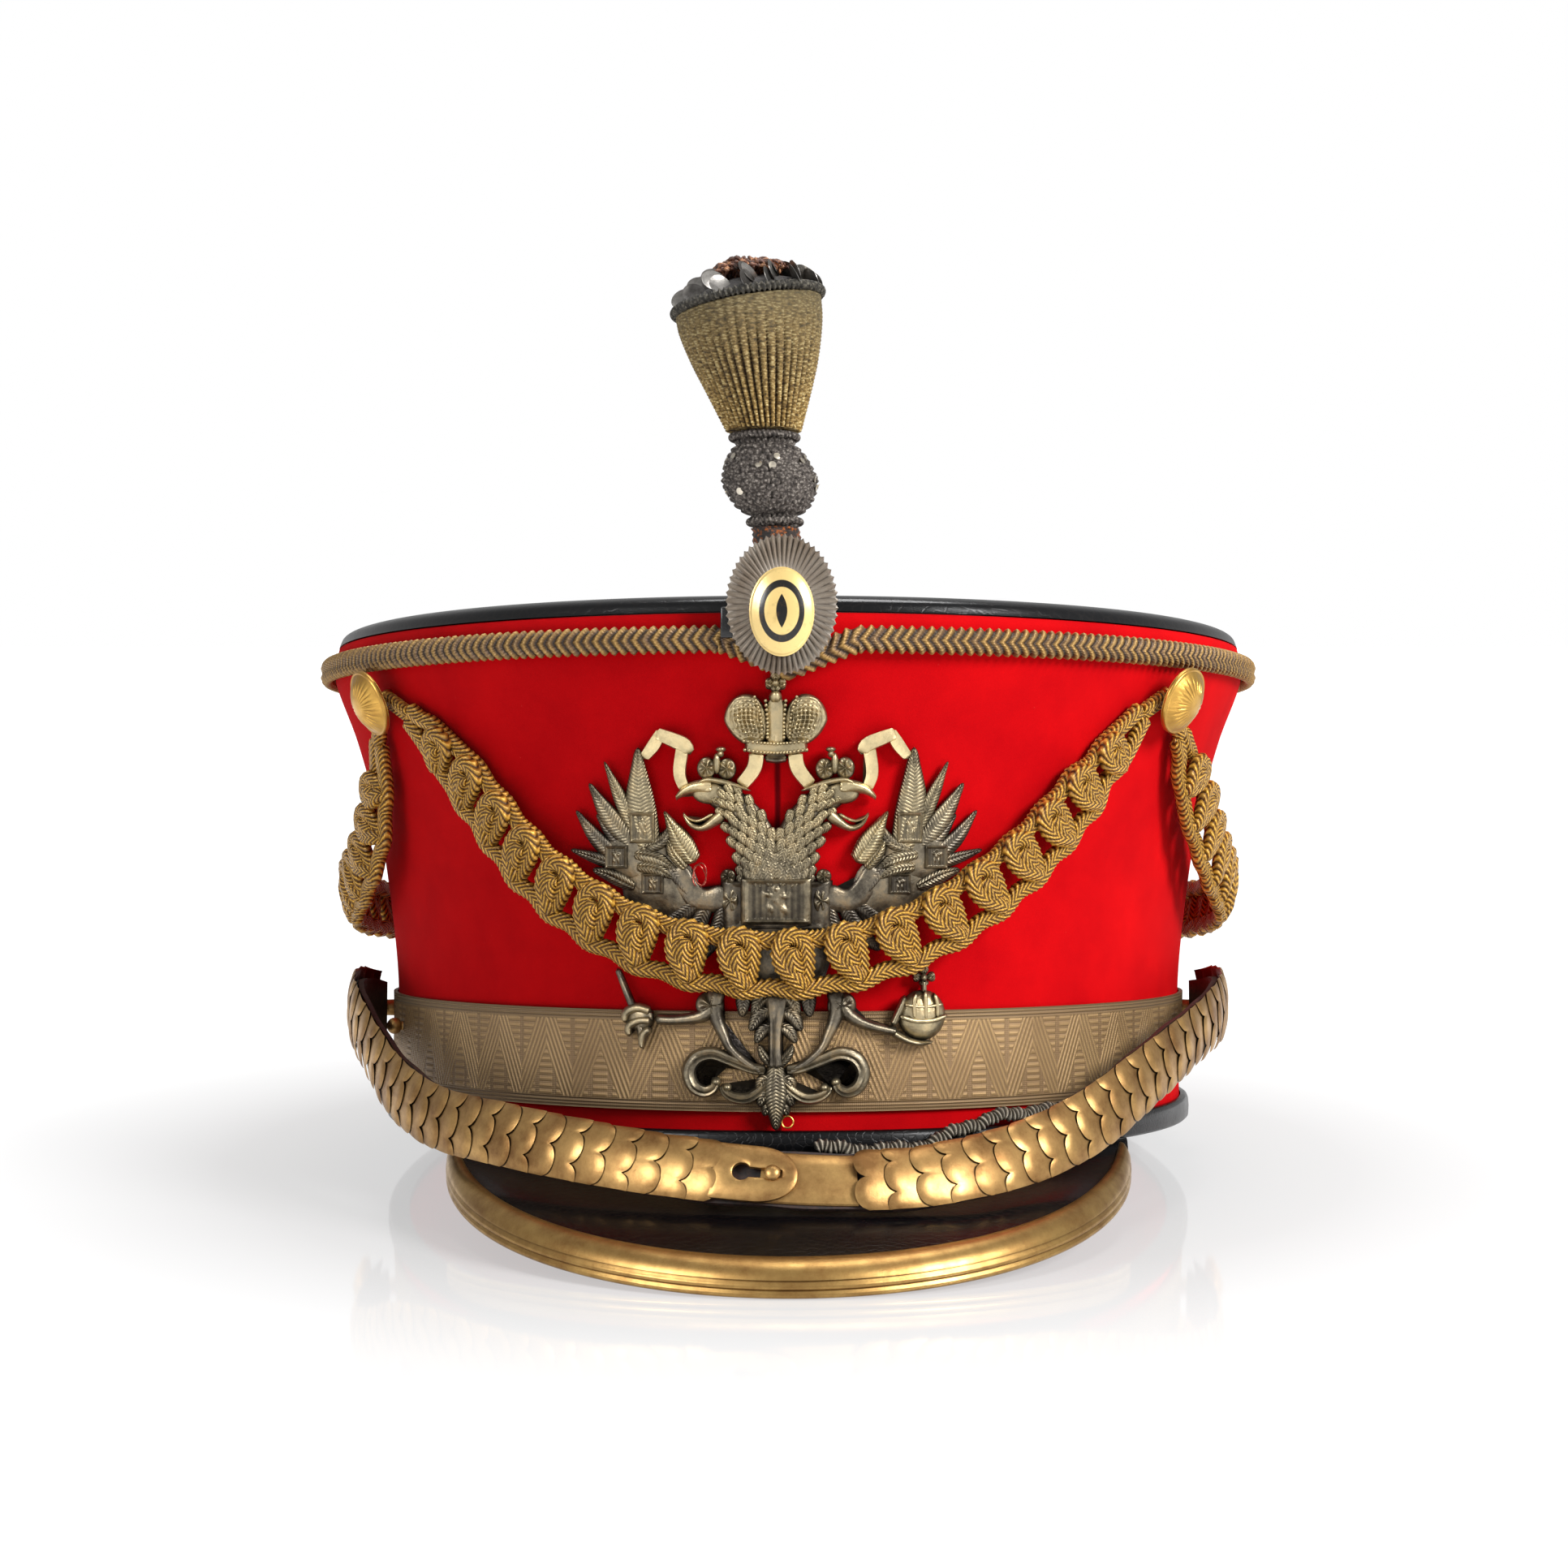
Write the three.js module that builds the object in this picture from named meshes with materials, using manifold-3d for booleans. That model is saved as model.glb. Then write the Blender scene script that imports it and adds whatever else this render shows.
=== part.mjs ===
// A red cloth shako that rests on a table: flared oval body, lacquered crown, braid,
// lace band, leather peak, plaited cord festoons, two-headed eagle badge, cockade,
// plume and a chin strap of brass scales. Millimetres, +Z up, the front faces -Y.
import * as THREE from "three";
import { mergeVertices } from "three/addons/utils/BufferGeometryUtils.js";
import Module from "manifold-3d";

const wasm = await Module();
wasm.setup();

// Clearance between pieces that touch on the real hat
const SEAT = 0.3;

// Body: an oval wall of stiffened cloth that flares towards the crown
const BASE_HALF_WIDTH = 85.3;
const DEPTH_OVER_WIDTH = 16;
const TOP_FLARE = 13.5;
const CLOTH_HEIGHT = 97.6;
const CLOTH_WALL = 2.5;
const RING_STEPS = 44;
const BODY_PROFILE = [
  { rise: 0, flare: 0 },
  { rise: 0.26, flare: -0.02 },
  { rise: 0.461, flare: 0.12 },
  { rise: 0.635, flare: 0.325 },
  { rise: 0.8, flare: 0.645 },
  { rise: 0.922, flare: 0.975 },
  { rise: 0.958, flare: 1 },
  { rise: 1, flare: 0.94 },
];
const WIDEST_RISE = BODY_PROFILE.find((row) => row.flare === 1).rise;

// Crown: lacquered leather with a rounded rim and a shallow dish
const CROWN_RIM_RISE = 3.2;
const CROWN_RIM_WIDTH = 9;
const CROWN_LEATHER = 2.4;
const CROWN_DISH_DEPTH = 3.4;
const CROWN_DISH_SLOPE = 14;
const CROWN_RIM = [
  { across: 0, rise: 0 }, { across: 0.1, rise: 0.65 }, { across: 0.55, rise: 1 }, { across: 1, rise: 0.6 },
];

// Edge bands: leather at the foot, woven lace above it, cord below the crown
const FOOT_BAND_DROP = 2.2;
const FOOT_BAND_RISE = 2.6;
const FOOT_BAND_LEATHER = 1.6;
const LACE_FOOT = 6.1;
const LACE_HEIGHT = 18.5;
const LACE_THICKNESS = 0.8;
const TOP_CORD_HEIGHT = 4.7;
const TOP_CORD_THICKNESS = 2.6;
const TOP_CORD_LEVEL = CLOTH_HEIGHT - 4.95;
const TOP_CORD_DIP = 5;
const TOP_CORD_DIP_HALF_ANGLE = 7;

// Peak: a sloping leather crescent with a metal bound edge
const PEAK_HALF_WIDTH = 67;
const PEAK_REACH = 72.3;
const PEAK_CENTRE_SETBACK = 68;
const PEAK_SLOPE = 0.4425;
const PEAK_BULGE = 1.2;
const PEAK_LEATHER = 2.4;
const PEAK_END_TURN = 91;
const PEAK_ROOT_HALF_ANGLE = 52;
const PEAK_STEPS = 27;
const BINDING_END_TURN = 84;
const BINDING_WIDTH = 6.4;
const BINDING_METAL = 0.9;
const BINDING_UNDER_WIDTH = 3.4;

// Cockade, its clip and the plume
const COCKADE_HALF_WIDTH = 10.2;
const COCKADE_HALF_HEIGHT = 12.8;
const COCKADE_SIDE_SHIFT = -1.3;
const COCKADE_LEVEL = CLOTH_HEIGHT + 1;
const COCKADE_THICKNESS = 1.3;
const COCKADE_PLEAT_DEPTH = 0.7;
const COCKADE_PLEATS = 22;
const COCKADE_PLEAT_START = 0.42;
const COCKADE_DISC_HALF_WIDTH = 5.6;
const COCKADE_DISC_HALF_HEIGHT = 7.7;
const COCKADE_DISC_DOME = 1.8;
const CLIP_WIDTH = 3.4;
const CLIP_HEIGHT = 5.6;
const CLIP_THICKNESS = 0.9;
const CLIP_SHOWN_SHARE = 0.25;
const CLIP_ANGLE = -3.6;
const PLUME_LEAN = 7;
const PLUME_TONGUE_WIDTH = 6;
const PLUME_TONGUE_THICKNESS = 1.1;
const PLUME_TONGUE_DROP = 10;
const PLUME_TONGUE_IN_STEM = 2;
const PLUME_STEM_RADIUS = 4.5;
const PLUME_STEM_HEIGHT = 11.4;
const PLUME_LOW_RING_RADIUS = 4.6;
const PLUME_HIGH_RING_RADIUS = 5.9;
const PLUME_RING_CORD = 0.9;
const PLUME_BALL_RADIUS = 8.4;
const PLUME_BALL_HEIGHT = 13;
const PLUME_CUP_HEIGHT = 22.5;
const PLUME_CUP_FOOT_RADIUS = 6.6;
const PLUME_CUP_RIM_RADIUS = 13.4;
const PLUME_CUP_RIBS = 20;
const PLUME_RIB_DEPTH = 0.45;
const PLUME_RIM_CORD = 1.1;
const PLUME_RIM_TILT = 9;
const PLUME_DOME_HEIGHT = 4.2;
const PLUME_TUFT_RADIUS = 6.6;
const PLUME_TUFT_HEIGHT = 3.4;
const PLUME_TUFT_LOBES = 12;
const PLUME_TUFT_LOBE_DEPTH = 0.08;
const PLUME_STEM = [{ rise: 0, radius: 0.9 }, { rise: 0.5, radius: 1 }, { rise: 1, radius: 0.95 }];
const PLUME_BALL = [
  { rise: 0, radius: 0.5 }, { rise: 0.12, radius: 0.78 }, { rise: 0.4, radius: 1 },
  { rise: 0.6, radius: 0.98 }, { rise: 0.86, radius: 0.8 }, { rise: 1, radius: 0.6 },
];
const PLUME_CUP = [
  { rise: 0, flare: 0 }, { rise: 0.3, flare: 0.38 }, { rise: 0.6, flare: 0.74 },
  { rise: 0.85, flare: 0.96 }, { rise: 1, flare: 1 },
];
const PLUME_TUFT = [{ rise: 0, radius: 1 }, { rise: 0.6, radius: 0.75 }, { rise: 1, radius: 0.3 }];

// Buttons that hold the festoons
const BUTTON_RADIUS = 6.75;
const BUTTON_DOME = 2.6;
const BUTTON_EDGE = 0.8;
const BUTTON_SHANK_RADIUS = 1.4;
const BUTTON_LEVEL = CLOTH_HEIGHT - 12.1;
const BUTTON_LEFT_ANGLE = -54.6;
const BUTTON_RIGHT_ANGLE = 49;

// Festoons: plaited cord bands, scalloped rails with a loop in each cell
const FESTOON_WIDTH = 13.8;
const FESTOON_THICKNESS = 3.6;
const FESTOON_CORD = 3.5;
const FESTOON_TAIL = 7;
const FESTOON_TAIL_NECK = 0.6;
const FESTOON_SCALLOP = 0.22;
const FESTOON_END_SPREAD = 0.72;
const FESTOON_GAP = [
  { along: -0.24, across: -0.95 }, { along: -0.02, across: 0.9 },
  { along: 0.18, across: -0.9 }, { along: 0.28, across: 0.95 },
];
const FRONT_LOOPS = 18;
const REAR_LOOPS = 22;
const FRONT_FESTOON = [
  { angle: -49.8, rise: 0.84, standoff: 0.5 },
  { angle: -41.6, rise: 0.707, standoff: 1.4 },
  { angle: -30.8, rise: 0.525, standoff: 3.4 },
  { angle: -18.4, rise: 0.402, standoff: 4.4 },
  { angle: -6.7, rise: 0.353, standoff: 4.6 },
  { angle: 5.5, rise: 0.358, standoff: 4.6 },
  { angle: 17.1, rise: 0.424, standoff: 4.4 },
  { angle: 29.2, rise: 0.558, standoff: 3 },
  { angle: 40.5, rise: 0.749, standoff: 1 },
  { angle: 44.6, rise: 0.84, standoff: 0.5 },
];
const REAR_FESTOON = [
  { angle: 53.4, rise: 0.8, standoff: 0.7 },
  { angle: 60, rise: 0.66, standoff: 4 },
  { angle: 69, rise: 0.53, standoff: 7.5 },
  { angle: 84, rise: 0.465, standoff: 8.5 },
  { angle: 108, rise: 0.42, standoff: 6.5 },
  { angle: 145, rise: 0.385, standoff: 3.5 },
  { angle: 180, rise: 0.375, standoff: 1.5 },
  { angle: 215, rise: 0.385, standoff: 3.5 },
  { angle: 250, rise: 0.42, standoff: 6.5 },
  { angle: 275, rise: 0.455, standoff: 8.5 },
  { angle: 290, rise: 0.51, standoff: 7.5 },
  { angle: 297, rise: 0.62, standoff: 4 },
  { angle: 301, rise: 0.79, standoff: 0.7 },
];

// Chin strap: brass scales on leather, from boss to boss across the peak
const STRAP_WIDTH = 11.6;
const STRAP_LEATHER = 1.2;
const SCALE_PITCH = 6.8;
const SCALE_LIFT = 0.9;
const SCALE_CROWN = 1.5;
const SCALE_LOBE = 2;
const SCALE_STEP = 0.1;
const CLASP_WIDTH = 10.6;
const CLASP_METAL = 0.8;
const CLASP_LEFT_LENGTH = 14.4;
const CLASP_RIGHT_LENGTH = 17;
const CLASP_LAP = 6.5;
const CLASP_SIDE_SHIFT = 1.2;
const KEYHOLE_RADIUS = 1.6;
const KEYHOLE_SLOT = 0.9;
const KEYHOLE_TO_STUD = 5.4;
const CLASP_UNDER_SHARE = 0.92;
const CLASP_ROUND_SHARE = 0.8;
const STUD_RADIUS = 1.3;
const STUD_HEIGHT = 1.5;
const STUD_FROM_TIP = 4.4;
const BOSS_RADIUS = 6.5;
const BOSS_THICKNESS = 3;
const BOSS_STEM_RADIUS = 1.8;
const BOSS_STANDOFF = 8.2;
const BALL_STUD_RADIUS = 1.7;
const BALL_STUD_LEFT_ANGLE = -68;
const BALL_STUD_LEFT_LEVEL = 18.3;
const BALL_STUD_RIGHT_ANGLE = 67;
const BALL_STUD_RIGHT_LEVEL = 16.6;
const STRAP_ROUTE = [
  { angle: -87, rise: 0.21, standoff: 3, lean: 0 },
  { angle: -80, rise: 0.226, standoff: 6.5, lean: 0 },
  { angle: -71, rise: 0.208, standoff: 8.5, lean: 0 },
  { angle: -62, rise: 0.149, standoff: 8.7, lean: 0 },
  { angle: -53, rise: 0.078, standoff: 9.4, lean: 4 },
  { angle: -43, rise: 0.032, standoff: 11, lean: 9 },
  { angle: -32, rise: 0.012, standoff: 13, lean: 16 },
  { angle: -22, rise: -0.008, standoff: 15, lean: 22 },
  { angle: -12, rise: -0.03, standoff: 16.6, lean: 27 },
  { angle: 0, rise: -0.05, standoff: 17.8, lean: 30 },
  { angle: 10, rise: -0.054, standoff: 18.2, lean: 31 },
  { angle: 17, rise: -0.04, standoff: 17.6, lean: 29 },
  { angle: 25, rise: -0.014, standoff: 15, lean: 22 },
  { angle: 34, rise: 0.033, standoff: 12.4, lean: 14 },
  { angle: 45, rise: 0.107, standoff: 9.8, lean: 6 },
  { angle: 57, rise: 0.172, standoff: 8.6, lean: 0 },
  { angle: 69, rise: 0.218, standoff: 8.4, lean: 0 },
  { angle: 80, rise: 0.228, standoff: 6.5, lean: 0 },
  { angle: 87, rise: 0.212, standoff: 3, lean: 0 },
];
const BOSS_ANGLE = 89.2;
const BOSS_LEVEL = 20.2;

// Wound cord behind the strap, from the right stud to behind the clasp
const WOUND_CORD_RADIUS = 1.05;
const WOUND_CORD_SIDES = 6;
const WOUND_CORD_STEPS = 22;
const WOUND_CORD_ROUTE = [
  { angle: 58, rise: 0.148 },
  { angle: 52.3, rise: 0.144 },
  { angle: 44.8, rise: 0.09 },
  { angle: 38, rise: 0.062 },
  { angle: 34.7, rise: 0.052 },
  { angle: 27.5, rise: 0.048 },
  { angle: 22, rise: 0.03 },
  { angle: 15.9, rise: -0.004 },
  { angle: 11, rise: -0.008 },
  { angle: 7, rise: -0.006 },
  { angle: 3, rise: 0 },
];

// Eagle badge. Its tables give places in hundredths of the badge's height, from the
// centre line and from the tip of the tail, for the wearer's right half.
const BADGE_HEIGHT = CLOTH_HEIGHT - 15.1;
const BADGE_FOOT = 3.2;
const BADGE_SIDE_SHIFT = -2.4;
const BADGE_PLATE = 1.2;
const BADGE_RELIEF = 2.2;
const BADGE_SEAT_ON_CLOTH = 1.1;
const BADGE_STEP_ABOVE_LACE = 3;
const BADGE_OVAL_SIDES = 6;
const BADGE_FEATHER_RELIEF = 1.3;
const BADGE_SHIELD_RELIEF = 1.5;
const BADGE_LEAF_RELIEF = 1.1;
const BADGE_FEATHERS = [
  { rootX: -27, rootZ: 62, tipX: -30.6, tipZ: 84, width: 6.8 },
  { rootX: -31, rootZ: 66, tipX: -38.2, tipZ: 80.8, width: 3.4 },
  { rootX: -32, rootZ: 62, tipX: -41.8, tipZ: 76, width: 4.6 },
  { rootX: -34, rootZ: 59, tipX: -45.2, tipZ: 70.8, width: 3.8 },
  { rootX: -34, rootZ: 56, tipX: -46.8, tipZ: 62, width: 3.6 },
  { rootX: -19, rootZ: 60, tipX: -24.6, tipZ: 69.4, width: 4.6 },
];
const BADGE_WING = [
  { x: -18.2, z: 61 }, { x: -24, z: 64.5 }, { x: -33, z: 68 }, { x: -40, z: 60 },
  { x: -38, z: 43 }, { x: -28, z: 39 }, { x: -16, z: 40 }, { x: -11, z: 51 }, { x: -21, z: 55 },
];
const BADGE_SMALL_CROWN = [
  { x: -8.6, z: 75.6 }, { x: -8.2, z: 79.4 }, { x: -10.6, z: 81.6 }, { x: -12.8, z: 84.4 },
  { x: -15.4, z: 82 }, { x: -17.4, z: 79.8 }, { x: -16, z: 77.6 },
];
const BADGE_HEAD = [
  { x: -6, z: 58 }, { x: -8, z: 63 }, { x: -11, z: 67.5 }, { x: -14.4, z: 68.8 },
  { x: -17.4, z: 73 }, { x: -22, z: 74 }, { x: -21, z: 76.4 }, { x: -17.4, z: 77 },
  { x: -15, z: 78.6 }, { x: -8.4, z: 76 }, { x: -4.2, z: 73 }, { x: -1, z: 66 }, { x: -0.4, z: 58 },
];
const BADGE_SMALL_SHIELDS = [
  { x: -30, z: 67.4, halfX: 3, halfZ: 3.3 },
  { x: -36, z: 60.6, halfX: 2.7, halfZ: 2.7 },
  { x: -27.6, z: 54.6, halfX: 2.7, halfZ: 2.5 },
];
const BADGE_OVALS = [
  { x: -6.6, z: 90.6, halfX: 4.6, halfZ: 5.8, both: true },
  { x: 0, z: 96, halfX: 1.7, halfZ: 1.7, both: false },
  { x: 0, z: 99, halfX: 2, halfZ: 1.6, both: false },
  { x: -3.2, z: 59, halfX: 2.2, halfZ: 2.2, both: true },
  { x: 33, z: 25.2, halfX: 5.7, halfZ: 5.7, both: false },
  { x: 33, z: 33.6, halfX: 2.6, halfZ: 2, both: false },
  { x: -31, z: 22.6, halfX: 3.8, halfZ: 3.6, both: false },
];
const BADGE_PLATES = [
  { x: 0, z: 51.5, halfX: 8.4, halfZ: 6.2, relief: 1 },
  { x: 0, z: 51.5, halfX: 12.8, halfZ: 4.6, relief: 0.6 },
  { x: 0, z: 83.8, halfX: 6.8, halfZ: 2.2, relief: 1 },
  { x: 0, z: 91, halfX: 2.4, halfZ: 6, relief: 0.8 },
  { x: 0, z: 38, halfX: 8.2, halfZ: 9, relief: 0.3 },
  { x: 0, z: 21, halfX: 2.7, halfZ: 9.6, relief: 0.7 },
];
const BADGE_STROKES = [
  { name: "inner ribbon", width: 3, both: true, path: [[-4.4, 83.4], [-5.4, 80], [-8.6, 75]] },
  {
    name: "outer ribbon",
    width: 2.5,
    both: true,
    path: [[-21.4, 76], [-20.8, 81.4], [-19.6, 85], [-24, 87], [-30, 81.4]],
  },
  { name: "lower beak", width: 1.6, both: true, path: [[-13.6, 69.4], [-17, 66.6], [-20.6, 69.6]] },
  { name: "wing arm", width: 3.4, both: true, path: [[-22, 54], [-17, 52], [-11, 53]] },
  { name: "sceptre", width: 1.9, both: false, path: [[-38, 41], [-35.6, 34.6], [-31.4, 25]] },
  { name: "leg", width: 3, both: true, path: [[-8, 36], [-12, 29.6], [-17, 25.4], [-28.6, 23.2]] },
  { name: "orb stem", width: 1.6, both: false, path: [[33, 30], [33, 36]] },
  { name: "claw finger", width: 1.8, both: false, path: [[-31, 21], [-30.4, 16.6]] },
  { name: "thigh plume", width: 3, both: true, path: [[-12, 30], [-13.4, 23.6], [-11, 18.6], [-3, 14]] },
  {
    name: "scroll",
    width: 2.3,
    both: true,
    path: [[-1, 15], [-9, 15.4], [-15.6, 17], [-19.6, 13], [-17, 8.4], [-12.8, 9.6]],
  },
  { name: "low curl", width: 1.9, both: true, path: [[-1, 9], [-6, 6.4], [-10.6, 8.4]] },
];
const BADGE_LEAF = [
  { x: -2.4, z: 14.4 }, { x: -4.2, z: 8.4 }, { x: -3.4, z: 5.4 }, { x: 0, z: 0 },
  { x: 3.4, z: 5.4 }, { x: 4.2, z: 8.4 }, { x: 2.4, z: 14.4 },
];

// Finishes, with the photograph's colours
const FINISH = {
  cloth: { color: 0xc4121a, roughness: 0.9, metalness: 0 },
  lacquer: { color: 0x0c0c0f, roughness: 0.2, metalness: 0 },
  leather: { color: 0x141216, roughness: 0.35, metalness: 0 },
  lace: { color: 0x95805c, roughness: 0.6, metalness: 0.4 },
  cord: { color: 0xb08530, roughness: 0.6, metalness: 0.3 },
  tarnishedCord: { color: 0x7a6340, roughness: 0.6, metalness: 0.3 },
  gilt: { color: 0xb98b35, roughness: 0.35, metalness: 0.9 },
  brass: { color: 0xa58648, roughness: 0.4, metalness: 0.9 },
  silver: { color: 0x5d5850, roughness: 0.45, metalness: 0.9 },
  cockade: { color: 0x97897a, roughness: 0.5, metalness: 0.5 },
  enamel: { color: 0xe8c264, roughness: 0.3, metalness: 0.5 },
  bullion: { color: 0x9a8756, roughness: 0.6, metalness: 0.5 },
  darkSilver: { color: 0x5b544c, roughness: 0.6, metalness: 0.5 },
  stemCloth: { color: 0x3c3226, roughness: 0.9, metalness: 0 },
  woundCord: { color: 0x6f6a62, roughness: 0.7, metalness: 0.3 },
};

const radians = THREE.MathUtils.degToRad;
const ROUTE_STEPS = 10;
const UP = new THREE.Vector3(0, 0, 1);

// Value of a table's column at a key, on a smooth curve through the rows
function tableValue(rows, key, column, at) {
  const last = rows.length - 1;
  if (at <= rows[0][key]) {
    return rows[0][column];
  }
  if (at >= rows[last][key]) {
    return rows[last][column];
  }
  const index = rows.findIndex((row, i) => i < last && at < rows[i + 1][key]);
  const slopeAt = (i) => {
    const before = rows[Math.max(i - 1, 0)];
    const after = rows[Math.min(i + 1, last)];
    return (after[column] - before[column]) / (after[key] - before[key]);
  };
  const from = rows[index];
  const to = rows[index + 1];
  const span = to[key] - from[key];
  const t = (at - from[key]) / span;
  const rise = (3 - 2 * t) * t * t;
  const startSlope = ((t - 2) * t + 1) * t * span * slopeAt(index);
  const endSlope = (t - 1) * t * t * span * slopeAt(index + 1);
  return from[column] + (to[column] - from[column]) * rise + startSlope + endSlope;
}

// Half-width of the cloth at a height above the base ring
function bodyHalfWidth(z) {
  return BASE_HALF_WIDTH + TOP_FLARE * tableValue(BODY_PROFILE, "rise", "flare", z / CLOTH_HEIGHT);
}

// Outward direction of the oval at an angle in degrees, 0 at the front, + to the wearer's left
function bodyNormal(angle, z) {
  const halfWidth = bodyHalfWidth(z);
  const turn = radians(angle);
  const halfDepth = halfWidth + DEPTH_OVER_WIDTH;
  return new THREE.Vector3(Math.sin(turn) / halfWidth, -Math.cos(turn) / halfDepth, 0).normalize();
}

// Point that stands off the cloth by a distance
function bodyPoint(angle, z, standoff) {
  const halfWidth = bodyHalfWidth(z);
  const turn = radians(angle);
  const halfDepth = halfWidth + DEPTH_OVER_WIDTH;
  const point = new THREE.Vector3(halfWidth * Math.sin(turn), -halfDepth * Math.cos(turn), z);
  return point.addScaledVector(bodyNormal(angle, z), standoff);
}

// Outward direction of the cloth itself, which faces down where the body flares
function clothNormal(angle, z) {
  const step = 0.01 * CLOTH_HEIGHT;
  const slope = (bodyHalfWidth(z + step) - bodyHalfWidth(z - step)) / (2 * step);
  return bodyNormal(angle, z).addScaledVector(UP, -slope).normalize();
}

// Six times the volume that a triangle list encloses, with its sign
function signedVolume(points, triangles) {
  const cross = new THREE.Vector3();
  let volume = 0;
  for (const [a, b, c] of triangles) {
    volume += points[a].dot(cross.crossVectors(points[b], points[c]));
  }
  return volume;
}

// Geometry of a closed body from points and triangles, with its faces pointing out
function closedGeometry(points, triangles) {
  const inward = signedVolume(points, triangles) < 0;
  const geometry = new THREE.BufferGeometry();
  geometry.setAttribute("position", new THREE.Float32BufferAttribute(points.flatMap((p) => p.toArray()), 3));
  geometry.setIndex(triangles.flatMap(([a, b, c]) => (inward ? [a, c, b] : [a, b, c])));
  return geometry;
}

// Body swept through stations whose sections are closed loops of points. An open sweep
// is capped by the flat triangulation of its outline.
function sweptGeometry(stations, outline, pointAt, closedPath) {
  const sides = outline.length;
  const points = [];
  const triangles = [];
  for (let i = 0; i < stations; i += 1) {
    for (let j = 0; j < sides; j += 1) {
      points.push(pointAt(i, j));
    }
  }
  const spans = closedPath ? stations : stations - 1;
  for (let i = 0; i < spans; i += 1) {
    for (let j = 0; j < sides; j += 1) {
      const here = i * sides;
      const next = ((i + 1) % stations) * sides;
      const k = (j + 1) % sides;
      triangles.push([here + j, next + j, next + k]);
      triangles.push([here + j, next + k, here + k]);
    }
  }
  if (!closedPath) {
    const clockwise = THREE.ShapeUtils.area(outline) < 0;
    const end = (stations - 1) * sides;
    for (const [a, b, c] of THREE.ShapeUtils.triangulateShape(outline, [])) {
      triangles.push(clockwise ? [a, b, c] : [a, c, b]);
      triangles.push(clockwise ? [end + a, end + c, end + b] : [end + a, end + b, end + c]);
    }
  }
  return closedGeometry(points, orientCaps(triangles, spans * sides * 2));
}

// Caps turned over when their edges run the same way as the wall's
function orientCaps(triangles, wallCount) {
  if (triangles.length === wallCount) {
    return triangles;
  }
  const edgesOf = ([a, b, c]) => [`${a},${b}`, `${b},${c}`, `${c},${a}`];
  const wall = triangles.slice(0, wallCount);
  const caps = triangles.slice(wallCount);
  const wallEdges = new Set(wall.flatMap(edgesOf));
  const clash = caps.some((cap) => edgesOf(cap).some((edge) => wallEdges.has(edge)));
  return wall.concat(clash ? caps.map(([a, b, c]) => [a, c, b]) : caps);
}

// Ring that runs round the whole body with a section of standoffs and heights
function bodyRing(section) {
  const outline = section.map((corner) => new THREE.Vector2(corner.standoff, corner.z));
  return sweptGeometry(RING_STEPS, outline, (i, j) => {
    const angle = (360 * i) / RING_STEPS;
    return bodyPoint(angle, section[j].z, section[j].standoff);
  }, true);
}

// Flat shape in its own plane pushed out to a thickness, then bent by a mapping
function mappedPlate(shape, thickness, mapping) {
  const plate = new THREE.ExtrudeGeometry(shape, { depth: thickness, bevelEnabled: false, curveSegments: 8 });
  return mappedGeometry(plate, mapping);
}

function mappedGeometry(geometry, mapping) {
  const welded = weld(geometry);
  const position = welded.getAttribute("position");
  const point = new THREE.Vector3();
  for (let i = 0; i < position.count; i += 1) {
    point.fromBufferAttribute(position, i);
    mapping(point);
    position.setXYZ(i, point.x, point.y, point.z);
  }
  const points = [];
  for (let i = 0; i < position.count; i += 1) {
    points.push(new THREE.Vector3().fromBufferAttribute(position, i));
  }
  const index = Array.from(welded.getIndex().array);
  const triangles = [];
  for (let i = 0; i < index.length; i += 3) {
    triangles.push([index[i], index[i + 1], index[i + 2]]);
  }
  return closedGeometry(points, triangles);
}

// Geometry whose shared corners are one vertex each
function weld(geometry) {
  const bare = geometry.clone();
  for (const name of Object.keys(bare.attributes)) {
    if (name !== "position") {
      bare.deleteAttribute(name);
    }
  }
  return mergeVertices(bare, 1e-4);
}

function toSolid(geometry) {
  const welded = weld(geometry);
  return new wasm.Manifold(new wasm.Mesh({
    numProp: 3,
    vertProperties: new Float32Array(welded.getAttribute("position").array),
    triVerts: new Uint32Array(welded.getIndex().array),
  }));
}

function toGeometry(solid) {
  const mesh = solid.getMesh();
  const geometry = new THREE.BufferGeometry();
  geometry.setAttribute("position", new THREE.BufferAttribute(new Float32Array(mesh.vertProperties), 3));
  geometry.setIndex(new THREE.BufferAttribute(new Uint32Array(mesh.triVerts), 1));
  return geometry;
}

function joined(geometries) {
  return toGeometry(geometries.map(toSolid).reduce((whole, piece) => whole.add(piece)));
}

// Named mesh with its finish
function node(name, finish, geometry) {
  const mesh = new THREE.Mesh(geometry, new THREE.MeshStandardMaterial(FINISH[finish]));
  mesh.name = name;
  return mesh;
}

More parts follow.
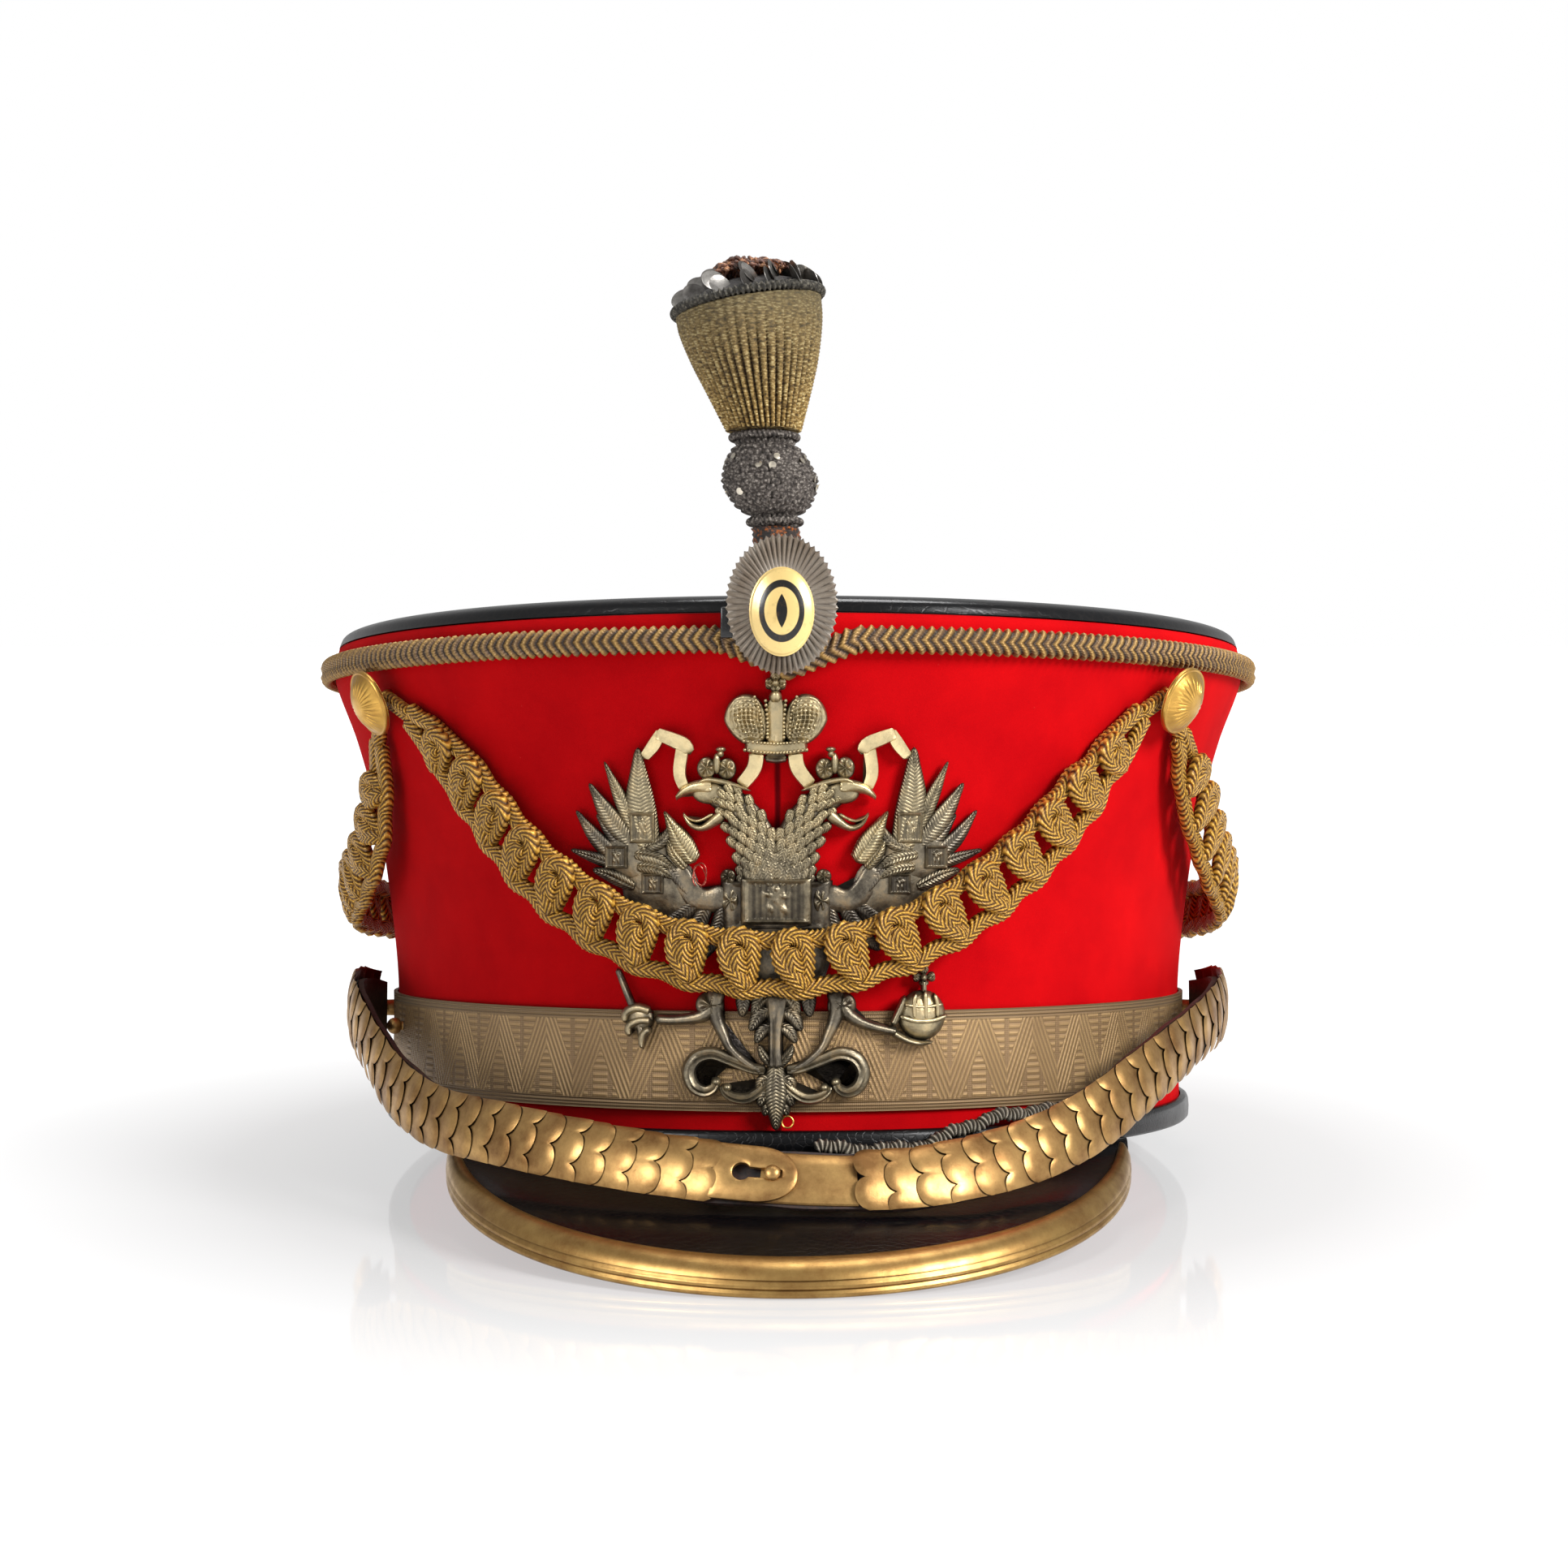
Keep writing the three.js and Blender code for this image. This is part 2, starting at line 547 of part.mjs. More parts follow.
// Route along the body: a smooth curve with a frame at each share of its length
class BodyRoute {
  constructor(rows) {
    this.rows = rows.map((row, index) => ({ index, lean: 0, ...row }));
    const last = rows.length - 1;
    const points = Array.from({ length: last * ROUTE_STEPS + 1 }, (_, i) => {
      const index = i / ROUTE_STEPS;
      const z = CLOTH_HEIGHT * this.value("rise", index);
      return bodyPoint(this.value("angle", index), z, this.value("standoff", index));
    });
    this.curve = new THREE.CatmullRomCurve3(points);
    this.curve.arcLengthDivisions = 4 * points.length;
    this.length = this.curve.getLength();
  }

  // A column's value at a row number, between rows too
  value(column, index) {
    return tableValue(this.rows, "index", column, index);
  }

  // Point at a distance along, a distance up across the face and a height out of it
  point(along, across, out) {
    const share = THREE.MathUtils.clamp(along / this.length, 0, 1);
    const place = this.curve.getPointAt(share);
    const tangent = this.curve.getTangentAt(share);
    const index = this.curve.getUtoTmapping(share) * (this.rows.length - 1);
    const outward = clothNormal(this.value("angle", index), place.z);
    const lean = radians(this.value("lean", index));
    const face = outward.multiplyScalar(Math.cos(lean)).addScaledVector(UP, Math.sin(lean));
    const side = new THREE.Vector3().crossVectors(face, tangent).normalize();
    face.crossVectors(tangent, side).normalize();
    return place.addScaledVector(side, across).addScaledVector(face, out);
  }
}

// Cloth body
function makeBody() {
  const footZ = -FOOT_BAND_DROP + FOOT_BAND_LEATHER + SEAT;
  const levels = (row, i) => (i === 0 ? footZ : row.rise * CLOTH_HEIGHT);
  const face = (rows, standoff) => rows.map((row, i) => ({ standoff, z: levels(row, i) }));
  const outer = face(BODY_PROFILE, 0);
  const inner = face(BODY_PROFILE.filter((row, i) => i % 2 === 0), -CLOTH_WALL);
  return node("body_shell", "cloth", bodyRing([...outer, ...inner.reverse()]));
}

// Lacquered crown, closed over the body
function makeCrown() {
  const seatZ = CLOTH_HEIGHT + SEAT;
  const wallClear = CLOTH_WALL + SEAT;
  const dishInset = CROWN_RIM_WIDTH + CROWN_DISH_SLOPE;
  const dishZ = seatZ + CROWN_RIM_RISE - CROWN_DISH_DEPTH;
  const sections = [
    ...CROWN_RIM.map((row) => ({
      inset: row.across * CROWN_RIM_WIDTH,
      z: seatZ + row.rise * CROWN_RIM_RISE,
    })),
    { inset: dishInset, z: dishZ },
  ];
  const under = [
    { inset: dishInset, z: dishZ - CROWN_LEATHER },
    { inset: wallClear + CROWN_LEATHER, z: seatZ - CROWN_LEATHER },
    { inset: wallClear, z: seatZ },
  ];
  const rows = [...sections, ...under];
  const points = [];
  for (const row of rows) {
    for (let i = 0; i < RING_STEPS; i += 1) {
      const point = bodyPoint((360 * i) / RING_STEPS, CLOTH_HEIGHT, -row.inset);
      points.push(point.setZ(row.z));
    }
  }
  const triangles = [];
  const ringBetween = (from, to) => {
    for (let i = 0; i < RING_STEPS; i += 1) {
      const k = (i + 1) % RING_STEPS;
      const a = from * RING_STEPS;
      const b = to * RING_STEPS;
      triangles.push([a + i, a + k, b + k], [a + i, b + k, b + i]);
    }
  };
  for (let row = 0; row < rows.length; row += 1) {
    if (row !== sections.length - 1) {
      ringBetween(row, (row + 1) % rows.length);
    }
  }
  const fan = (row, z, upward) => {
    const centre = points.length;
    points.push(new THREE.Vector3(0, 0, z));
    for (let i = 0; i < RING_STEPS; i += 1) {
      const a = row * RING_STEPS + i;
      const b = row * RING_STEPS + ((i + 1) % RING_STEPS);
      triangles.push(upward ? [a, b, centre] : [b, a, centre]);
    }
  };
  fan(sections.length - 1, rows[sections.length - 1].z, true);
  fan(sections.length, rows[sections.length].z, false);
  return node("crown_top", "lacquer", closedGeometry(points, triangles));
}

// Cord below the crown, which dips to pass under the cockade
function makeTopCord() {
  const sides = 6;
  const outline = Array.from({ length: sides }, (_, j) => {
    const turn = (2 * Math.PI * (j + 0.5)) / sides;
    const corner = new THREE.Vector2(Math.cos(turn) * TOP_CORD_THICKNESS, Math.sin(turn) * TOP_CORD_HEIGHT);
    return corner.multiplyScalar(0.5);
  });
  const dipEnd = TOP_CORD_DIP_HALF_ANGLE;
  const dipSteps = [-1, -0.5, 0, 0.5, 1].map((share) => share * dipEnd);
  const restCount = RING_STEPS - dipSteps.length + 1;
  const restPitch = (360 - 2 * dipEnd) / restCount;
  const restSteps = Array.from({ length: restCount - 1 }, (_, i) => dipEnd + restPitch * (i + 1));
  const angles = [...dipSteps, ...restSteps];
  const geometry = sweptGeometry(angles.length, outline, (i, j) => {
    const drop = TOP_CORD_DIP * Math.max(0, 1 - Math.abs(angles[i]) / TOP_CORD_DIP_HALF_ANGLE);
    const z = TOP_CORD_LEVEL - drop + outline[j].y;
    return bodyPoint(angles[i], z, SEAT + 0.5 * TOP_CORD_THICKNESS + outline[j].x);
  }, true);
  return node("top_cord", "tarnishedCord", geometry);
}

function makeLace() {
  const outer = SEAT + LACE_THICKNESS;
  const top = LACE_FOOT + LACE_HEIGHT;
  return node("lace_band", "lace", bodyRing([
    { standoff: SEAT, z: LACE_FOOT }, { standoff: outer, z: LACE_FOOT },
    { standoff: outer, z: top }, { standoff: SEAT, z: top },
  ]));
}

// Leather band that folds under the cloth's lower edge
function makeFootBand() {
  const outer = SEAT + FOOT_BAND_LEATHER;
  const soleTop = -FOOT_BAND_DROP + FOOT_BAND_LEATHER;
  return node("foot_band", "leather", bodyRing([
    { standoff: -CLOTH_WALL, z: -FOOT_BAND_DROP }, { standoff: outer, z: -FOOT_BAND_DROP },
    { standoff: outer, z: FOOT_BAND_RISE }, { standoff: SEAT, z: FOOT_BAND_RISE },
    { standoff: SEAT, z: soleTop }, { standoff: -CLOTH_WALL, z: soleTop },
  ]));
}

// Distance of a plan point outside the base oval
function reachBeyondBase(x, y) {
  let reach = 0;
  for (let step = 0; step < 12; step += 1) {
    const halfWidth = BASE_HALF_WIDTH + reach;
    const share = Math.hypot(x / halfWidth, y / (halfWidth + DEPTH_OVER_WIDTH));
    reach += (share - 1) * halfWidth;
  }
  return Math.max(reach, 0);
}

// The peak's outer edge at a share of its half-turn, and the peak's upper surface there
function peakEdge(share) {
  const turn = radians(PEAK_END_TURN * share);
  const x = PEAK_HALF_WIDTH * Math.sin(turn);
  const y = -PEAK_CENTRE_SETBACK - PEAK_REACH * Math.cos(turn);
  return new THREE.Vector3(x, y, -FOOT_BAND_DROP - PEAK_SLOPE * reachBeyondBase(x, y));
}

function peakRoot(share) {
  return bodyPoint(PEAK_ROOT_HALF_ANGLE * share, 0, 0).setZ(-FOOT_BAND_DROP - SEAT);
}

// Point on the peak's upper surface at a share of the way from the root to the edge
function peakSurface(share, across, lift) {
  const root = peakRoot(share);
  const edge = peakEdge(share);
  const span = Math.hypot(edge.x - root.x, edge.y - root.y);
  const bulge = PEAK_BULGE * Math.min(1, (2 * span) / PEAK_REACH) * 4 * across * (1 - across);
  return root.lerp(edge, across).add(new THREE.Vector3(0, 0, bulge + lift));
}

// The same at a distance in from the edge
function peakBeforeEdge(share, inset, lift) {
  const room = peakRoot(share).setZ(0).distanceTo(peakEdge(share).setZ(0));
  return peakSurface(share, 1 - inset / Math.max(room, inset), lift);
}

function makePeak() {
  const edgeClear = BINDING_METAL + SEAT;
  const outline = [
    { root: CLOTH_WALL, across: 0, lift: 0 }, { root: 0, across: 0, lift: 0 },
    { root: 0, across: 0.5, lift: 0 }, { root: 0, across: 1, lift: 0 },
    { root: 0, across: 1, lift: -PEAK_LEATHER }, { root: 0, across: 0.5, lift: -PEAK_LEATHER },
    { root: 0, across: 0, lift: -PEAK_LEATHER }, { root: CLOTH_WALL, across: 0, lift: -PEAK_LEATHER },
  ];
  const flat = outline.map((row) => new THREE.Vector2(row.across * PEAK_REACH - row.root, row.lift));
  const geometry = sweptGeometry(PEAK_STEPS, flat, (i, j) => {
    const share = (2 * i) / (PEAK_STEPS - 1) - 1;
    const row = outline[j];
    if (row.root > 0) {
      return bodyPoint(PEAK_ROOT_HALF_ANGLE * share, 0, -row.root).setZ(-FOOT_BAND_DROP - SEAT + row.lift);
    }
    if (row.across === 1) {
      return peakBeforeEdge(share, edgeClear, row.lift);
    }
    return peakSurface(share, row.across, row.lift);
  }, false);
  return node("peak", "leather", geometry);
}

// Metal channel that wraps the peak's edge as far as the strap that hides its ends
function makeBinding() {
  const over = BINDING_METAL + SEAT;
  const underZ = -PEAK_LEATHER - SEAT;
  const section = [
    { inset: BINDING_WIDTH, z: SEAT }, { inset: BINDING_METAL, z: SEAT }, { inset: BINDING_METAL, z: underZ },
    { inset: BINDING_UNDER_WIDTH, z: underZ }, { inset: BINDING_UNDER_WIDTH, z: underZ - BINDING_METAL },
    { inset: 0.6 * BINDING_METAL, z: underZ - BINDING_METAL }, { inset: 0, z: -0.5 * PEAK_LEATHER },
    { inset: 0.7 * BINDING_METAL, z: over }, { inset: BINDING_WIDTH, z: over },
  ];
  const flat = section.map((row) => new THREE.Vector2(-row.inset, row.z));
  const geometry = sweptGeometry(PEAK_STEPS, flat, (i, j) => {
    const share = ((2 * i) / (PEAK_STEPS - 1) - 1) * (BINDING_END_TURN / PEAK_END_TURN);
    return peakBeforeEdge(share, section[j].inset, section[j].z);
  }, false);
  return node("peak_binding", "gilt", geometry);
}

// Buttons: a dome on a shank, facing out of the cloth
function makeButton(name, angle) {
  const baseOut = FESTOON_THICKNESS + 3 * SEAT;
  const profile = [
    [0, SEAT], [BUTTON_SHANK_RADIUS, SEAT], [BUTTON_SHANK_RADIUS, baseOut], [BUTTON_RADIUS, baseOut],
    [BUTTON_RADIUS, baseOut + BUTTON_EDGE], [0.6 * BUTTON_RADIUS, baseOut + BUTTON_EDGE + 0.75 * BUTTON_DOME],
    [0, baseOut + BUTTON_EDGE + BUTTON_DOME],
  ];
  return facingOut(node(name, "gilt", latheAlongZ(profile, 12)), angle, BUTTON_LEVEL);
}

// Lathe turned so that its axis is +Z
function latheAlongZ(profile, sides) {
  const lathe = new THREE.LatheGeometry(profile.map(([r, z]) => new THREE.Vector2(r, z)), sides);
  return weld(lathe.rotateX(Math.PI / 2));
}

// Mesh placed on the cloth with its +Z pointing out
function facingOut(mesh, angle, z) {
  mesh.position.copy(bodyPoint(angle, z, 0));
  mesh.quaternion.setFromUnitVectors(UP, clothNormal(angle, z));
  return mesh;
}

// Closed slab over flat faces that share corners: its two sides and a wall round each edge
function slabGeometry(corners, faces, thickness, mapping) {
  const caps = faces.flatMap((face) => {
    const flat = face.map((index) => corners[index]);
    const clockwise = THREE.ShapeUtils.area(flat) < 0;
    return THREE.ShapeUtils.triangulateShape(flat, []).map(([a, b, c]) => (
      clockwise ? [face[a], face[c], face[b]] : [face[a], face[b], face[c]]
    ));
  });
  const edges = new Set();
  const sidesOf = ([a, b, c]) => [[a, b], [b, c], [c, a]];
  caps.forEach((cap) => sidesOf(cap).forEach(([a, b]) => edges.add(`${a},${b}`)));
  const count = corners.length;
  const points = [0, thickness].flatMap((out) => corners.map((corner) => mapping(corner.x, corner.y, out)));
  const triangles = caps.flatMap(([a, b, c]) => [[a + count, b + count, c + count], [a, c, b]]);
  caps.forEach((cap) => sidesOf(cap).forEach(([a, b]) => {
    if (!edges.has(`${b},${a}`)) {
      triangles.push([a, b, b + count], [a, b + count, a + count]);
    }
  }));
  return closedGeometry(points, triangles);
}

// Festoon in its own plane: tails at the ends, scalloped rails, and a rung in each cell
function festoonGeometry(route, loops) {
  const pitch = (route.length - 2 * FESTOON_TAIL) / loops;
  const half = 0.5 * FESTOON_WIDTH;
  const cord = 0.5 * FESTOON_CORD;
  const rail = half - FESTOON_CORD;
  const valley = half - FESTOON_SCALLOP * FESTOON_CORD;
  const corners = [];
  const corner = (along, across) => corners.push(new THREE.Vector2(along, across)) - 1;
  const tailEnd = (along) => [corner(along, -cord), corner(along, cord)];
  const gapAt = (k) => {
    const middle = FESTOON_TAIL + k * pitch;
    return {
      low: corner(middle, -valley),
      high: corner(middle, valley),
      left: FESTOON_GAP.slice(0, 2).map((row) => corner(middle + row.along * pitch, row.across * rail)),
      right: FESTOON_GAP.slice(2).map((row) => corner(middle + row.along * pitch, row.across * rail)),
    };
  };
  const peaksAt = (k, reach) => {
    const middle = FESTOON_TAIL + (k + 0.5) * pitch;
    return [corner(middle, -reach), corner(middle, reach)];
  };
  const gaps = Array.from({ length: loops - 1 }, (_, k) => gapAt(k + 1));
  const faces = gaps.flatMap((gap) => [
    [gap.low, gap.right[0], gap.left[0]], [gap.high, gap.left[1], gap.right[1]],
  ]);
  for (let k = 1; k < loops - 1; k += 1) {
    const [before, after] = [gaps[k - 1], gaps[k]];
    const [low, high] = peaksAt(k, half);
    const risingSide = [before.low, low, after.low, after.left[0], after.left[1]];
    faces.push([...risingSide, after.high, high, before.high, before.right[1], before.right[0]]);
  }
  const endReach = FESTOON_END_SPREAD * half;
  const neck = FESTOON_TAIL_NECK * FESTOON_TAIL;
  const first = gaps[0];
  const [firstLow, firstHigh] = peaksAt(0, endReach);
  const [startLow, startHigh] = tailEnd(0);
  const [neckLow, neckHigh] = tailEnd(neck);
  const startRound = [startLow, neckLow, firstLow, first.low, ...first.left, first.high, firstHigh];
  faces.push([...startRound, neckHigh, startHigh]);
  const last = gaps[gaps.length - 1];
  const [lastLow, lastHigh] = peaksAt(loops - 1, endReach);
  const [endLow, endHigh] = tailEnd(route.length);
  const [wristLow, wristHigh] = tailEnd(route.length - neck);
  const endRound = [last.low, lastLow, wristLow, endLow, endHigh, wristHigh, lastHigh];
  faces.push([...endRound, last.high, last.right[1], last.right[0]]);
  const mapping = (along, across, out) => route.point(along, across, out);
  return slabGeometry(corners, faces, FESTOON_THICKNESS, mapping);
}

function makeFestoon(name, rows, loops) {
  return node(name, "cord", festoonGeometry(new BodyRoute(rows), loops));
}

// Edges of the scales, across the strap and along it
const TWO_LOBES = [
  { across: -1, lobe: 0.2 }, { across: -0.8, lobe: 0.85 }, { across: -0.45, lobe: 1 },
  { across: 0, lobe: 0 },
  { across: 0.45, lobe: 1 }, { across: 0.8, lobe: 0.85 }, { across: 1, lobe: 0.2 },
];
const THREE_LOBES = [
  { across: -1, lobe: 0.5 }, { across: -0.72, lobe: 0.95 }, { across: -0.42, lobe: 0 },
  { across: 0, lobe: 1 },
  { across: 0.42, lobe: 0 }, { across: 0.72, lobe: 0.95 }, { across: 1, lobe: 0.5 },
];

// Scale strap between two distances along the route, with lobes towards the clasp

function makeScaleStrap(name, route, start, end) {
  const towards = Math.sign(end - start);
  const length = Math.abs(end - start);
  const count = Math.round(length / SCALE_PITCH);
  const pitch = length / count;
  const half = 0.5 * STRAP_WIDTH;
  const columns = TWO_LOBES.length;
  const topAt = (share) => STRAP_LEATHER + SCALE_CROWN * (1 - share * share);
  const outline = [
    ...TWO_LOBES.map((row) => new THREE.Vector2(row.across * half, topAt(row.across))),
    new THREE.Vector2(half, 0), new THREE.Vector2(-half, 0),
  ];
  const stations = [{ along: 0, raised: false, lobes: null }];
  for (let k = 1; k <= count; k += 1) {
    const lobes = k % 2 === 0 ? TWO_LOBES : THREE_LOBES;
    const last = k === count;
    stations.push({ along: k * pitch - SCALE_LOBE, raised: true, lobes: last ? null : lobes });
    if (!last) {
      stations.push({ along: k * pitch - SCALE_LOBE + SCALE_STEP, raised: false, lobes });
    }
  }
  stations[stations.length - 1].along = length;
  const geometry = sweptGeometry(stations.length, outline, (i, j) => {
    const station = stations[i];
    if (j >= columns) {
      return route.point(start + towards * station.along, outline[j].x, 0);
    }
    const row = (station.lobes ?? TWO_LOBES)[j];
    const lobe = station.lobes ? row.lobe * SCALE_LOBE : 0;
    const out = topAt(row.across) + (station.raised ? SCALE_LIFT : 0);
    return route.point(start + towards * (station.along + lobe), row.across * half, out);
  }, false);
  return node(name, "brass", geometry);
}

// Oblong plate with one round end, along the strap, in its own plane
function claspShape(length, roundAtEnd) {
  const half = 0.5 * CLASP_WIDTH;
  const shape = new THREE.Shape();
  const flatX = roundAtEnd ? 0 : length;
  const bulge = CLASP_ROUND_SHARE * half;
  const roundX = roundAtEnd ? length - bulge : bulge;
  const arcSteps = 8;
  shape.moveTo(flatX, -half);
  for (let i = 0; i <= arcSteps; i += 1) {
    const turn = -Math.PI / 2 + (Math.PI * i) / arcSteps;
    const out = (roundAtEnd ? bulge : -bulge) * Math.cos(turn);
    shape.lineTo(roundX + out, half * Math.sin(turn));
  }
  shape.lineTo(flatX, half);
  shape.closePath();
  return shape;
}

function keyhole(centre, slotEnd) {
  const sides = 10;
  const points = [];
  const opening = Math.asin(KEYHOLE_SLOT / KEYHOLE_RADIUS);
  for (let i = 0; i <= sides; i += 1) {
    const turn = opening + ((2 * Math.PI - 2 * opening) * i) / sides;
    points.push(new THREE.Vector2(centre + KEYHOLE_RADIUS * Math.cos(turn), KEYHOLE_RADIUS * Math.sin(turn)));
  }
  points.push(new THREE.Vector2(slotEnd, -KEYHOLE_SLOT), new THREE.Vector2(slotEnd, KEYHOLE_SLOT));
  return new THREE.Path(points);
}

// The two clasp plates: the left one laps over the right one, whose stud fills the slot
function makeClasp(route, tip) {
  const lowOut = STRAP_LEATHER;
  const highOut = lowOut + CLASP_METAL + SEAT;
  const studAlong = tip - STUD_FROM_TIP;
  const leftStart = tip - CLASP_LEFT_LENGTH;
  const left = claspShape(CLASP_LEFT_LENGTH, true);
  const studPlace = CLASP_LEFT_LENGTH - STUD_FROM_TIP;
  left.holes.push(keyhole(studPlace - KEYHOLE_TO_STUD, studPlace + STUD_RADIUS + SEAT));
  const leftPlate = mappedPlate(left, CLASP_METAL, (point) => {
    point.copy(route.point(leftStart + point.x, point.y, highOut + point.z));
  });
  const rightStart = tip - CLASP_LAP;
  const right = mappedPlate(claspShape(CLASP_RIGHT_LENGTH, false), CLASP_METAL, (point) => {
    point.copy(route.point(rightStart + point.x, CLASP_UNDER_SHARE * point.y, lowOut + point.z));
  });
  const neckRadius = KEYHOLE_SLOT - SEAT;
  const stud = mappedGeometry(latheAlongZ([
    [0, 0], [neckRadius, 0], [neckRadius, 2 * CLASP_METAL], [STUD_RADIUS, 2 * CLASP_METAL + 2 * SEAT],
    [0.7 * STUD_RADIUS, STUD_HEIGHT + CLASP_METAL], [0, STUD_HEIGHT + CLASP_METAL + SEAT],
  ], 8), (point) => {
    point.copy(route.point(studAlong + point.x, point.y, lowOut + 0.5 * CLASP_METAL + point.z));
  });
  return [
    node("clasp_plate_left", "brass", leftPlate),
    node("clasp_plate_right", "brass", joined([right, stud])),
  ];
}

function makeBoss(name, side) {
  const floor = SEAT + LACE_THICKNESS + SEAT;
  const profile = [
    [0, floor], [BOSS_STEM_RADIUS, floor], [BOSS_STEM_RADIUS, BOSS_STANDOFF], [BOSS_RADIUS, BOSS_STANDOFF],
    [BOSS_RADIUS, BOSS_STANDOFF + 0.3 * BOSS_THICKNESS],
    [0.6 * BOSS_RADIUS, BOSS_STANDOFF + 0.85 * BOSS_THICKNESS],
    [0, BOSS_STANDOFF + BOSS_THICKNESS],
  ];
  return facingOut(node(name, "brass", latheAlongZ(profile, 12)), side * BOSS_ANGLE, BOSS_LEVEL);
}

function makeBallStud(name, angle, z) {
  const ball = new THREE.SphereGeometry(BALL_STUD_RADIUS, 8, 5);
  ball.translate(0, 0, 2 * SEAT + LACE_THICKNESS + BALL_STUD_RADIUS);
  return facingOut(node(name, "brass", weld(ball)), angle, z);
}

function makeWoundCord() {
  const standoff = 2 * SEAT + FOOT_BAND_LEATHER + WOUND_CORD_RADIUS;
  const route = new BodyRoute(WOUND_CORD_ROUTE.map((row) => ({ ...row, standoff })));
  const outline = Array.from({ length: WOUND_CORD_SIDES }, (_, j) => {
    const turn = (2 * Math.PI * j) / WOUND_CORD_SIDES;
    return new THREE.Vector2(WOUND_CORD_RADIUS * Math.cos(turn), WOUND_CORD_RADIUS * Math.sin(turn));
  });
  const geometry = sweptGeometry(WOUND_CORD_STEPS, outline, (i, j) => {
    const along = (route.length * i) / (WOUND_CORD_STEPS - 1);
    return route.point(along, outline[j].x, outline[j].y);
  }, false);
  return node("wound_cord", "woundCord", geometry);
}

// Eagle badge: flat pieces joined into one casting, then bent round the cloth
function badgeStroke(stroke, mirror) {
  const points = stroke.path.map(([x, z]) => new THREE.Vector2(mirror * x, z));
  const left = [];
  const right = [];
  points.forEach((point, i) => {
    const before = points[Math.max(i - 1, 0)];
    const after = points[Math.min(i + 1, points.length - 1)];
    const along = after.clone().sub(before).normalize();
    const side = new THREE.Vector2(-along.y, along.x).multiplyScalar(0.5 * stroke.width);
    left.push(point.clone().add(side));
    right.push(point.clone().sub(side));
  });
  return new THREE.Shape([...left, ...right.reverse()]);
}

function badgeLeaf(leaf, mirror) {
  const root = new THREE.Vector2(mirror * leaf.rootX, leaf.rootZ);
  const tip = new THREE.Vector2(mirror * leaf.tipX, leaf.tipZ);
  const along = tip.clone().sub(root);
  const side = new THREE.Vector2(-along.y, along.x).normalize().multiplyScalar(0.5 * leaf.width);
  const at = (share, spread) => root.clone().addScaledVector(along, share).addScaledVector(side, spread);
  return new THREE.Shape([at(0, -0.9), at(0.7, -0.8), at(1, 0), at(0.7, 0.8), at(0, 0.9)]);
}

function badgeOval(x, z, halfX, halfZ) {
  const sides = BADGE_OVAL_SIDES;
  const points = Array.from({ length: sides }, (_, i) => {
    const turn = (2 * Math.PI * (i + 0.5)) / sides;
    return new THREE.Vector2(x + halfX * Math.cos(turn), z + halfZ * Math.sin(turn));
  });
  return new THREE.Shape(points);
}

function badgeBox(row, mirror) {
  return badgeOutline([
    { x: row.x - row.halfX, z: row.z - row.halfZ }, { x: row.x + row.halfX, z: row.z - row.halfZ },
    { x: row.x + row.halfX, z: row.z + row.halfZ }, { x: row.x - row.halfX, z: row.z + row.halfZ },
  ], mirror);
}

function badgeOutline(rows, mirror) {
  const points = rows.map((row) => new THREE.Vector2(mirror * row.x, row.z));
  return new THREE.Shape(mirror < 0 ? points.reverse() : points);
}

function makeBadge() {
  const unit = 0.01 * BADGE_HEIGHT;
  const pieces = [];
  const push = (shape, depth) => {
    pieces.push(new THREE.ExtrudeGeometry(shape, { depth, bevelEnabled: false }));
  };
  const full = BADGE_RELIEF / unit;
  const plate = BADGE_PLATE / unit;
  for (const mirror of [1, -1]) {
    push(badgeOutline(BADGE_WING, mirror), plate);
    push(badgeOutline(BADGE_HEAD, mirror), full);
    push(badgeOutline(BADGE_SMALL_CROWN, mirror), full);
    BADGE_FEATHERS.forEach((leaf) => push(badgeLeaf(leaf, mirror), BADGE_FEATHER_RELIEF * plate));
    BADGE_SMALL_SHIELDS.forEach((row) => push(badgeBox(row, mirror), BADGE_SHIELD_RELIEF * plate));
  }
  for (const stroke of BADGE_STROKES) {
    const mirrors = stroke.both ? [1, -1] : [1];
    mirrors.forEach((mirror) => push(badgeStroke(stroke, mirror), BADGE_FEATHER_RELIEF * plate));
  }
  for (const oval of BADGE_OVALS) {
    (oval.both ? [1, -1] : [1]).forEach((mirror) => {
      push(badgeOval(mirror * oval.x, oval.z, oval.halfX, oval.halfZ), full);
    });
  }
  BADGE_PLATES.forEach((row) => push(badgeBox(row, 1), plate + row.relief * (full - plate)));
  push(badgeOutline(BADGE_LEAF, 1), BADGE_LEAF_RELIEF * full);
  const laceTop = LACE_FOOT + LACE_HEIGHT;
  const onLace = SEAT + LACE_THICKNESS + 2 * SEAT;
  const bent = mappedGeometry(joined(pieces), (point) => {
    const x = BADGE_SIDE_SHIFT + unit * point.x;
    const z = BADGE_FOOT + unit * point.y;
    const seat = z > laceTop + BADGE_STEP_ABOVE_LACE ? BADGE_SEAT_ON_CLOTH : onLace;
    const standoff = seat + unit * point.z;
    const angle = THREE.MathUtils.radToDeg(Math.asin(x / (bodyHalfWidth(z) + standoff)));
    point.copy(bodyPoint(angle, z, standoff));
  });
  return node("eagle_badge", "silver", bent);
}

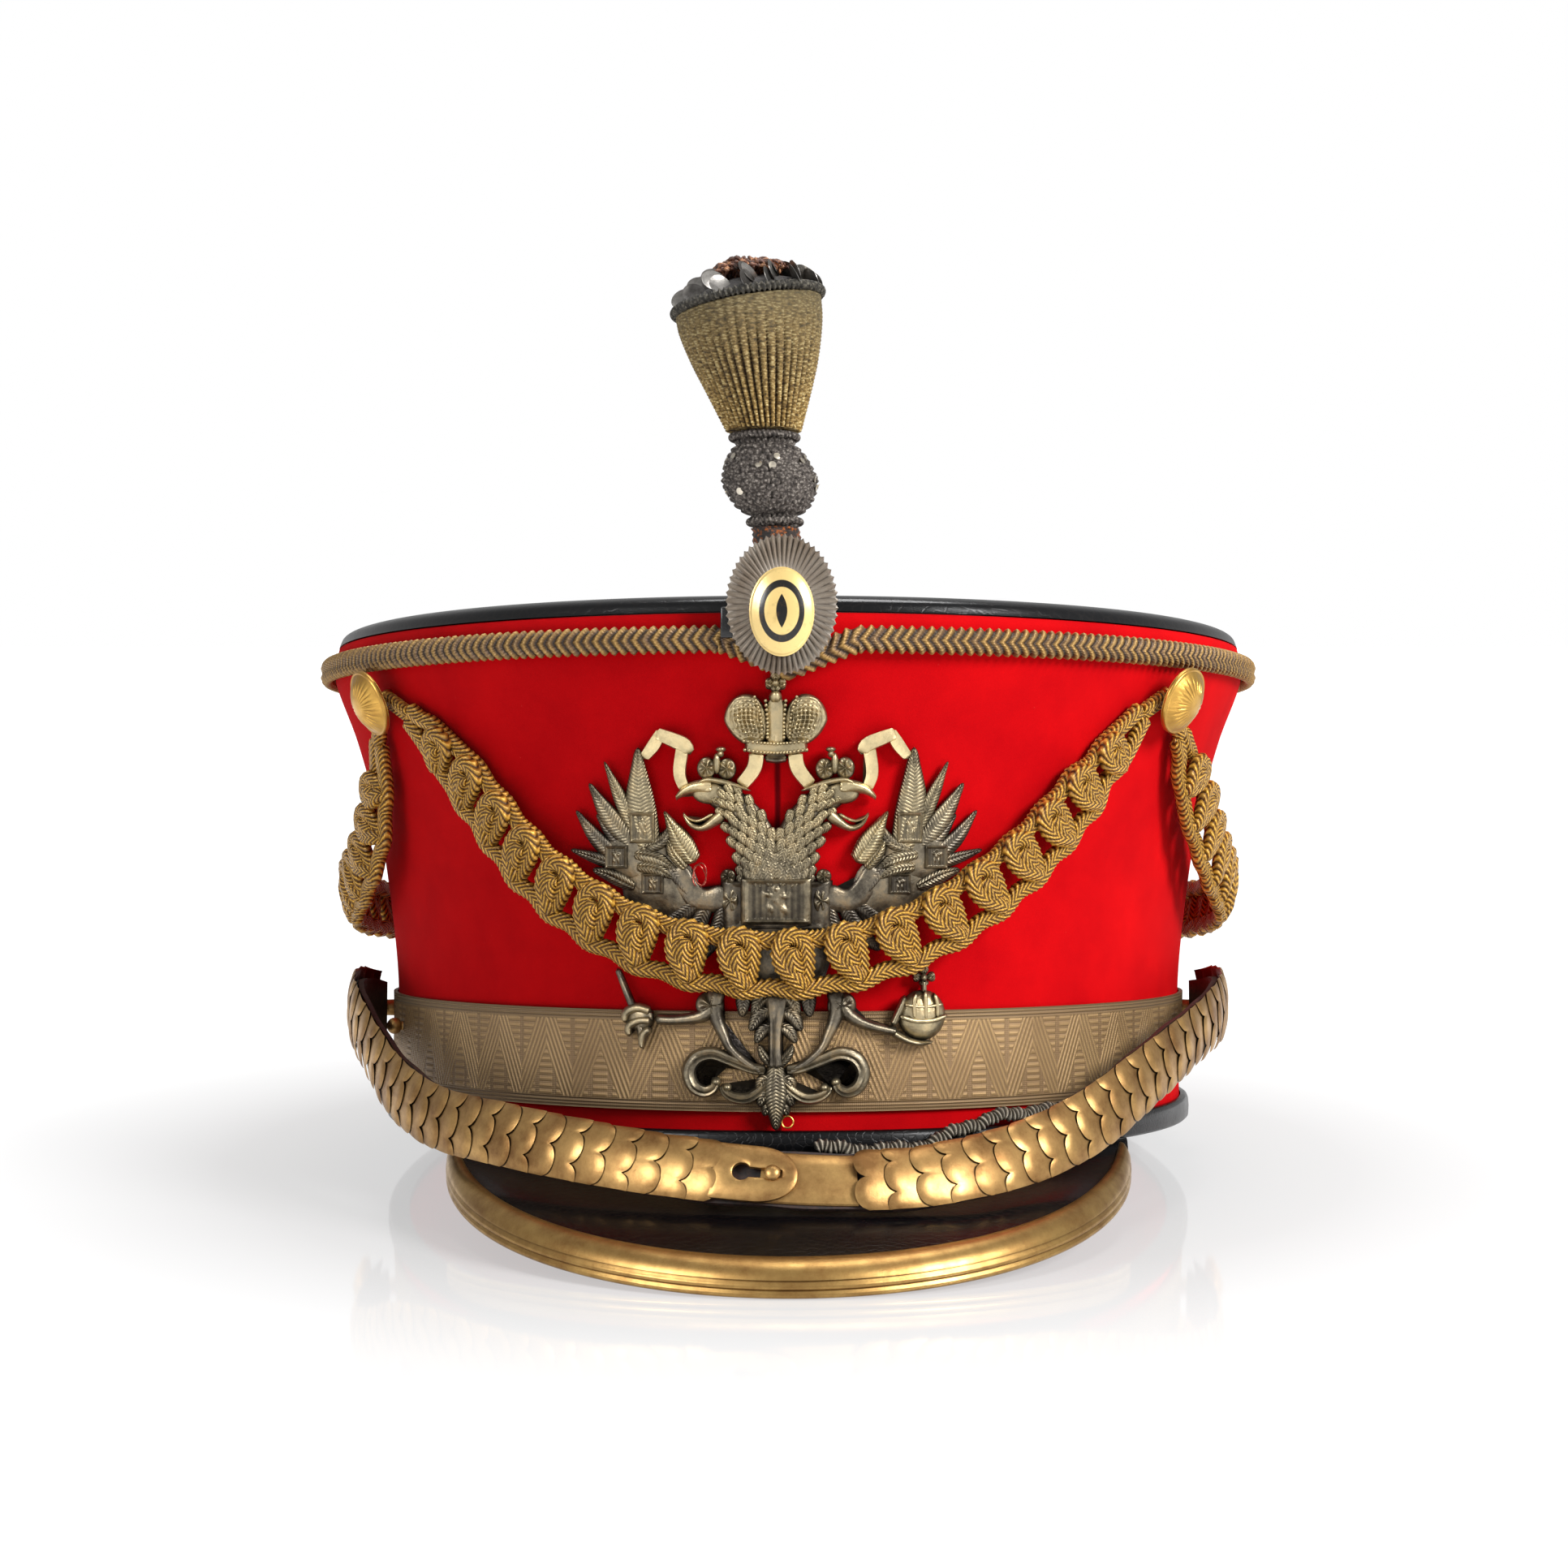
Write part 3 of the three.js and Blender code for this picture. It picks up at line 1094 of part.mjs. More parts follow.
// Cockade: a pleated oval and a domed enamel disc, facing the front
function makeCockade() {
  const steps = 2 * COCKADE_PLEATS;
  const points = [];
  const triangles = [];
  const ring = (share, depthAt) => {
    for (let i = 0; i < steps; i += 1) {
      const turn = (2 * Math.PI * i) / steps;
      const x = share * COCKADE_HALF_WIDTH * Math.sin(turn);
      const z = share * COCKADE_HALF_HEIGHT * Math.cos(turn);
      points.push(new THREE.Vector3(x, -depthAt(i), z));
    }
  };
  ring(COCKADE_PLEAT_START, () => COCKADE_THICKNESS);
  ring(1, (i) => (i % 2 === 0 ? COCKADE_THICKNESS : COCKADE_THICKNESS - COCKADE_PLEAT_DEPTH));
  ring(1, () => 0);
  for (let i = 0; i < steps; i += 1) {
    const k = (i + 1) % steps;
    for (const row of [0, 1]) {
      triangles.push([row * steps + i, row * steps + k, (row + 1) * steps + k]);
      triangles.push([row * steps + i, (row + 1) * steps + k, (row + 1) * steps + i]);
    }
    triangles.push([i, points.length, k], [2 * steps + i, 2 * steps + k, points.length + 1]);
  }
  points.push(new THREE.Vector3(0, -COCKADE_THICKNESS, 0), new THREE.Vector3(0, 0, 0));
  const rays = node("cockade_rays", "cockade", closedGeometry(points, triangles));
  const dome = weld(latheAlongZ([
    [0, 0], [1, 0], [1, 0.3 * COCKADE_DISC_DOME], [0.7, 0.8 * COCKADE_DISC_DOME], [0, COCKADE_DISC_DOME],
  ], 16));
  dome.rotateX(Math.PI / 2).scale(COCKADE_DISC_HALF_WIDTH, 1, COCKADE_DISC_HALF_HEIGHT);
  const disc = node("cockade_disc", "enamel", dome);
  disc.position.y = -COCKADE_THICKNESS - SEAT;
  const cockade = new THREE.Group();
  cockade.add(rays, disc);
  cockade.position.set(COCKADE_SIDE_SHIFT, cockadeBackY(), COCKADE_LEVEL);
  return cockade;
}

// Planes, front to back, of the stack that stands before the crown
function tongueBackY() {
  const cordFront = bodyPoint(0, TOP_CORD_LEVEL, SEAT + TOP_CORD_THICKNESS).y;
  const clothFront = bodyPoint(0, WIDEST_RISE * CLOTH_HEIGHT, 0).y;
  return Math.min(cordFront, clothFront) - SEAT;
}

function cockadeBackY() {
  return tongueBackY() - PLUME_TONGUE_THICKNESS - SEAT;
}

// Small metal clip beside the cockade, over the cord
function makeClip() {
  const width = CLIP_WIDTH;
  const clip = weld(new THREE.BoxGeometry(width, CLIP_THICKNESS, CLIP_HEIGHT));
  clip.translate(0, -0.5 * CLIP_THICKNESS, 0.5 * CLIP_HEIGHT);
  const mesh = node("cord_clip", "lacquer", clip);
  const x = COCKADE_SIDE_SHIFT - COCKADE_HALF_WIDTH + CLIP_SHOWN_SHARE * width;
  const cordFront = bodyPoint(CLIP_ANGLE, TOP_CORD_LEVEL, SEAT + TOP_CORD_THICKNESS).y;
  mesh.position.set(x, cordFront - SEAT, TOP_CORD_LEVEL);
  return mesh;
}

// Plume: a stack along one leaning axis
function makePlume() {
  const plume = new THREE.Group();
  const stack = new THREE.Group();
  const stemFoot = CLOTH_HEIGHT + 2 * SEAT + CROWN_RIM_RISE;
  const tongueBack = tongueBackY();
  const stemY = tongueBack - PLUME_TONGUE_THICKNESS + PLUME_STEM_RADIUS;
  const stem = roundStack(PLUME_STEM.map((row) => ({
    z: row.rise * PLUME_STEM_HEIGHT,
    radius: row.radius * PLUME_STEM_RADIUS,
  })), 12, (radius) => radius);
  const tongueHeight = PLUME_TONGUE_DROP + PLUME_TONGUE_IN_STEM;
  const tongue = new THREE.BoxGeometry(PLUME_TONGUE_WIDTH, PLUME_TONGUE_THICKNESS, tongueHeight);
  const tongueY = 0.5 * PLUME_TONGUE_THICKNESS - PLUME_STEM_RADIUS;
  tongue.translate(0, tongueY, 0.5 * tongueHeight - PLUME_TONGUE_DROP);
  stack.add(node("plume_stem", "stemCloth", joined([leaned(stem), tongue])));
  let height = PLUME_STEM_HEIGHT + SEAT + PLUME_RING_CORD;
  stack.add(leanedNode("plume_ring_low", "darkSilver", ringCord(PLUME_LOW_RING_RADIUS), height));
  height += PLUME_RING_CORD + SEAT;
  const ball = roundStack(PLUME_BALL.map((row) => ({
    z: row.rise * PLUME_BALL_HEIGHT,
    radius: row.radius * PLUME_BALL_RADIUS,
  })), 16, (radius) => radius);
  stack.add(leanedNode("plume_ball", "darkSilver", ball, height));
  height += PLUME_BALL_HEIGHT + SEAT + PLUME_RING_CORD;
  stack.add(leanedNode("plume_ring_high", "darkSilver", ringCord(PLUME_HIGH_RING_RADIUS), height));
  height += PLUME_RING_CORD + SEAT;
  const cupRise = PLUME_CUP_RIM_RADIUS - PLUME_CUP_FOOT_RADIUS;
  const rimTilt = Math.tan(radians(PLUME_RIM_TILT));
  const tilted = (point, from) => {
    const share = THREE.MathUtils.clamp(point.z / from, 0, 1);
    point.z += rimTilt * point.x * share * share;
    return point;
  };
  const cup = roundStack(PLUME_CUP.map((row) => ({
    z: row.rise * PLUME_CUP_HEIGHT,
    radius: PLUME_CUP_FOOT_RADIUS + row.flare * cupRise,
  })), 2 * PLUME_CUP_RIBS, (radius, i) => radius - (i % 2) * 2 * PLUME_RIB_DEPTH);
  const tiltedCup = mappedGeometry(cup, (point) => tilted(point, PLUME_CUP_HEIGHT));
  stack.add(leanedNode("plume_cup", "bullion", tiltedCup, height));
  height += PLUME_CUP_HEIGHT + SEAT;
  const rimTop = 2 * PLUME_RIM_CORD;
  const tuftFoot = rimTop + PLUME_DOME_HEIGHT;
  const rim = [
    { z: 0, radius: PLUME_CUP_RIM_RADIUS - 0.3 * PLUME_RIM_CORD },
    { z: 0.5 * PLUME_RIM_CORD, radius: PLUME_CUP_RIM_RADIUS + 0.5 * PLUME_RIM_CORD },
    { z: rimTop, radius: PLUME_CUP_RIM_RADIUS + 0.2 * PLUME_RIM_CORD },
    { z: rimTop + 0.5 * PLUME_DOME_HEIGHT, radius: 0.57 * (PLUME_CUP_RIM_RADIUS + PLUME_TUFT_RADIUS) },
  ];
  const tuft = PLUME_TUFT.map((row) => ({
    z: tuftFoot + row.rise * PLUME_TUFT_HEIGHT,
    radius: row.radius * PLUME_TUFT_RADIUS,
  }));
  const lobed = (turn) => 1 + PLUME_TUFT_LOBE_DEPTH * Math.cos(PLUME_TUFT_LOBES * turn);
  const top = roundStack([...rim, ...tuft], 16, (radius, i, turn, row) => (
    row < rim.length ? radius : radius * lobed(turn)
  ));
  const tiltedTop = mappedGeometry(top, (point) => point.setZ(point.z + rimTilt * point.x));
  stack.add(leanedNode("plume_top", "darkSilver", tiltedTop, height));
  plume.add(stack);
  plume.position.set(COCKADE_SIDE_SHIFT, stemY, stemFoot);
  return plume;
}

// Closed body of rings, with a flat foot and top
function roundStack(rows, sides, radiusAt) {
  const outline = Array.from({ length: sides }, (_, i) => {
    const turn = (2 * Math.PI * i) / sides;
    return new THREE.Vector2(Math.cos(turn), Math.sin(turn));
  });
  return sweptGeometry(rows.length, outline, (i, j) => {
    const radius = radiusAt(rows[i].radius, j, (2 * Math.PI * j) / sides, i);
    return new THREE.Vector3(radius * outline[j].x, radius * outline[j].y, rows[i].z);
  }, false);
}

function ringCord(radius) {
  return weld(new THREE.TorusGeometry(radius, PLUME_RING_CORD, 5, 14));
}

function leaned(geometry) {
  return mappedGeometry(geometry, (point) => leanShift(point));
}

// The plume leans more the higher it stands
function leanShift(point) {
  point.x -= Math.tan(radians(PLUME_LEAN)) * Math.max(point.z - 0.2 * PLUME_STEM_HEIGHT, 0);
  return point;
}

function leanedNode(name, finish, geometry, height) {
  const lifted = mappedGeometry(geometry, (point) => leanShift(point.setZ(point.z + height)));
  return node(name, finish, lifted);
}

// Distances along the strap's route at which the front pieces meet
const strapRoute = new BodyRoute(STRAP_ROUTE);
const claspTip = 0.5 * strapRoute.length + CLASP_SIDE_SHIFT;
const leftScalesEnd = claspTip - CLASP_LEFT_LENGTH - SEAT;
const rightScalesEnd = claspTip - CLASP_LAP + CLASP_RIGHT_LENGTH + SEAT;

const hat = new THREE.Group();
hat.add(makeBody());
hat.add(makeCrown());
hat.add(makeTopCord());
hat.add(makeLace());
hat.add(makeFootBand());
hat.add(makePeak());
hat.add(makeBinding());
hat.add(makeBadge());
hat.add(makeCockade());
hat.add(makeClip());
hat.add(makePlume());
hat.add(makeButton("button_left", BUTTON_LEFT_ANGLE));
hat.add(makeButton("button_right", BUTTON_RIGHT_ANGLE));
hat.add(makeFestoon("festoon_front", FRONT_FESTOON, FRONT_LOOPS));
hat.add(makeFestoon("festoon_rear", REAR_FESTOON, REAR_LOOPS));
hat.add(makeScaleStrap("chin_scales_left", strapRoute, 0, leftScalesEnd));
hat.add(makeScaleStrap("chin_scales_right", strapRoute, strapRoute.length, rightScalesEnd));
hat.add(...makeClasp(strapRoute, claspTip));
hat.add(makeBoss("strap_boss_left", -1));
hat.add(makeBoss("strap_boss_right", 1));
hat.add(makeBallStud("ball_stud_left", BALL_STUD_LEFT_ANGLE, BALL_STUD_LEFT_LEVEL));
hat.add(makeBallStud("ball_stud_right", BALL_STUD_RIGHT_ANGLE, BALL_STUD_RIGHT_LEVEL));
hat.add(makeWoundCord());

// Corners of every mesh in the hat's own frame
function cornersOf(object) {
  object.updateMatrixWorld(true);
  const corners = [];
  object.traverse((child) => {
    if (child.isMesh) {
      const position = child.geometry.getAttribute("position");
      for (let i = 0; i < position.count; i += 1) {
        corners.push(new THREE.Vector3().fromBufferAttribute(position, i).applyMatrix4(child.matrixWorld));
      }
    }
  });
  return corners;
}

// Tilt at which the peak's edge and the back of the foot band touch one plane
function restTilt(corners) {
  const lowest = (tilt, front) => {
    let low = Infinity;
    for (const corner of corners) {
      if (corner.y < 0 === front) {
        low = Math.min(low, corner.z * Math.cos(tilt) - corner.y * Math.sin(tilt));
      }
    }
    return low;
  };
  let flat = 0;
  let steep = radians(20);
  for (let step = 0; step < 40; step += 1) {
    const middle = 0.5 * (flat + steep);
    if (lowest(middle, true) < lowest(middle, false)) {
      flat = middle;
    } else {
      steep = middle;
    }
  }
  return 0.5 * (flat + steep);
}

// The hat rests on its peak and its back edge, over the middle of its own box
hat.rotation.x = -restTilt(cornersOf(hat));
const group = new THREE.Group();
group.add(hat);
group.updateMatrixWorld(true);
const box = new THREE.Box3().setFromObject(group, true);
hat.position.set(-0.5 * (box.min.x + box.max.x), -0.5 * (box.min.y + box.max.y), -box.min.z);

export default group;
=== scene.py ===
"""Looks of a red cloth shako: felt, lacquer, lace, plaited cords, badge, scales and plume."""

import logging
import math
from collections.abc import Callable, Sequence
from dataclasses import dataclass, field, replace
from enum import Enum

import bmesh
import bpy
import numpy as np
from mathutils import Matrix, Vector, noise

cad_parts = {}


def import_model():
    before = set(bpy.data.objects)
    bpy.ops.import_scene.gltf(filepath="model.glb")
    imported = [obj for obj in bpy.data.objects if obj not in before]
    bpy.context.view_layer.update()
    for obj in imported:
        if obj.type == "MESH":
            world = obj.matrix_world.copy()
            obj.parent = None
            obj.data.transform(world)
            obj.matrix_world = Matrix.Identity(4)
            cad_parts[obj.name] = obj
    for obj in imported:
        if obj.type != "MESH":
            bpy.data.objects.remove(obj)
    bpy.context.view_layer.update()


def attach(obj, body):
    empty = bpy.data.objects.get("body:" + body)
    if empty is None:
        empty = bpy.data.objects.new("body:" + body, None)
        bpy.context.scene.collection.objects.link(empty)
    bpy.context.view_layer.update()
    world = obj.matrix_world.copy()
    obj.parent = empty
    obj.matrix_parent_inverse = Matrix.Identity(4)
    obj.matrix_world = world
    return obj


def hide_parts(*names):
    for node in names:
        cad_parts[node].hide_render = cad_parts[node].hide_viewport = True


LOG = logging.getLogger("shako")

REST_TILT = 0.08436270482289887
REST_SHIFT = (0.0, 8.22333205564695, 10.888083335052935)
HAT_TO_ROW = (
    Matrix.Scale(0.001, 4) @ Matrix.Translation(REST_SHIFT) @ Matrix.Rotation(-REST_TILT, 4, "X")
)
CAD_CLEAR = 0.3

Array = np.ndarray
Place = Callable[[Array, Array], Array]
Tint = tuple[float, ...]


class Slot(Enum):
    """Names of the material slots."""

    CLOTH = "red_cloth"
    LACQUER = "crown_lacquer"
    TOP_CORD = "top_cord"
    LACE = "lace"
    LEATHER = "black_leather"
    GILT = "gilt_brass"
    BADGE = "badge_metal"
    COCKADE = "cockade_metal"
    ENAMEL = "cockade_enamel"
    CLIP = "black_clip"
    STEM = "stem_cloth"
    YARN = "dark_silver_yarn"
    BULLION = "bullion"
    CORD = "gold_cord"
    SCALES = "scale_brass"
    WOUND = "grey_wound_cord"


def colour(*parts: float) -> Tint:
    """Linear colour of an sRGB one whose red, green and blue are given in 0 to 255."""
    linear = (((c / 255 + 0.055) / 1.055) ** 2.4 if c > 10 else c / 255 / 12.92 for c in parts)
    return (*linear, 1.0)


def unit(vectors: Array) -> Array:
    """Vectors at length one."""
    return vectors / np.maximum(np.linalg.norm(vectors, axis=-1, keepdims=True), 1e-9)


class SmoothTable:
    """One column of a table, on a smooth curve through its rows."""

    STEPS = 24

    def __init__(self, keys: Sequence[float], values: Sequence[float]) -> None:
        """Samples the curve.

        Args:
            keys: rising key of each row.
            values: value of each row.
        """
        key = np.asarray(keys, float)
        value = np.asarray(values, float)
        last = len(key) - 1
        before = np.maximum(np.arange(last + 1) - 1, 0)
        after = np.minimum(np.arange(last + 1) + 1, last)
        slope = (value[after] - value[before]) / (key[after] - key[before])
        place = np.linspace(0, last, last * self.STEPS + 1)
        low = np.minimum(place.astype(int), last - 1)
        t = place - low
        span = key[low + 1] - key[low]
        rise = (3 - 2 * t) * t * t
        bend = ((t - 2) * t + 1) * t * span * slope[low] + (t - 1) * t * t * span * slope[low + 1]
        self.keys = key[low] + t * span
        self.values = value[low] + (value[low + 1] - value[low]) * rise + bend

    def __call__(self, at: Array) -> Array:
        """Value at each key."""
        return np.interp(at, self.keys, self.values)


@dataclass(frozen=True)
class BodyShape:
    """Outer face of the cloth in the hat's own frame, in millimetres, front along -Y."""

    base_half_width: float = 85.3
    depth_over_width: float = 16.0
    top_flare: float = 13.5
    height: float = 97.6
    rises: tuple[float, ...] = (0, 0.26, 0.461, 0.635, 0.8, 0.922, 0.958, 1)
    flares: tuple[float, ...] = (0, -0.02, 0.12, 0.325, 0.645, 0.975, 1, 0.94)

    def half_width(self, z: Array) -> Array:
        """Half-width at a height above the base."""
        share = np.clip(np.asarray(z, float) / self.height, 0, 1)
        return self.base_half_width + self.top_flare * SmoothTable(self.rises, self.flares)(share)

    def flat_normal(self, angle: Array, z: Array) -> Array:
        """Level outward direction at an angle in degrees from the front."""
        turn = np.radians(angle)
        width = self.half_width(z)
        across = np.sin(turn) / width
        return unit(np.stack([across, -np.cos(turn) / (width + self.depth_over_width), across * 0], -1))

    def point(self, angle: Array, z: Array, standoff: Array) -> Array:
        """Point that stands off the cloth."""
        angle, z, standoff = np.broadcast_arrays(np.asarray(angle, float), z, standoff)
        turn = np.radians(angle)
        width = self.half_width(z)
        depth = width + self.depth_over_width
        on_cloth = np.stack([width * np.sin(turn), -depth * np.cos(turn), z], -1)
        return on_cloth + self.flat_normal(angle, z) * standoff[..., None]

    def normal(self, angle: Array, z: Array) -> Array:
        """Outward direction of the cloth, which faces down where the body flares."""
        step = 0.01 * self.height
        slope = (self.half_width(z + step) - self.half_width(z - step)) / (2 * step)
        lean = np.stack([slope * 0, slope * 0, -slope], -1)
        return unit(self.flat_normal(angle, z) + lean)


BODY = BodyShape()


class Route:
    """Line along the body with a frame: along it, up across its face, and out of it."""

    SAMPLES = 40

    def __init__(self, rows: Sequence[Sequence[float]]) -> None:
        """Samples the line.

        Args:
            rows: angle, rise as a share of the body's height, standoff, and lean in degrees.
        """
        table = np.array([list(row) + [0.0] * (4 - len(row)) for row in rows], float)
        index = np.arange(len(table), dtype=float)
        at = np.linspace(0, index[-1], int(index[-1]) * self.SAMPLES + 1)
        angle, rise, standoff, lean = (SmoothTable(index, table[:, column])(at) for column in range(4))
        height = rise * BODY.height
        self.place = BODY.point(angle, height, standoff)
        self.tangent = unit(np.gradient(self.place, axis=0))
        turn = np.radians(lean)[:, None]
        face = BODY.normal(angle, height) * np.cos(turn) + np.array([0, 0, 1]) * np.sin(turn)
        self.side = unit(np.cross(face, self.tangent))
        self.face = unit(np.cross(self.tangent, self.side))
        steps = np.linalg.norm(np.diff(self.place, axis=0), axis=1)
        self.along = np.concatenate([[0], np.cumsum(steps)])
        self.length = float(self.along[-1])

    def _sample(self, values: Array, along: Array) -> Array:
        """Sampled vectors at distances along the line."""
        return np.stack([np.interp(along, self.along, values[:, axis]) for axis in range(3)], -1)

    def point(self, along: Array, across: Array, out: Array) -> Array:
        """Points at distances along, across and out."""
        along, across, out = np.broadcast_arrays(np.asarray(along, float), across, out)
        side = self._sample(self.side, along) * across[..., None]
        return self._sample(self.place, along) + side + self.outward(along) * out[..., None]

    def outward(self, along: Array) -> Array:
        """Outward direction at distances along the line."""
        return unit(self._sample(self.face, along))


class Value:
    """Number, colour or place that a node gives, with sums that add nodes."""

    def __init__(self, paint: "Paint", socket: bpy.types.NodeSocket) -> None:
        """Holds an output of one of the paint's nodes."""
        self.paint = paint
        self.socket = socket

    def __add__(self, other: object) -> "Value":
        """Sum."""
        return self.paint.math("ADD", self, other)

    def __sub__(self, other: object) -> "Value":
        """Difference."""
        return self.paint.math("SUBTRACT", self, other)

    def __rsub__(self, other: object) -> "Value":
        """Difference from a number."""
        return self.paint.math("SUBTRACT", other, self)

    def __mul__(self, other: object) -> "Value":
        """Product."""
        return self.paint.math("MULTIPLY", self, other)

    def __truediv__(self, other: object) -> "Value":
        """Quotient."""
        return self.paint.math("DIVIDE", self, other)

    def __abs__(self) -> "Value":
        """Size without its sign."""
        return self.paint.math("ABSOLUTE", self)


class Paint:
    """Nodes of one material, added in order."""

    def __init__(self, name: str) -> None:
        """Starts a material with its shader."""
        self.material = bpy.data.materials.new(name)
        self.material.use_nodes = True
        self.tree = self.material.node_tree
        self.places = self.tree.nodes.new("ShaderNodeTexCoord")

    def put(self, node: bpy.types.Node, inputs: dict) -> None:
        """Sets inputs of a node.

        Args:
            node: the node.
            inputs: values or outputs of other nodes, by input name or number.
        """
        for key, value in inputs.items():
            if isinstance(value, Value):
                self.tree.links.new(value.socket, node.inputs[key])
            else:
                node.inputs[key].default_value = value

    def add(self, kind: str, inputs: dict | None = None, output: int | str = 0, **settings: object) -> Value:
        """Adds a node.

        Args:
            kind: node type without its prefix.
            inputs: values by input name or number.
            output: name or number of the output that is wanted.
            settings: node settings.

        Returns:
            The output.
        """
        node = self.tree.nodes.new("ShaderNode" + kind)
        for key, value in settings.items():
            setattr(node, key, value)
        self.put(node, inputs or {})
        return Value(self, node.outputs[output])

    def math(self, kind: str, first: object, second: object = 0.0) -> Value:
        """Result of a sum."""
        return self.add("Math", {0: first, 1: second}, operation=kind)

    def object_place(self, scale: Sequence[float] = (1000, 1000, 1000)) -> Value:
        """Place on the object in millimetres, or at another scale."""
        place = Value(self, self.places.outputs["Object"])
        return self.add("Mapping", {"Vector": place, "Scale": scale})

    def map_place(self) -> Value:
        """Place on the piece's own map."""
        return Value(self, self.places.outputs["UV"])

    def split(self, place: Value) -> list[Value]:
        """The three parts of a place."""
        node = self.add("SeparateXYZ", {0: place}).socket.node
        return [Value(self, output) for output in node.outputs]

    def attribute(self, name: str) -> Value:
        """A mark that is laid on the mesh."""
        return self.add("Attribute", None, "Fac", attribute_name=name)

    def noise(self, place: Value, scale: float, detail: float = 4, rough: float = 0.6) -> Value:
        """Cloudy pattern at a scale."""
        return self.add("TexNoise", {"Vector": place, "Scale": scale, "Detail": detail, "Roughness": rough})

    def cells(self, place: Value, scale: float, feature: str = "F1") -> Value:
        """Cell pattern at a scale."""
        return self.add("TexVoronoi", {"Vector": place, "Scale": scale}, "Distance", feature=feature)

    def wave(self, phase: Value) -> Value:
        """Wave from 0 to 1, once for each whole number of the phase."""
        return self.math("COSINE", phase * (2 * math.pi)) * 0.5 + 0.5

    def ramp(self, share: Value, *stops: tuple[float, Sequence[float]]) -> Value:
        """Colour of a share.

        Args:
            share: the share.
            stops: place and colour of each stop.

        Returns:
            The colour.
        """
        colours = self.add("ValToRGB", {0: share})
        points = colours.socket.node.color_ramp.elements
        while len(points) < len(stops):
            points.new(0.5)
        for point, (place, tint) in zip(points, stops, strict=True):
            point.position = place
            point.color = tint
        return colours

    def grey(self, share: Value, *stops: tuple[float, float]) -> Value:
        """Grey value of a share, through stops of place and value."""
        return self.ramp(share, *((place, (value, value, value, 1)) for place, value in stops))

    def mix(self, share: object, first: object, second: object, kind: str = "MIX") -> Value:
        """Mix of two colours."""
        return self.add("Mix", {0: share, 6: first, 7: second}, 2, data_type="RGBA", blend_type=kind)

    def done(
        self, tint: object, rough: object, metal: float, height: Value | None = None, depth: float = 0.0,
        strength: float = 0.0, **sockets: object,
    ) -> bpy.types.Material:
        """Sets the shader.

        Args:
            tint: colour.
            rough: roughness.
            metal: metalness.
            height: relief in the shading.
            depth: the relief's depth in millimetres.
            strength: the relief's strength.
            sockets: more shader inputs, with _ for a space.

        Returns:
            The material.
        """
        values = {"Base Color": tint, "Roughness": rough, "Metallic": metal}
        values |= {key.replace("_", " "): value for key, value in sockets.items()}
        if height is not None:
            inputs = {"Height": height, "Distance": depth / 1000, "Strength": strength}
            values["Normal"] = self.add("Bump", inputs)
        self.put(self.tree.nodes["Principled BSDF"], values)
        return self.material


@dataclass(frozen=True)
class FeltFinish:
    """Dense red wool felt with a fine nap, lint and a sewn centre seam."""

    dark: Tint = colour(166, 0, 8)
    light: Tint = colour(200, 6, 12)
    seam: Tint = colour(90, 0, 6)
    lint: Tint = colour(205, 80, 70)
    sheen: Tint = colour(255, 90, 80)
    seam_x: float = -2.1

    def material(self) -> bpy.types.Material:
        """The finish as a material."""
        paint = Paint("red_felt")
        place = paint.object_place()
        clouds = paint.noise(place, 0.05, 5)
        nap = paint.noise(place, 3.2, 6, 0.8)
        x, y, _ = paint.split(place)
        seam = paint.grey(abs(x - self.seam_x), (0.0, 0.0), (0.32, 0.1), (0.75, 1.0))
        groove = paint.math("MAXIMUM", seam, 1.0 - paint.math("LESS_THAN", y, 0.0))
        base = paint.ramp(clouds * 0.7 + nap * 0.3, (0.3, self.dark), (0.7, self.light))
        lint = paint.grey(paint.cells(place, 0.22), (0.0, 1.0), (0.035, 0.0))
        tint = paint.mix(lint * 0.35, paint.mix(groove, self.seam, base), self.lint)
        sheen = {"Sheen_Weight": 0.03, "Sheen_Roughness": 0.5, "Sheen_Tint": self.sheen}
        return paint.done(tint, 0.92, 0.0, nap * 0.25 + groove, 0.35, 0.7, **sheen, Specular_IOR_Level=0.05)


@dataclass(frozen=True)
class LacquerFinish:
    """Black lacquer or polished leather, with crackle, scuffs and brown chips."""

    name: str
    gloss: float = 0.16
    crackle: float = 0.35
    cell: float = 0.42
    chips: float = 0.0
    shine: float = 0.5
    black: Tint = colour(6, 6, 8)
    crack: Tint = colour(17, 14, 14)
    chip: Tint = colour(72, 38, 22)

    def material(self) -> bpy.types.Material:
        """The finish as a material."""
        paint = Paint(self.name)
        place = paint.object_place()
        swirl = paint.add("TexNoise", {"Vector": place, "Scale": 0.2}, 1)
        edges = paint.cells(paint.mix(0.35, place, swirl, "ADD"), self.cell, "DISTANCE_TO_EDGE")
        cracks = paint.grey(edges, (0.0, 0.0), (0.07, 1.0))
        chipped = paint.noise(place, 0.09, 8, 0.75)
        chip = paint.grey(chipped, (0.70 - self.chips, 0.0), (0.72 - self.chips, 1.0))
        tint = paint.mix(chip * 0.8, paint.mix(cracks, self.crack, self.black), self.chip)
        rough = paint.noise(place, 0.12, 6, 0.7) * 0.22 + self.gloss
        height = cracks * self.crackle + paint.noise(place, 1.6, 6, 0.7) * 0.4
        coat = {"Coat_Weight": 0.7 * self.shine, "Coat_Roughness": 0.12}
        return paint.done(tint, rough, 0.0, height, 0.12, 0.55, **coat, Specular_IOR_Level=self.shine)


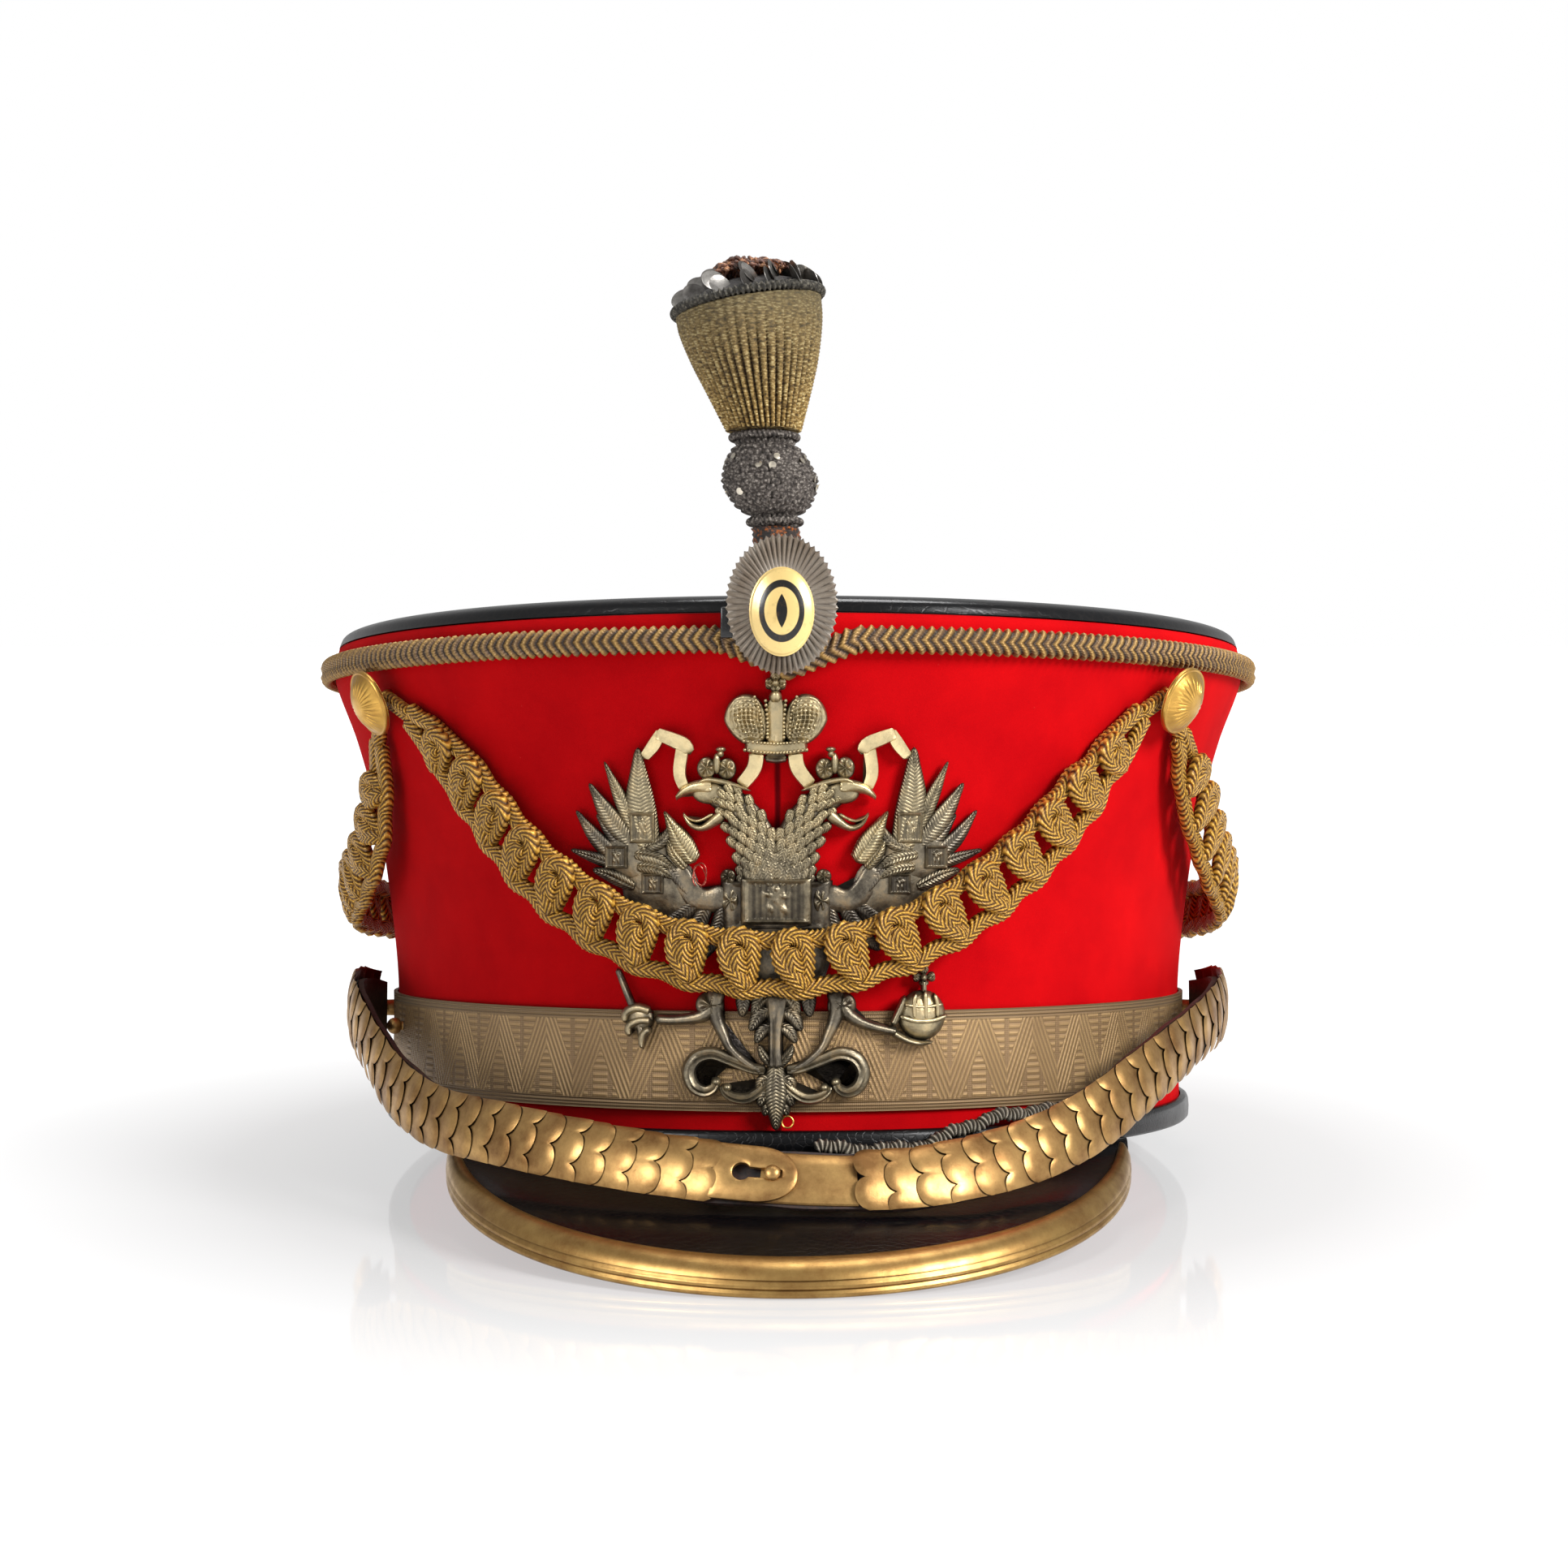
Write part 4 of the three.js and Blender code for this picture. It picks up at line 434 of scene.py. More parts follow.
@dataclass(frozen=True)
class LaceFinish:
    """Woven metallic lace: ribbed borders, and a zigzag field with barred triangles."""

    height: float = 18.5
    period: float = 13.1
    border: float = 1.9
    ground: Tint = colour(126, 99, 68)
    gold: Tint = colour(176, 143, 96)
    wire: Tint = colour(204, 172, 122)
    edge: Tint = colour(74, 62, 50)
    dirt_and_shade: Tint = colour(120, 92, 58)

    def material(self) -> bpy.types.Material:
        """The finish as a material."""
        paint = Paint("woven_lace")
        along, up, _ = paint.split(paint.map_place())
        fold = abs(paint.math("FRACT", along / self.period) - 0.5) * 2.0
        offset = (up - self.border) / (self.height - 2 * self.border) - fold
        in_band = paint.grey(abs(offset), (0.36, 1.0), (0.39, 0.0))
        dashes = paint.grey(paint.wave(along / (self.period / 3)), (0.1, 0.0), (0.2, 1.0))
        pattern = paint.mix(in_band, paint.wave(up / 1.25) * dashes, paint.wave(offset * 6.5))
        middle = abs(up - 0.5 * self.height) / (0.5 * self.height)
        in_border = paint.grey(middle, (0.785, 0.0), (0.8, 1.0))
        pattern = paint.mix(in_border, pattern, paint.wave(up / 0.62))
        weave = paint.wave(along / 0.42) * paint.wave(up / 0.36)
        clouds = paint.noise(paint.object_place(), 0.06, 5)
        tint = paint.mix(pattern, self.ground, self.gold)
        tint = paint.mix(weave * 0.5, tint, self.wire)
        tint = paint.mix(in_border * 0.45, tint, self.edge)
        # On the lace this tint is dirt in random clouds, not shade.
        tint = paint.mix(paint.grey(clouds, (0.35, 0.0), (0.7, 0.55)), tint, self.dirt_and_shade)
        return paint.done(tint, 0.5, 0.4, pattern + weave * 0.45, 0.2, 0.8)


@dataclass(frozen=True)
class CordFinish:
    """Plaited metallic cord: two plies whose yarns meet in a chevron."""

    name: str
    pitch: float = 1.2
    lean: float = 2.0
    # dark paints the shade in the grooves between yarns and bright the highlight on their crests.
    dark: Tint = colour(58, 34, 10)
    gold: Tint = colour(176, 124, 36)
    bright: Tint = colour(226, 176, 74)
    tarnish: Tint = colour(112, 84, 70)
    tarnish_share: float = 0.35
    metal: float = 0.35

    def material(self) -> bpy.types.Material:
        """The finish as a material."""
        paint = Paint(self.name)
        along, around, _ = paint.split(paint.map_place())
        side = abs(paint.math("SINE", around * (2 * math.pi)))
        phase = along / self.pitch - side * self.lean
        yarn = paint.wave(phase)
        wires = paint.wave(phase * 0.5 + side * 5.0)
        # Painted shade and highlight: each yarn runs from dark in its groove to bright on its crest.
        tint = paint.ramp(yarn, (0.0, self.dark), (0.34, self.gold), (1.0, self.bright))
        other = paint.grey(paint.wave(phase * 0.5), (0.55, 0.0), (0.7, 1.0))
        clouds = paint.grey(paint.noise(paint.object_place(), 0.35, 4), (0.38, 0.2), (0.62, 1.0))
        tint = paint.mix(other * clouds * self.tarnish_share, tint, self.tarnish)
        tint = paint.mix(wires * 0.14, tint, self.dark)
        return paint.done(tint, 0.46, self.metal, yarn + wires * 0.25, 0.35, 0.9)


@dataclass(frozen=True)
class MetalFinish:
    """Metal with patina in its clouds and hollows, fine scratches, and painted shade where a mark on the mesh asks for
    it.
    """

    name: str
    bright: Tint
    patina: Tint
    hollow: Tint
    rough: float = 0.28
    patina_share: float = 0.6
    scale: float = 0.14

    def material(self) -> bpy.types.Material:
        """The finish as a material."""
        paint = Paint(self.name)
        place = paint.object_place()
        clouds = paint.noise(place, self.scale, 6, 0.65)
        specks = paint.noise(place, 2.4, 5, 0.7)
        tint = paint.mix(paint.grey(clouds, (0.36, 0.0), (0.66, self.patina_share)), self.bright, self.patina)
        tint = paint.mix(paint.attribute("tint") * 0.35, tint, self.patina)
        deep = paint.add("NewGeometry", None, "Pointiness")
        tint = paint.mix(paint.grey(deep, (0.4, 1.0), (0.49, 0.0)), tint, self.hollow)
        tint = paint.mix(paint.grey(specks, (0.6, 0.0), (0.78, 0.5)), tint, self.hollow)
        # Painted shade from a mark on the mesh: on the scales it darkens the strip just past the edge of the scale
        # above; pieces without the mark get none.
        dirt_and_shade = paint.math("MINIMUM", paint.math("MAXIMUM", paint.attribute("dirt_and_shade"), 0.0), 0.85)
        tint = paint.mix(dirt_and_shade, tint, self.hollow)
        return paint.done(tint, clouds * 0.3 + self.rough, 0.92, specks, 0.05, 0.5)


@dataclass(frozen=True)
class CastFinish:
    """Oxidised silver casting, gilt where its attribute says, bright on its edges."""

    silver: Tint = colour(104, 98, 90)
    gilt: Tint = colour(226, 206, 158)
    warm: Tint = colour(168, 138, 92)
    soot: Tint = colour(34, 30, 30)

    def material(self) -> bpy.types.Material:
        """The finish as a material."""
        paint = Paint("cast_badge")
        place = paint.object_place()
        gilding = paint.attribute("gilding")
        along, around, _ = paint.split(paint.map_place())
        barbs = paint.wave(along * 1.25 + abs(around - 0.35) * -7.0) * paint.attribute("barbs")
        clouds = paint.noise(place, 0.22, 6, 0.7)
        tint = paint.mix(gilding, self.silver, self.gilt)
        tint = paint.mix(paint.grey(clouds, (0.5, 0.0), (0.72, 0.45)), tint, self.warm)
        low = paint.grey(paint.attribute("height"), (0.12, 0.95), (0.62, 0.0))
        tint = paint.mix(low * (gilding * -0.35 + 0.95), tint, self.soot)
        tint = paint.mix(barbs * 0.5, tint, self.soot)
        dull = paint.grey(clouds, (0.34, 0.85), (0.56, 0.0))
        tint = paint.mix(dull * (gilding * -0.6 + 1.0), tint, self.soot)
        relief = barbs * -0.45 + paint.noise(place, 1.4, 4) * 0.6
        return paint.done(tint, clouds * 0.25 + 0.26, 0.9, relief, 0.22, 0.7)


@dataclass(frozen=True)
class EnamelFinish:
    """Oval enamel in rings: gold, black, gold, and a pointed black oval."""

    gold: Tint = colour(238, 206, 132)
    black: Tint = colour(20, 17, 14)
    worn: Tint = colour(120, 84, 40)

    def material(self) -> bpy.types.Material:
        """The finish as a material."""
        paint = Paint("ring_enamel")
        across, up, _ = paint.split(paint.map_place())
        reach = paint.add("VectorMath", {0: paint.map_place()}, "Value", operation="LENGTH")
        stops = ((0.0, self.gold), (0.55, self.gold), (0.565, self.black), (0.72, self.black), (0.735, self.gold))
        lens = abs(across) * (1.0 / 0.18) + up * up * (1.0 / 0.16)
        mark = paint.grey(lens * 0.5, (0.47, 1.0), (0.52, 0.0))
        clouds = paint.noise(paint.object_place(), 0.9, 5)
        tint = paint.mix(mark, paint.ramp(reach, *stops), self.black)
        tint = paint.mix(paint.grey(clouds, (0.55, 0.0), (0.75, 0.3)), tint, self.worn)
        return paint.done(tint, 0.3, 0.25, clouds, 0.06, 0.5, Coat_Weight=0.4, Coat_Roughness=0.15)


@dataclass(frozen=True)
class YarnFinish:
    """Knitted or coiled metallic yarn, with dark gaps and bright threads, and painted shade in its grooves where it
    has them.
    """

    name: str
    dark: Tint
    middle: Tint
    bright: Tint
    scale: float = 1.5
    metal: float = 0.45
    # grooves turns on painted shade in the grooves, read from the height mark.
    grooves: bool = False
    high: Tint | None = None
    high_from: float = 150.0
    high_to: float = 172.0
    stretch: float = 1.0

    def material(self) -> bpy.types.Material:
        """The finish as a material."""
        paint = Paint(self.name)
        flat = paint.object_place((1000, 1000, 1000 * self.stretch))
        fine = paint.noise(flat, 2.6 * self.scale, 5, 0.75)
        share = paint.cells(flat, self.scale) * -0.55 + (fine * 0.9 + 0.3)
        tint = paint.ramp(share, (0.2, self.dark), (0.5, self.middle), (0.74, self.bright))
        if self.high is not None:
            level = paint.split(paint.object_place())[2]
            rise = (level - self.high_from) / (self.high_to - self.high_from)
            tint = paint.mix(paint.grey(rise, (0.1, 0.0), (0.95, 0.75)), tint, self.high)
        if self.grooves:
            # Painted shade: darker where the height mark puts a place deep in a groove.
            groove_shade = paint.grey(paint.attribute("height"), (0.3, 0.92), (0.8, 0.0))
            tint = paint.mix(groove_shade, tint, self.dark)
        return paint.done(tint, 0.5, self.metal, share, 0.35, 0.9)


@dataclass(frozen=True)
class PlainFinish:
    """Small part of one material with light clouding."""

    name: str
    tint: Tint
    second: Tint
    rough: float = 0.5
    metal: float = 0.0

    def material(self) -> bpy.types.Material:
        """The finish as a material."""
        paint = Paint(self.name)
        clouds = paint.noise(paint.object_place(), 1.1, 5)
        tint = paint.mix(paint.grey(clouds, (0.4, 0.0), (0.65, 1.0)), self.tint, self.second)
        return paint.done(tint, self.rough, self.metal, clouds, 0.1, 0.5)


Finish = (
    FeltFinish | LacquerFinish | LaceFinish | CordFinish | MetalFinish
    | CastFinish | EnamelFinish | YarnFinish | PlainFinish
)
_made: dict[str, bpy.types.Material] = {}


def material_of(finish: Finish) -> bpy.types.Material:
    """Material of a finish, made once."""
    key = repr(finish)
    if key not in _made:
        _made[key] = finish.material()
    return _made[key]


GILT = MetalFinish("gilt_brass", colour(212, 168, 84), colour(146, 102, 48), colour(66, 42, 20), 0.2, 0.75)
# The brass's hollow colour also paints the shade under the scales' edges.
BRASS = MetalFinish("scale_brass", colour(200, 160, 100), colour(126, 90, 52), colour(34, 22, 14), 0.25, 0.95)


def smoothed(points: Array, steps: int = 8) -> Array:
    """Smooth curve through a few points.

    Args:
        points: one row for each point.
        steps: steps between two points.

    Returns:
        Rows along the curve.
    """
    index = np.arange(len(points), dtype=float)
    at = np.linspace(0, index[-1], int(index[-1]) * steps + 1)
    return np.stack([SmoothTable(index, column)(at) for column in points.T], -1)


class Outline:
    """Rows of values at even shares."""

    def __init__(self, rows: Sequence[Sequence[float]] | Array, smooth: int = 0, closed: bool = False) -> None:
        """Takes the rows.

        Args:
            rows: values of each row.
            smooth: steps between rows on a smooth curve, or 0 for straight lines.
            closed: whether the first row comes again at the end.
        """
        table = np.array([*rows, rows[0]] if closed else rows, float)
        self.rows = smoothed(table, smooth) if smooth else table
        self.at = np.linspace(0, 1, len(self.rows))

    def __call__(self, share: Array | float) -> tuple[Array, ...]:
        """Each column at a share."""
        return tuple(np.interp(share, self.at, column) for column in self.rows.T)

    def points(self, share: Array) -> Array:
        """Points at shares."""
        return np.stack(self(share), -1)


Loft = Callable[[Array, Array, Array], Array]


class Workpiece:
    """A new piece: a mesh in the hat's own frame, in millimetres."""

    def __init__(self, name: str) -> None:
        """Starts an empty mesh."""
        self.name = name
        self.mesh = bmesh.new()

    def lay(
        self, columns: int, rows: int, place: Place, size: tuple[float, float] = (1.0, 1.0), **marks: object
    ) -> None:
        """Lays a grid over a surface and closes its seams and poles.

        Args:
            columns: steps along the first share.
            rows: steps along the second share.
            place: points of arrays of shares.
            size: length of the map each way.
            marks: values by attribute name, numbers or functions of the shares.
        """
        part = bmesh.new()
        part.loops.layers.uv.verify()
        bmesh.ops.create_grid(part, x_segments=columns, y_segments=rows, size=0.5, calc_uvs=True)
        for face in part.faces:
            face.smooth = True
        data = bpy.data.meshes.new("part")
        part.to_mesh(data)
        flat = np.empty(3 * len(data.vertices), np.float32)
        data.vertices.foreach_get("co", flat)
        first, second = np.clip(flat.reshape(-1, 3)[:, :2].T.astype(float) + 0.5, 0, 1)
        data.vertices.foreach_set("co", place(first, second).astype(np.float32).ravel())
        uv = np.empty(2 * len(data.loops), np.float32)
        data.uv_layers[0].uv.foreach_get("vector", uv)
        data.uv_layers[0].uv.foreach_set("vector", (uv.reshape(-1, 2) * np.array(size, np.float32)).ravel())
        for name, value in marks.items():
            values = value(first, second) if callable(value) else np.full(len(first), value)
            data.attributes.new(name, "FLOAT", "POINT").data.foreach_set("value", values.astype(np.float32))
        part.clear()
        part.from_mesh(data)
        bmesh.ops.remove_doubles(part, verts=[vert for vert in part.verts if vert.is_boundary], dist=1e-3)
        part.to_mesh(data)
        part.free()
        self.mesh.from_mesh(data)
        bpy.data.meshes.remove(data)

    def loft(self, columns: int, outline: Outline, point: Loft, size: tuple[float, float], rows: int = 0) -> None:
        """Lays a surface that carries an outline of two values along.

        Args:
            columns: steps along.
            outline: the outline.
            point: points of the share along and the outline's two values.
            size: length of the map each way.
            rows: steps round the outline, or 0 for one to each row.
        """
        def place(along: Array, share: Array) -> Array:
            """Points of the surface."""
            return point(along, *outline(share))

        self.lay(columns, rows or len(outline.rows) - 1, place, size)

    def box(self, centre: Sequence[float], size: Sequence[float]) -> None:
        """Adds a box at a centre."""
        corners = bmesh.ops.create_cube(self.mesh, size=1.0)["verts"]
        matrix = Matrix.Translation(centre) @ Matrix.Diagonal((*size, 1.0))
        bmesh.ops.transform(self.mesh, matrix=matrix, verts=corners)

    def finish(self, finish: Finish, slot: Slot, *nodes: str, sharp: float = 50.0) -> None:
        """Makes the object and joins it to the frame.

        Args:
            finish: the piece's finish.
            slot: not used.
            nodes: nodes that it stands for.
            sharp: angle in degrees past which an edge is sharp.
        """
        rims = [edge for edge in self.mesh.edges if edge.is_boundary]
        bmesh.ops.holes_fill(self.mesh, edges=rims, sides=0)
        bmesh.ops.recalc_face_normals(self.mesh, faces=self.mesh.faces)
        bmesh.ops.transform(self.mesh, matrix=HAT_TO_ROW, verts=self.mesh.verts)
        data = bpy.data.meshes.new(self.name)
        count = sum(len(face.verts) - 2 for face in self.mesh.faces)
        self.mesh.to_mesh(data)
        self.mesh.free()
        data.set_sharp_from_angle(angle=math.radians(sharp))
        data.materials.append(material_of(finish))
        piece = bpy.data.objects.new(self.name, data)
        bpy.context.scene.collection.objects.link(piece)
        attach(piece, "root")
        if nodes:
            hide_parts(*nodes)
        LOG.info("%s: %d triangles", self.name, count)


def ring(around: Array, standoff: Array, height: Array) -> Array:
    """Points round the body."""
    return BODY.point(360 * around, height, standoff)


def seat(angle: float, level: float, standoff: float = 0.0) -> tuple[Array, Array]:
    """Point that stands off the cloth, and the outward direction there."""
    place = np.array([angle]), np.array([level])
    return BODY.point(*place, standoff)[0], BODY.normal(*place)[0]


def lathe(base: Array, out: Array, rows: Sequence[tuple[float, float]], smooth: int = 0) -> Place:
    """Surface that is turned about a direction from a point.

    Args:
        base: point on the axis.
        out: direction of the axis.
        rows: radius and height of each row, from the back's middle to the front's middle.
        smooth: steps between rows on a smooth curve, or 0 for straight lines.

    Returns:
        Placement by the share round and the share of the rows.
    """
    up = unit(np.array([0, 0, 1.0]) - out * out[2])
    side = np.cross(up, out)
    outline = Outline(rows, smooth)

    def place(around: Array, share: Array) -> Array:
        """Points of the turned surface."""
        turn = 2 * math.pi * around
        reach, height = outline(share)
        reach = np.maximum(reach, 0)[:, None] * np.stack([np.cos(turn), np.sin(turn)], -1)
        return base + reach @ np.stack([side, up]) + out * height[:, None]

    return place


def boundary(inside: Callable[[Array, Array], Array], centre: tuple[float, float], count: int) -> Array:
    """Distance from a centre to the edge of a shape, at even angles.

    Args:
        inside: says which points are in the shape.
        centre: point in the shape that sees all of its edge.
        count: number of angles.

    Returns:
        One distance for each angle.
    """
    turn = 2 * math.pi * np.arange(count + 1) / count
    reach = np.linspace(0, 20, 1600)
    x = centre[0] + np.outer(np.cos(turn), reach)
    y = centre[1] + np.outer(np.sin(turn), reach)
    return reach[np.argmin(inside(x, y), axis=1)]


def resampled(points: Array, step: float) -> Array:
    """Points at even distances along a line.

    Args:
        points: corners of the line.
        step: distance wanted.

    Returns:
        Points along the line.
    """
    lengths = np.concatenate([[0], np.cumsum(np.linalg.norm(np.diff(points, axis=0), axis=1))])
    at = np.linspace(0, lengths[-1], max(int(lengths[-1] / step), 2) + 1)
    return np.stack([np.interp(at, lengths, column) for column in points.T], -1)

@dataclass(frozen=True)
class Plait:
    """Section and twist of a cord of two plies."""

    half_width: float = 1.7
    half_height: float = 1.55
    pitch: float = 1.2
    lean: float = 2.0
    depth: float = 0.14
    groove: float = 0.2
    twist: int = 0
    step: float = 0.4
    sides: int = 12

    @classmethod
    def round(cls, radius: float, pitch: float, depth: float, **sizes: float) -> "Plait":
        """A round cord of twisted strands, or a plain wire."""
        return cls(radius, radius, pitch, lean=0.0, depth=depth, groove=0.0, **sizes)

    def lay(self, piece: Workpiece, line: Array, outward: Array, closed: bool = False) -> None:
        """Lays the cord along a line.

        Args:
            piece: piece that gets the cord.
            line: points of the line.
            outward: outward direction at each point, or one for all.
            closed: whether the line meets its own start.
        """
        tangent = unit(np.gradient(line, axis=0))
        if closed:
            tangent[0] = tangent[-1] = unit(line[1] - line[-2])
        side = unit(np.cross(outward, tangent))
        course = Outline(np.hstack([line, unit(np.cross(tangent, side)), side]))
        length = float(np.linalg.norm(np.diff(line, axis=0), axis=1).sum())
        shown = max(round(length / self.pitch), 1) * self.pitch if closed else length

        def place(along: Array, around: Array) -> Array:
            """Points of the cord's skin."""
            centre, out, across = np.split(course.points(along), 3, axis=1)
            turn = 2 * math.pi * around
            sideways = np.abs(np.sin(turn))
            phase = along * shown / self.pitch - self.lean * sideways + self.twist * around
            inner = 1 if self.lean < 1 else sideways**4
            ridge = 1 + self.depth * (np.cos(2 * math.pi * phase) - 0.4) * inner
            if not closed:
                from_end = np.minimum(along, 1 - along) * length / (0.5 * self.half_width)
                ridge = ridge * np.sqrt(np.clip(from_end, 0.02, 1))
            waist = 1 - self.groove * np.exp(-((sideways / 0.3) ** 2))
            high = self.half_height * ridge * waist * np.cos(turn)
            return centre + out * high[:, None] + across * (self.half_width * ridge * np.sin(turn))[:, None]

        piece.lay(len(line) - 1, self.sides, place, (shown, 1.0))


@dataclass
class Body:
    """Cloth body, crown, lace and foot band."""

    cloth_wall: float = 2.5
    sole: float = -2.2
    foot_leather: float = 1.6
    lace_foot: float = 6.1
    lace_height: float = 18.5
    lace_thickness: float = 0.8
    rim_rise: float = 3.2
    rim_width: float = 9.0
    dish_depth: float = 3.4
    dish_slope: float = 14.0
    crown_leather: float = 2.4
    rim_rows: tuple[tuple[float, float], ...] = ((0, 0), (0.1, 0.62), (0.32, 0.93), (0.6, 1), (1, 0.62))

    def build_cloth(self) -> None:
        """The felt wall, open inside."""
        heights = np.linspace(self.sole + self.foot_leather + CAD_CLEAR, BODY.height, 44)
        top = BODY.height + 0.12
        section = [(0.0, z) for z in heights] + [(-0.5, top), (-2.0, top)]
        section += [(-self.cloth_wall, z) for z in heights[::-4]]
        piece = Workpiece("cloth_body")
        piece.loft(208, Outline(section, closed=True), ring, (560, 200))
        piece.finish(FeltFinish(), Slot.CLOTH, "body_shell", sharp=70)

    def build_crown(self) -> None:
        """The lacquered crown with its rounded rim."""
        foot = BODY.height + CAD_CLEAR
        dish_z = foot + self.rim_rise - self.dish_depth
        rim = smoothed(np.array([
            *((share * self.rim_width, foot + rise * self.rim_rise) for share, rise in self.rim_rows),
            (self.rim_width + 0.5 * self.dish_slope, dish_z + 0.45), (self.rim_width + self.dish_slope, dish_z),
        ]))
        reach = float(BODY.half_width(BODY.height))
        straight = self.rim_width + self.dish_slope + 6
        inward = np.linspace(straight, reach, 16)
        wall = self.cloth_wall + CAD_CLEAR
        rows = [*rim, *((inset, dish_z) for inset in inward)]
        rows += [(inset, dish_z - self.crown_leather) for inset in inward[::-1]]
        rows += [(wall + self.crown_leather, foot - self.crown_leather), (wall, foot)]

        def point(around: Array, inset: Array, height: Array) -> Array:
            """Points of the crown, whose inner rings shrink to the middle."""
            kept = np.minimum(inset, straight)
            points = ring(around, -kept, BODY.height)
            points[:, :2] *= ((reach - inset) / (reach - kept))[:, None]
            points[:, 2] = height
            return points

        piece = Workpiece("crown_lacquer")
        piece.loft(160, Outline(rows, closed=True), point, (600, 100))
        finish = LacquerFinish("crackled_lacquer", 0.1, 0.2, 0.4, 0.03, 0.3)
        piece.finish(finish, Slot.LACQUER, "crown_top", sharp=80)

    def build_lace(self) -> None:
        """The woven lace round the base."""
        outer = CAD_CLEAR + self.lace_thickness
        top = self.lace_foot + self.lace_height
        face = [(outer, z) for z in np.linspace(self.lace_foot, top, 25)]
        section = [*face, (CAD_CLEAR, top), (CAD_CLEAR, self.lace_foot)]
        height = self.lace_height * len(section) / (len(face) - 1)
        piece = Workpiece("lace_weave")
        piece.loft(176, Outline(section, closed=True), ring, (576.0, height))
        piece.finish(LaceFinish(self.lace_height), Slot.LACE, "lace_band", sharp=60)

    def build_foot(self) -> None:
        """The leather band that folds under the lower edge."""
        outer = CAD_CLEAR + self.foot_leather
        sole_top = self.sole + self.foot_leather
        section = [
            (-self.cloth_wall, self.sole), (-1.0, self.sole), (outer - 0.5, self.sole), (outer, self.sole + 0.5),
            (outer + 0.1, 0.0), (outer, 1.6), (outer - 0.25, 2.3), (outer - 0.7, 2.6), (CAD_CLEAR, 2.6),
            (CAD_CLEAR, sole_top), (-self.cloth_wall, sole_top),
        ]
        piece = Workpiece("foot_leather")
        piece.loft(160, Outline(section, closed=True), ring, (560, 20))
        piece.finish(LacquerFinish("band_leather", 0.24, 0.5, 0.7, 0.06, 0.2), Slot.LEATHER, "foot_band", sharp=60)

    def build(self) -> None:
        """All the body's pieces."""
        self.build_cloth()
        self.build_crown()
        self.build_lace()
        self.build_foot()


@dataclass
class Peak:
    """Sloping leather peak and its bound edge."""

    half_width: float = 67.0
    reach: float = 72.3
    setback: float = 68.0
    slope: float = 0.4425
    bulge: float = 1.2
    leather: float = 2.4
    end_turn: float = 91.0
    root_half_angle: float = 52.0
    top: float = -2.2
    binding_turn: float = 84.0
    binding_width: float = 4.8
    metal: float = 0.9

    def edge(self, share: Array) -> Array:
        """Outer edge at a share of its half-turn.

        Args:
            share: -1 to 1.

        Returns:
            Points of the edge.
        """
        turn = np.radians(self.end_turn * share)
        x = self.half_width * np.sin(turn)
        y = -self.setback - self.reach * np.cos(turn)
        beyond = np.zeros_like(x)
        for _ in range(12):
            width = BODY.base_half_width + beyond
            beyond = beyond + (np.hypot(x / width, y / (width + BODY.depth_over_width)) - 1) * width
        return np.stack([x, y, self.top - self.slope * np.maximum(beyond, 0)], -1)

    def root(self, share: Array) -> Array:
        """Inner edge on the base oval."""
        points = BODY.point(self.root_half_angle * share, 0.0, 0.0)
        points[:, 2] = self.top - CAD_CLEAR
        return points

    def span(self, share: Array) -> Array:
        """Level distance from the root to the edge."""
        return np.linalg.norm((self.root(share) - self.edge(share))[:, :2], axis=1)

    def surface(self, share: Array, across: Array, lift: Array) -> Array:
        """Upper surface from the root to the edge.

        Args:
            share: -1 to 1 along the edge.
            across: 0 at the root to 1 at the edge.
            lift: height over the surface.

        Returns:
            Points of the surface.
        """
        root = self.root(share)
        points = root + (self.edge(share) - root) * across[:, None]
        bulge = self.bulge * np.minimum(1, 2 * self.span(share) / self.reach)
        points[:, 2] += bulge * 4 * across * (1 - across) + lift
        return points

    def build_leather(self) -> None:
        """The polished peak."""
        clear = self.metal + CAD_CLEAR
        down = np.linspace(0, 1, 17)
        section = [(s, 0.0) for s in down] + [(s, -self.leather) for s in down[::-1]]

        def point(along: Array, across: Array, lift: Array) -> Array:
            """Points of the leather."""
            side = 2 * along - 1
            room = np.maximum(self.span(side), clear + 0.2)
            return self.surface(side, across * (1 - clear / room), lift)

        piece = Workpiece("peak_leather")
        piece.loft(120, Outline(section, closed=True), point, (160, 80))
        piece.finish(LacquerFinish("peak_polish", 0.12, 0.2, 0.9, 0.0, 0.22), Slot.LEATHER, "peak", sharp=40)

    def build_binding(self) -> None:
        """The metal channel with its two grooves."""
        over = self.metal + CAD_CLEAR
        under = -self.leather - CAD_CLEAR
        section = [
            (self.binding_width, CAD_CLEAR), (self.binding_width, over - 0.2), (self.binding_width - 0.5, over + 0.1),
            (3.0, over + 0.4), (1.6, over + 0.1), (0.55, over - 0.7), (0.35, -0.15), (0.75, -0.4), (0.75, -0.6),
            (0.2, -0.85), (0.1, -1.35), (0.3, -1.75), (0.7, -1.95), (0.7, -2.1), (0.25, -2.35), (0.2, -2.8),
            (0.6, under - self.metal + 0.2), (1.2, under - self.metal), (3.4, under - self.metal), (3.4, under),
            (self.metal, under), (self.metal, CAD_CLEAR),
        ]

        def point(along: Array, inset: Array, lift: Array) -> Array:
            """Points of the channel, at a distance in from the edge."""
            side = (2 * along - 1) * self.binding_turn / self.end_turn
            room = np.maximum(self.span(side), inset)
            return self.surface(side, 1 - inset / np.maximum(room, 1e-6), lift)

        piece = Workpiece("binding_gilt")
        piece.loft(140, Outline(section, closed=True), point, (220, 20))
        brass = MetalFinish("binding_brass", colour(184, 148, 88), colour(128, 92, 50), colour(58, 38, 20), 0.2, 0.85)
        piece.finish(brass, Slot.GILT, "peak_binding", sharp=70)

    def build(self) -> None:
        """The peak's two pieces."""
        self.build_leather()
        self.build_binding()


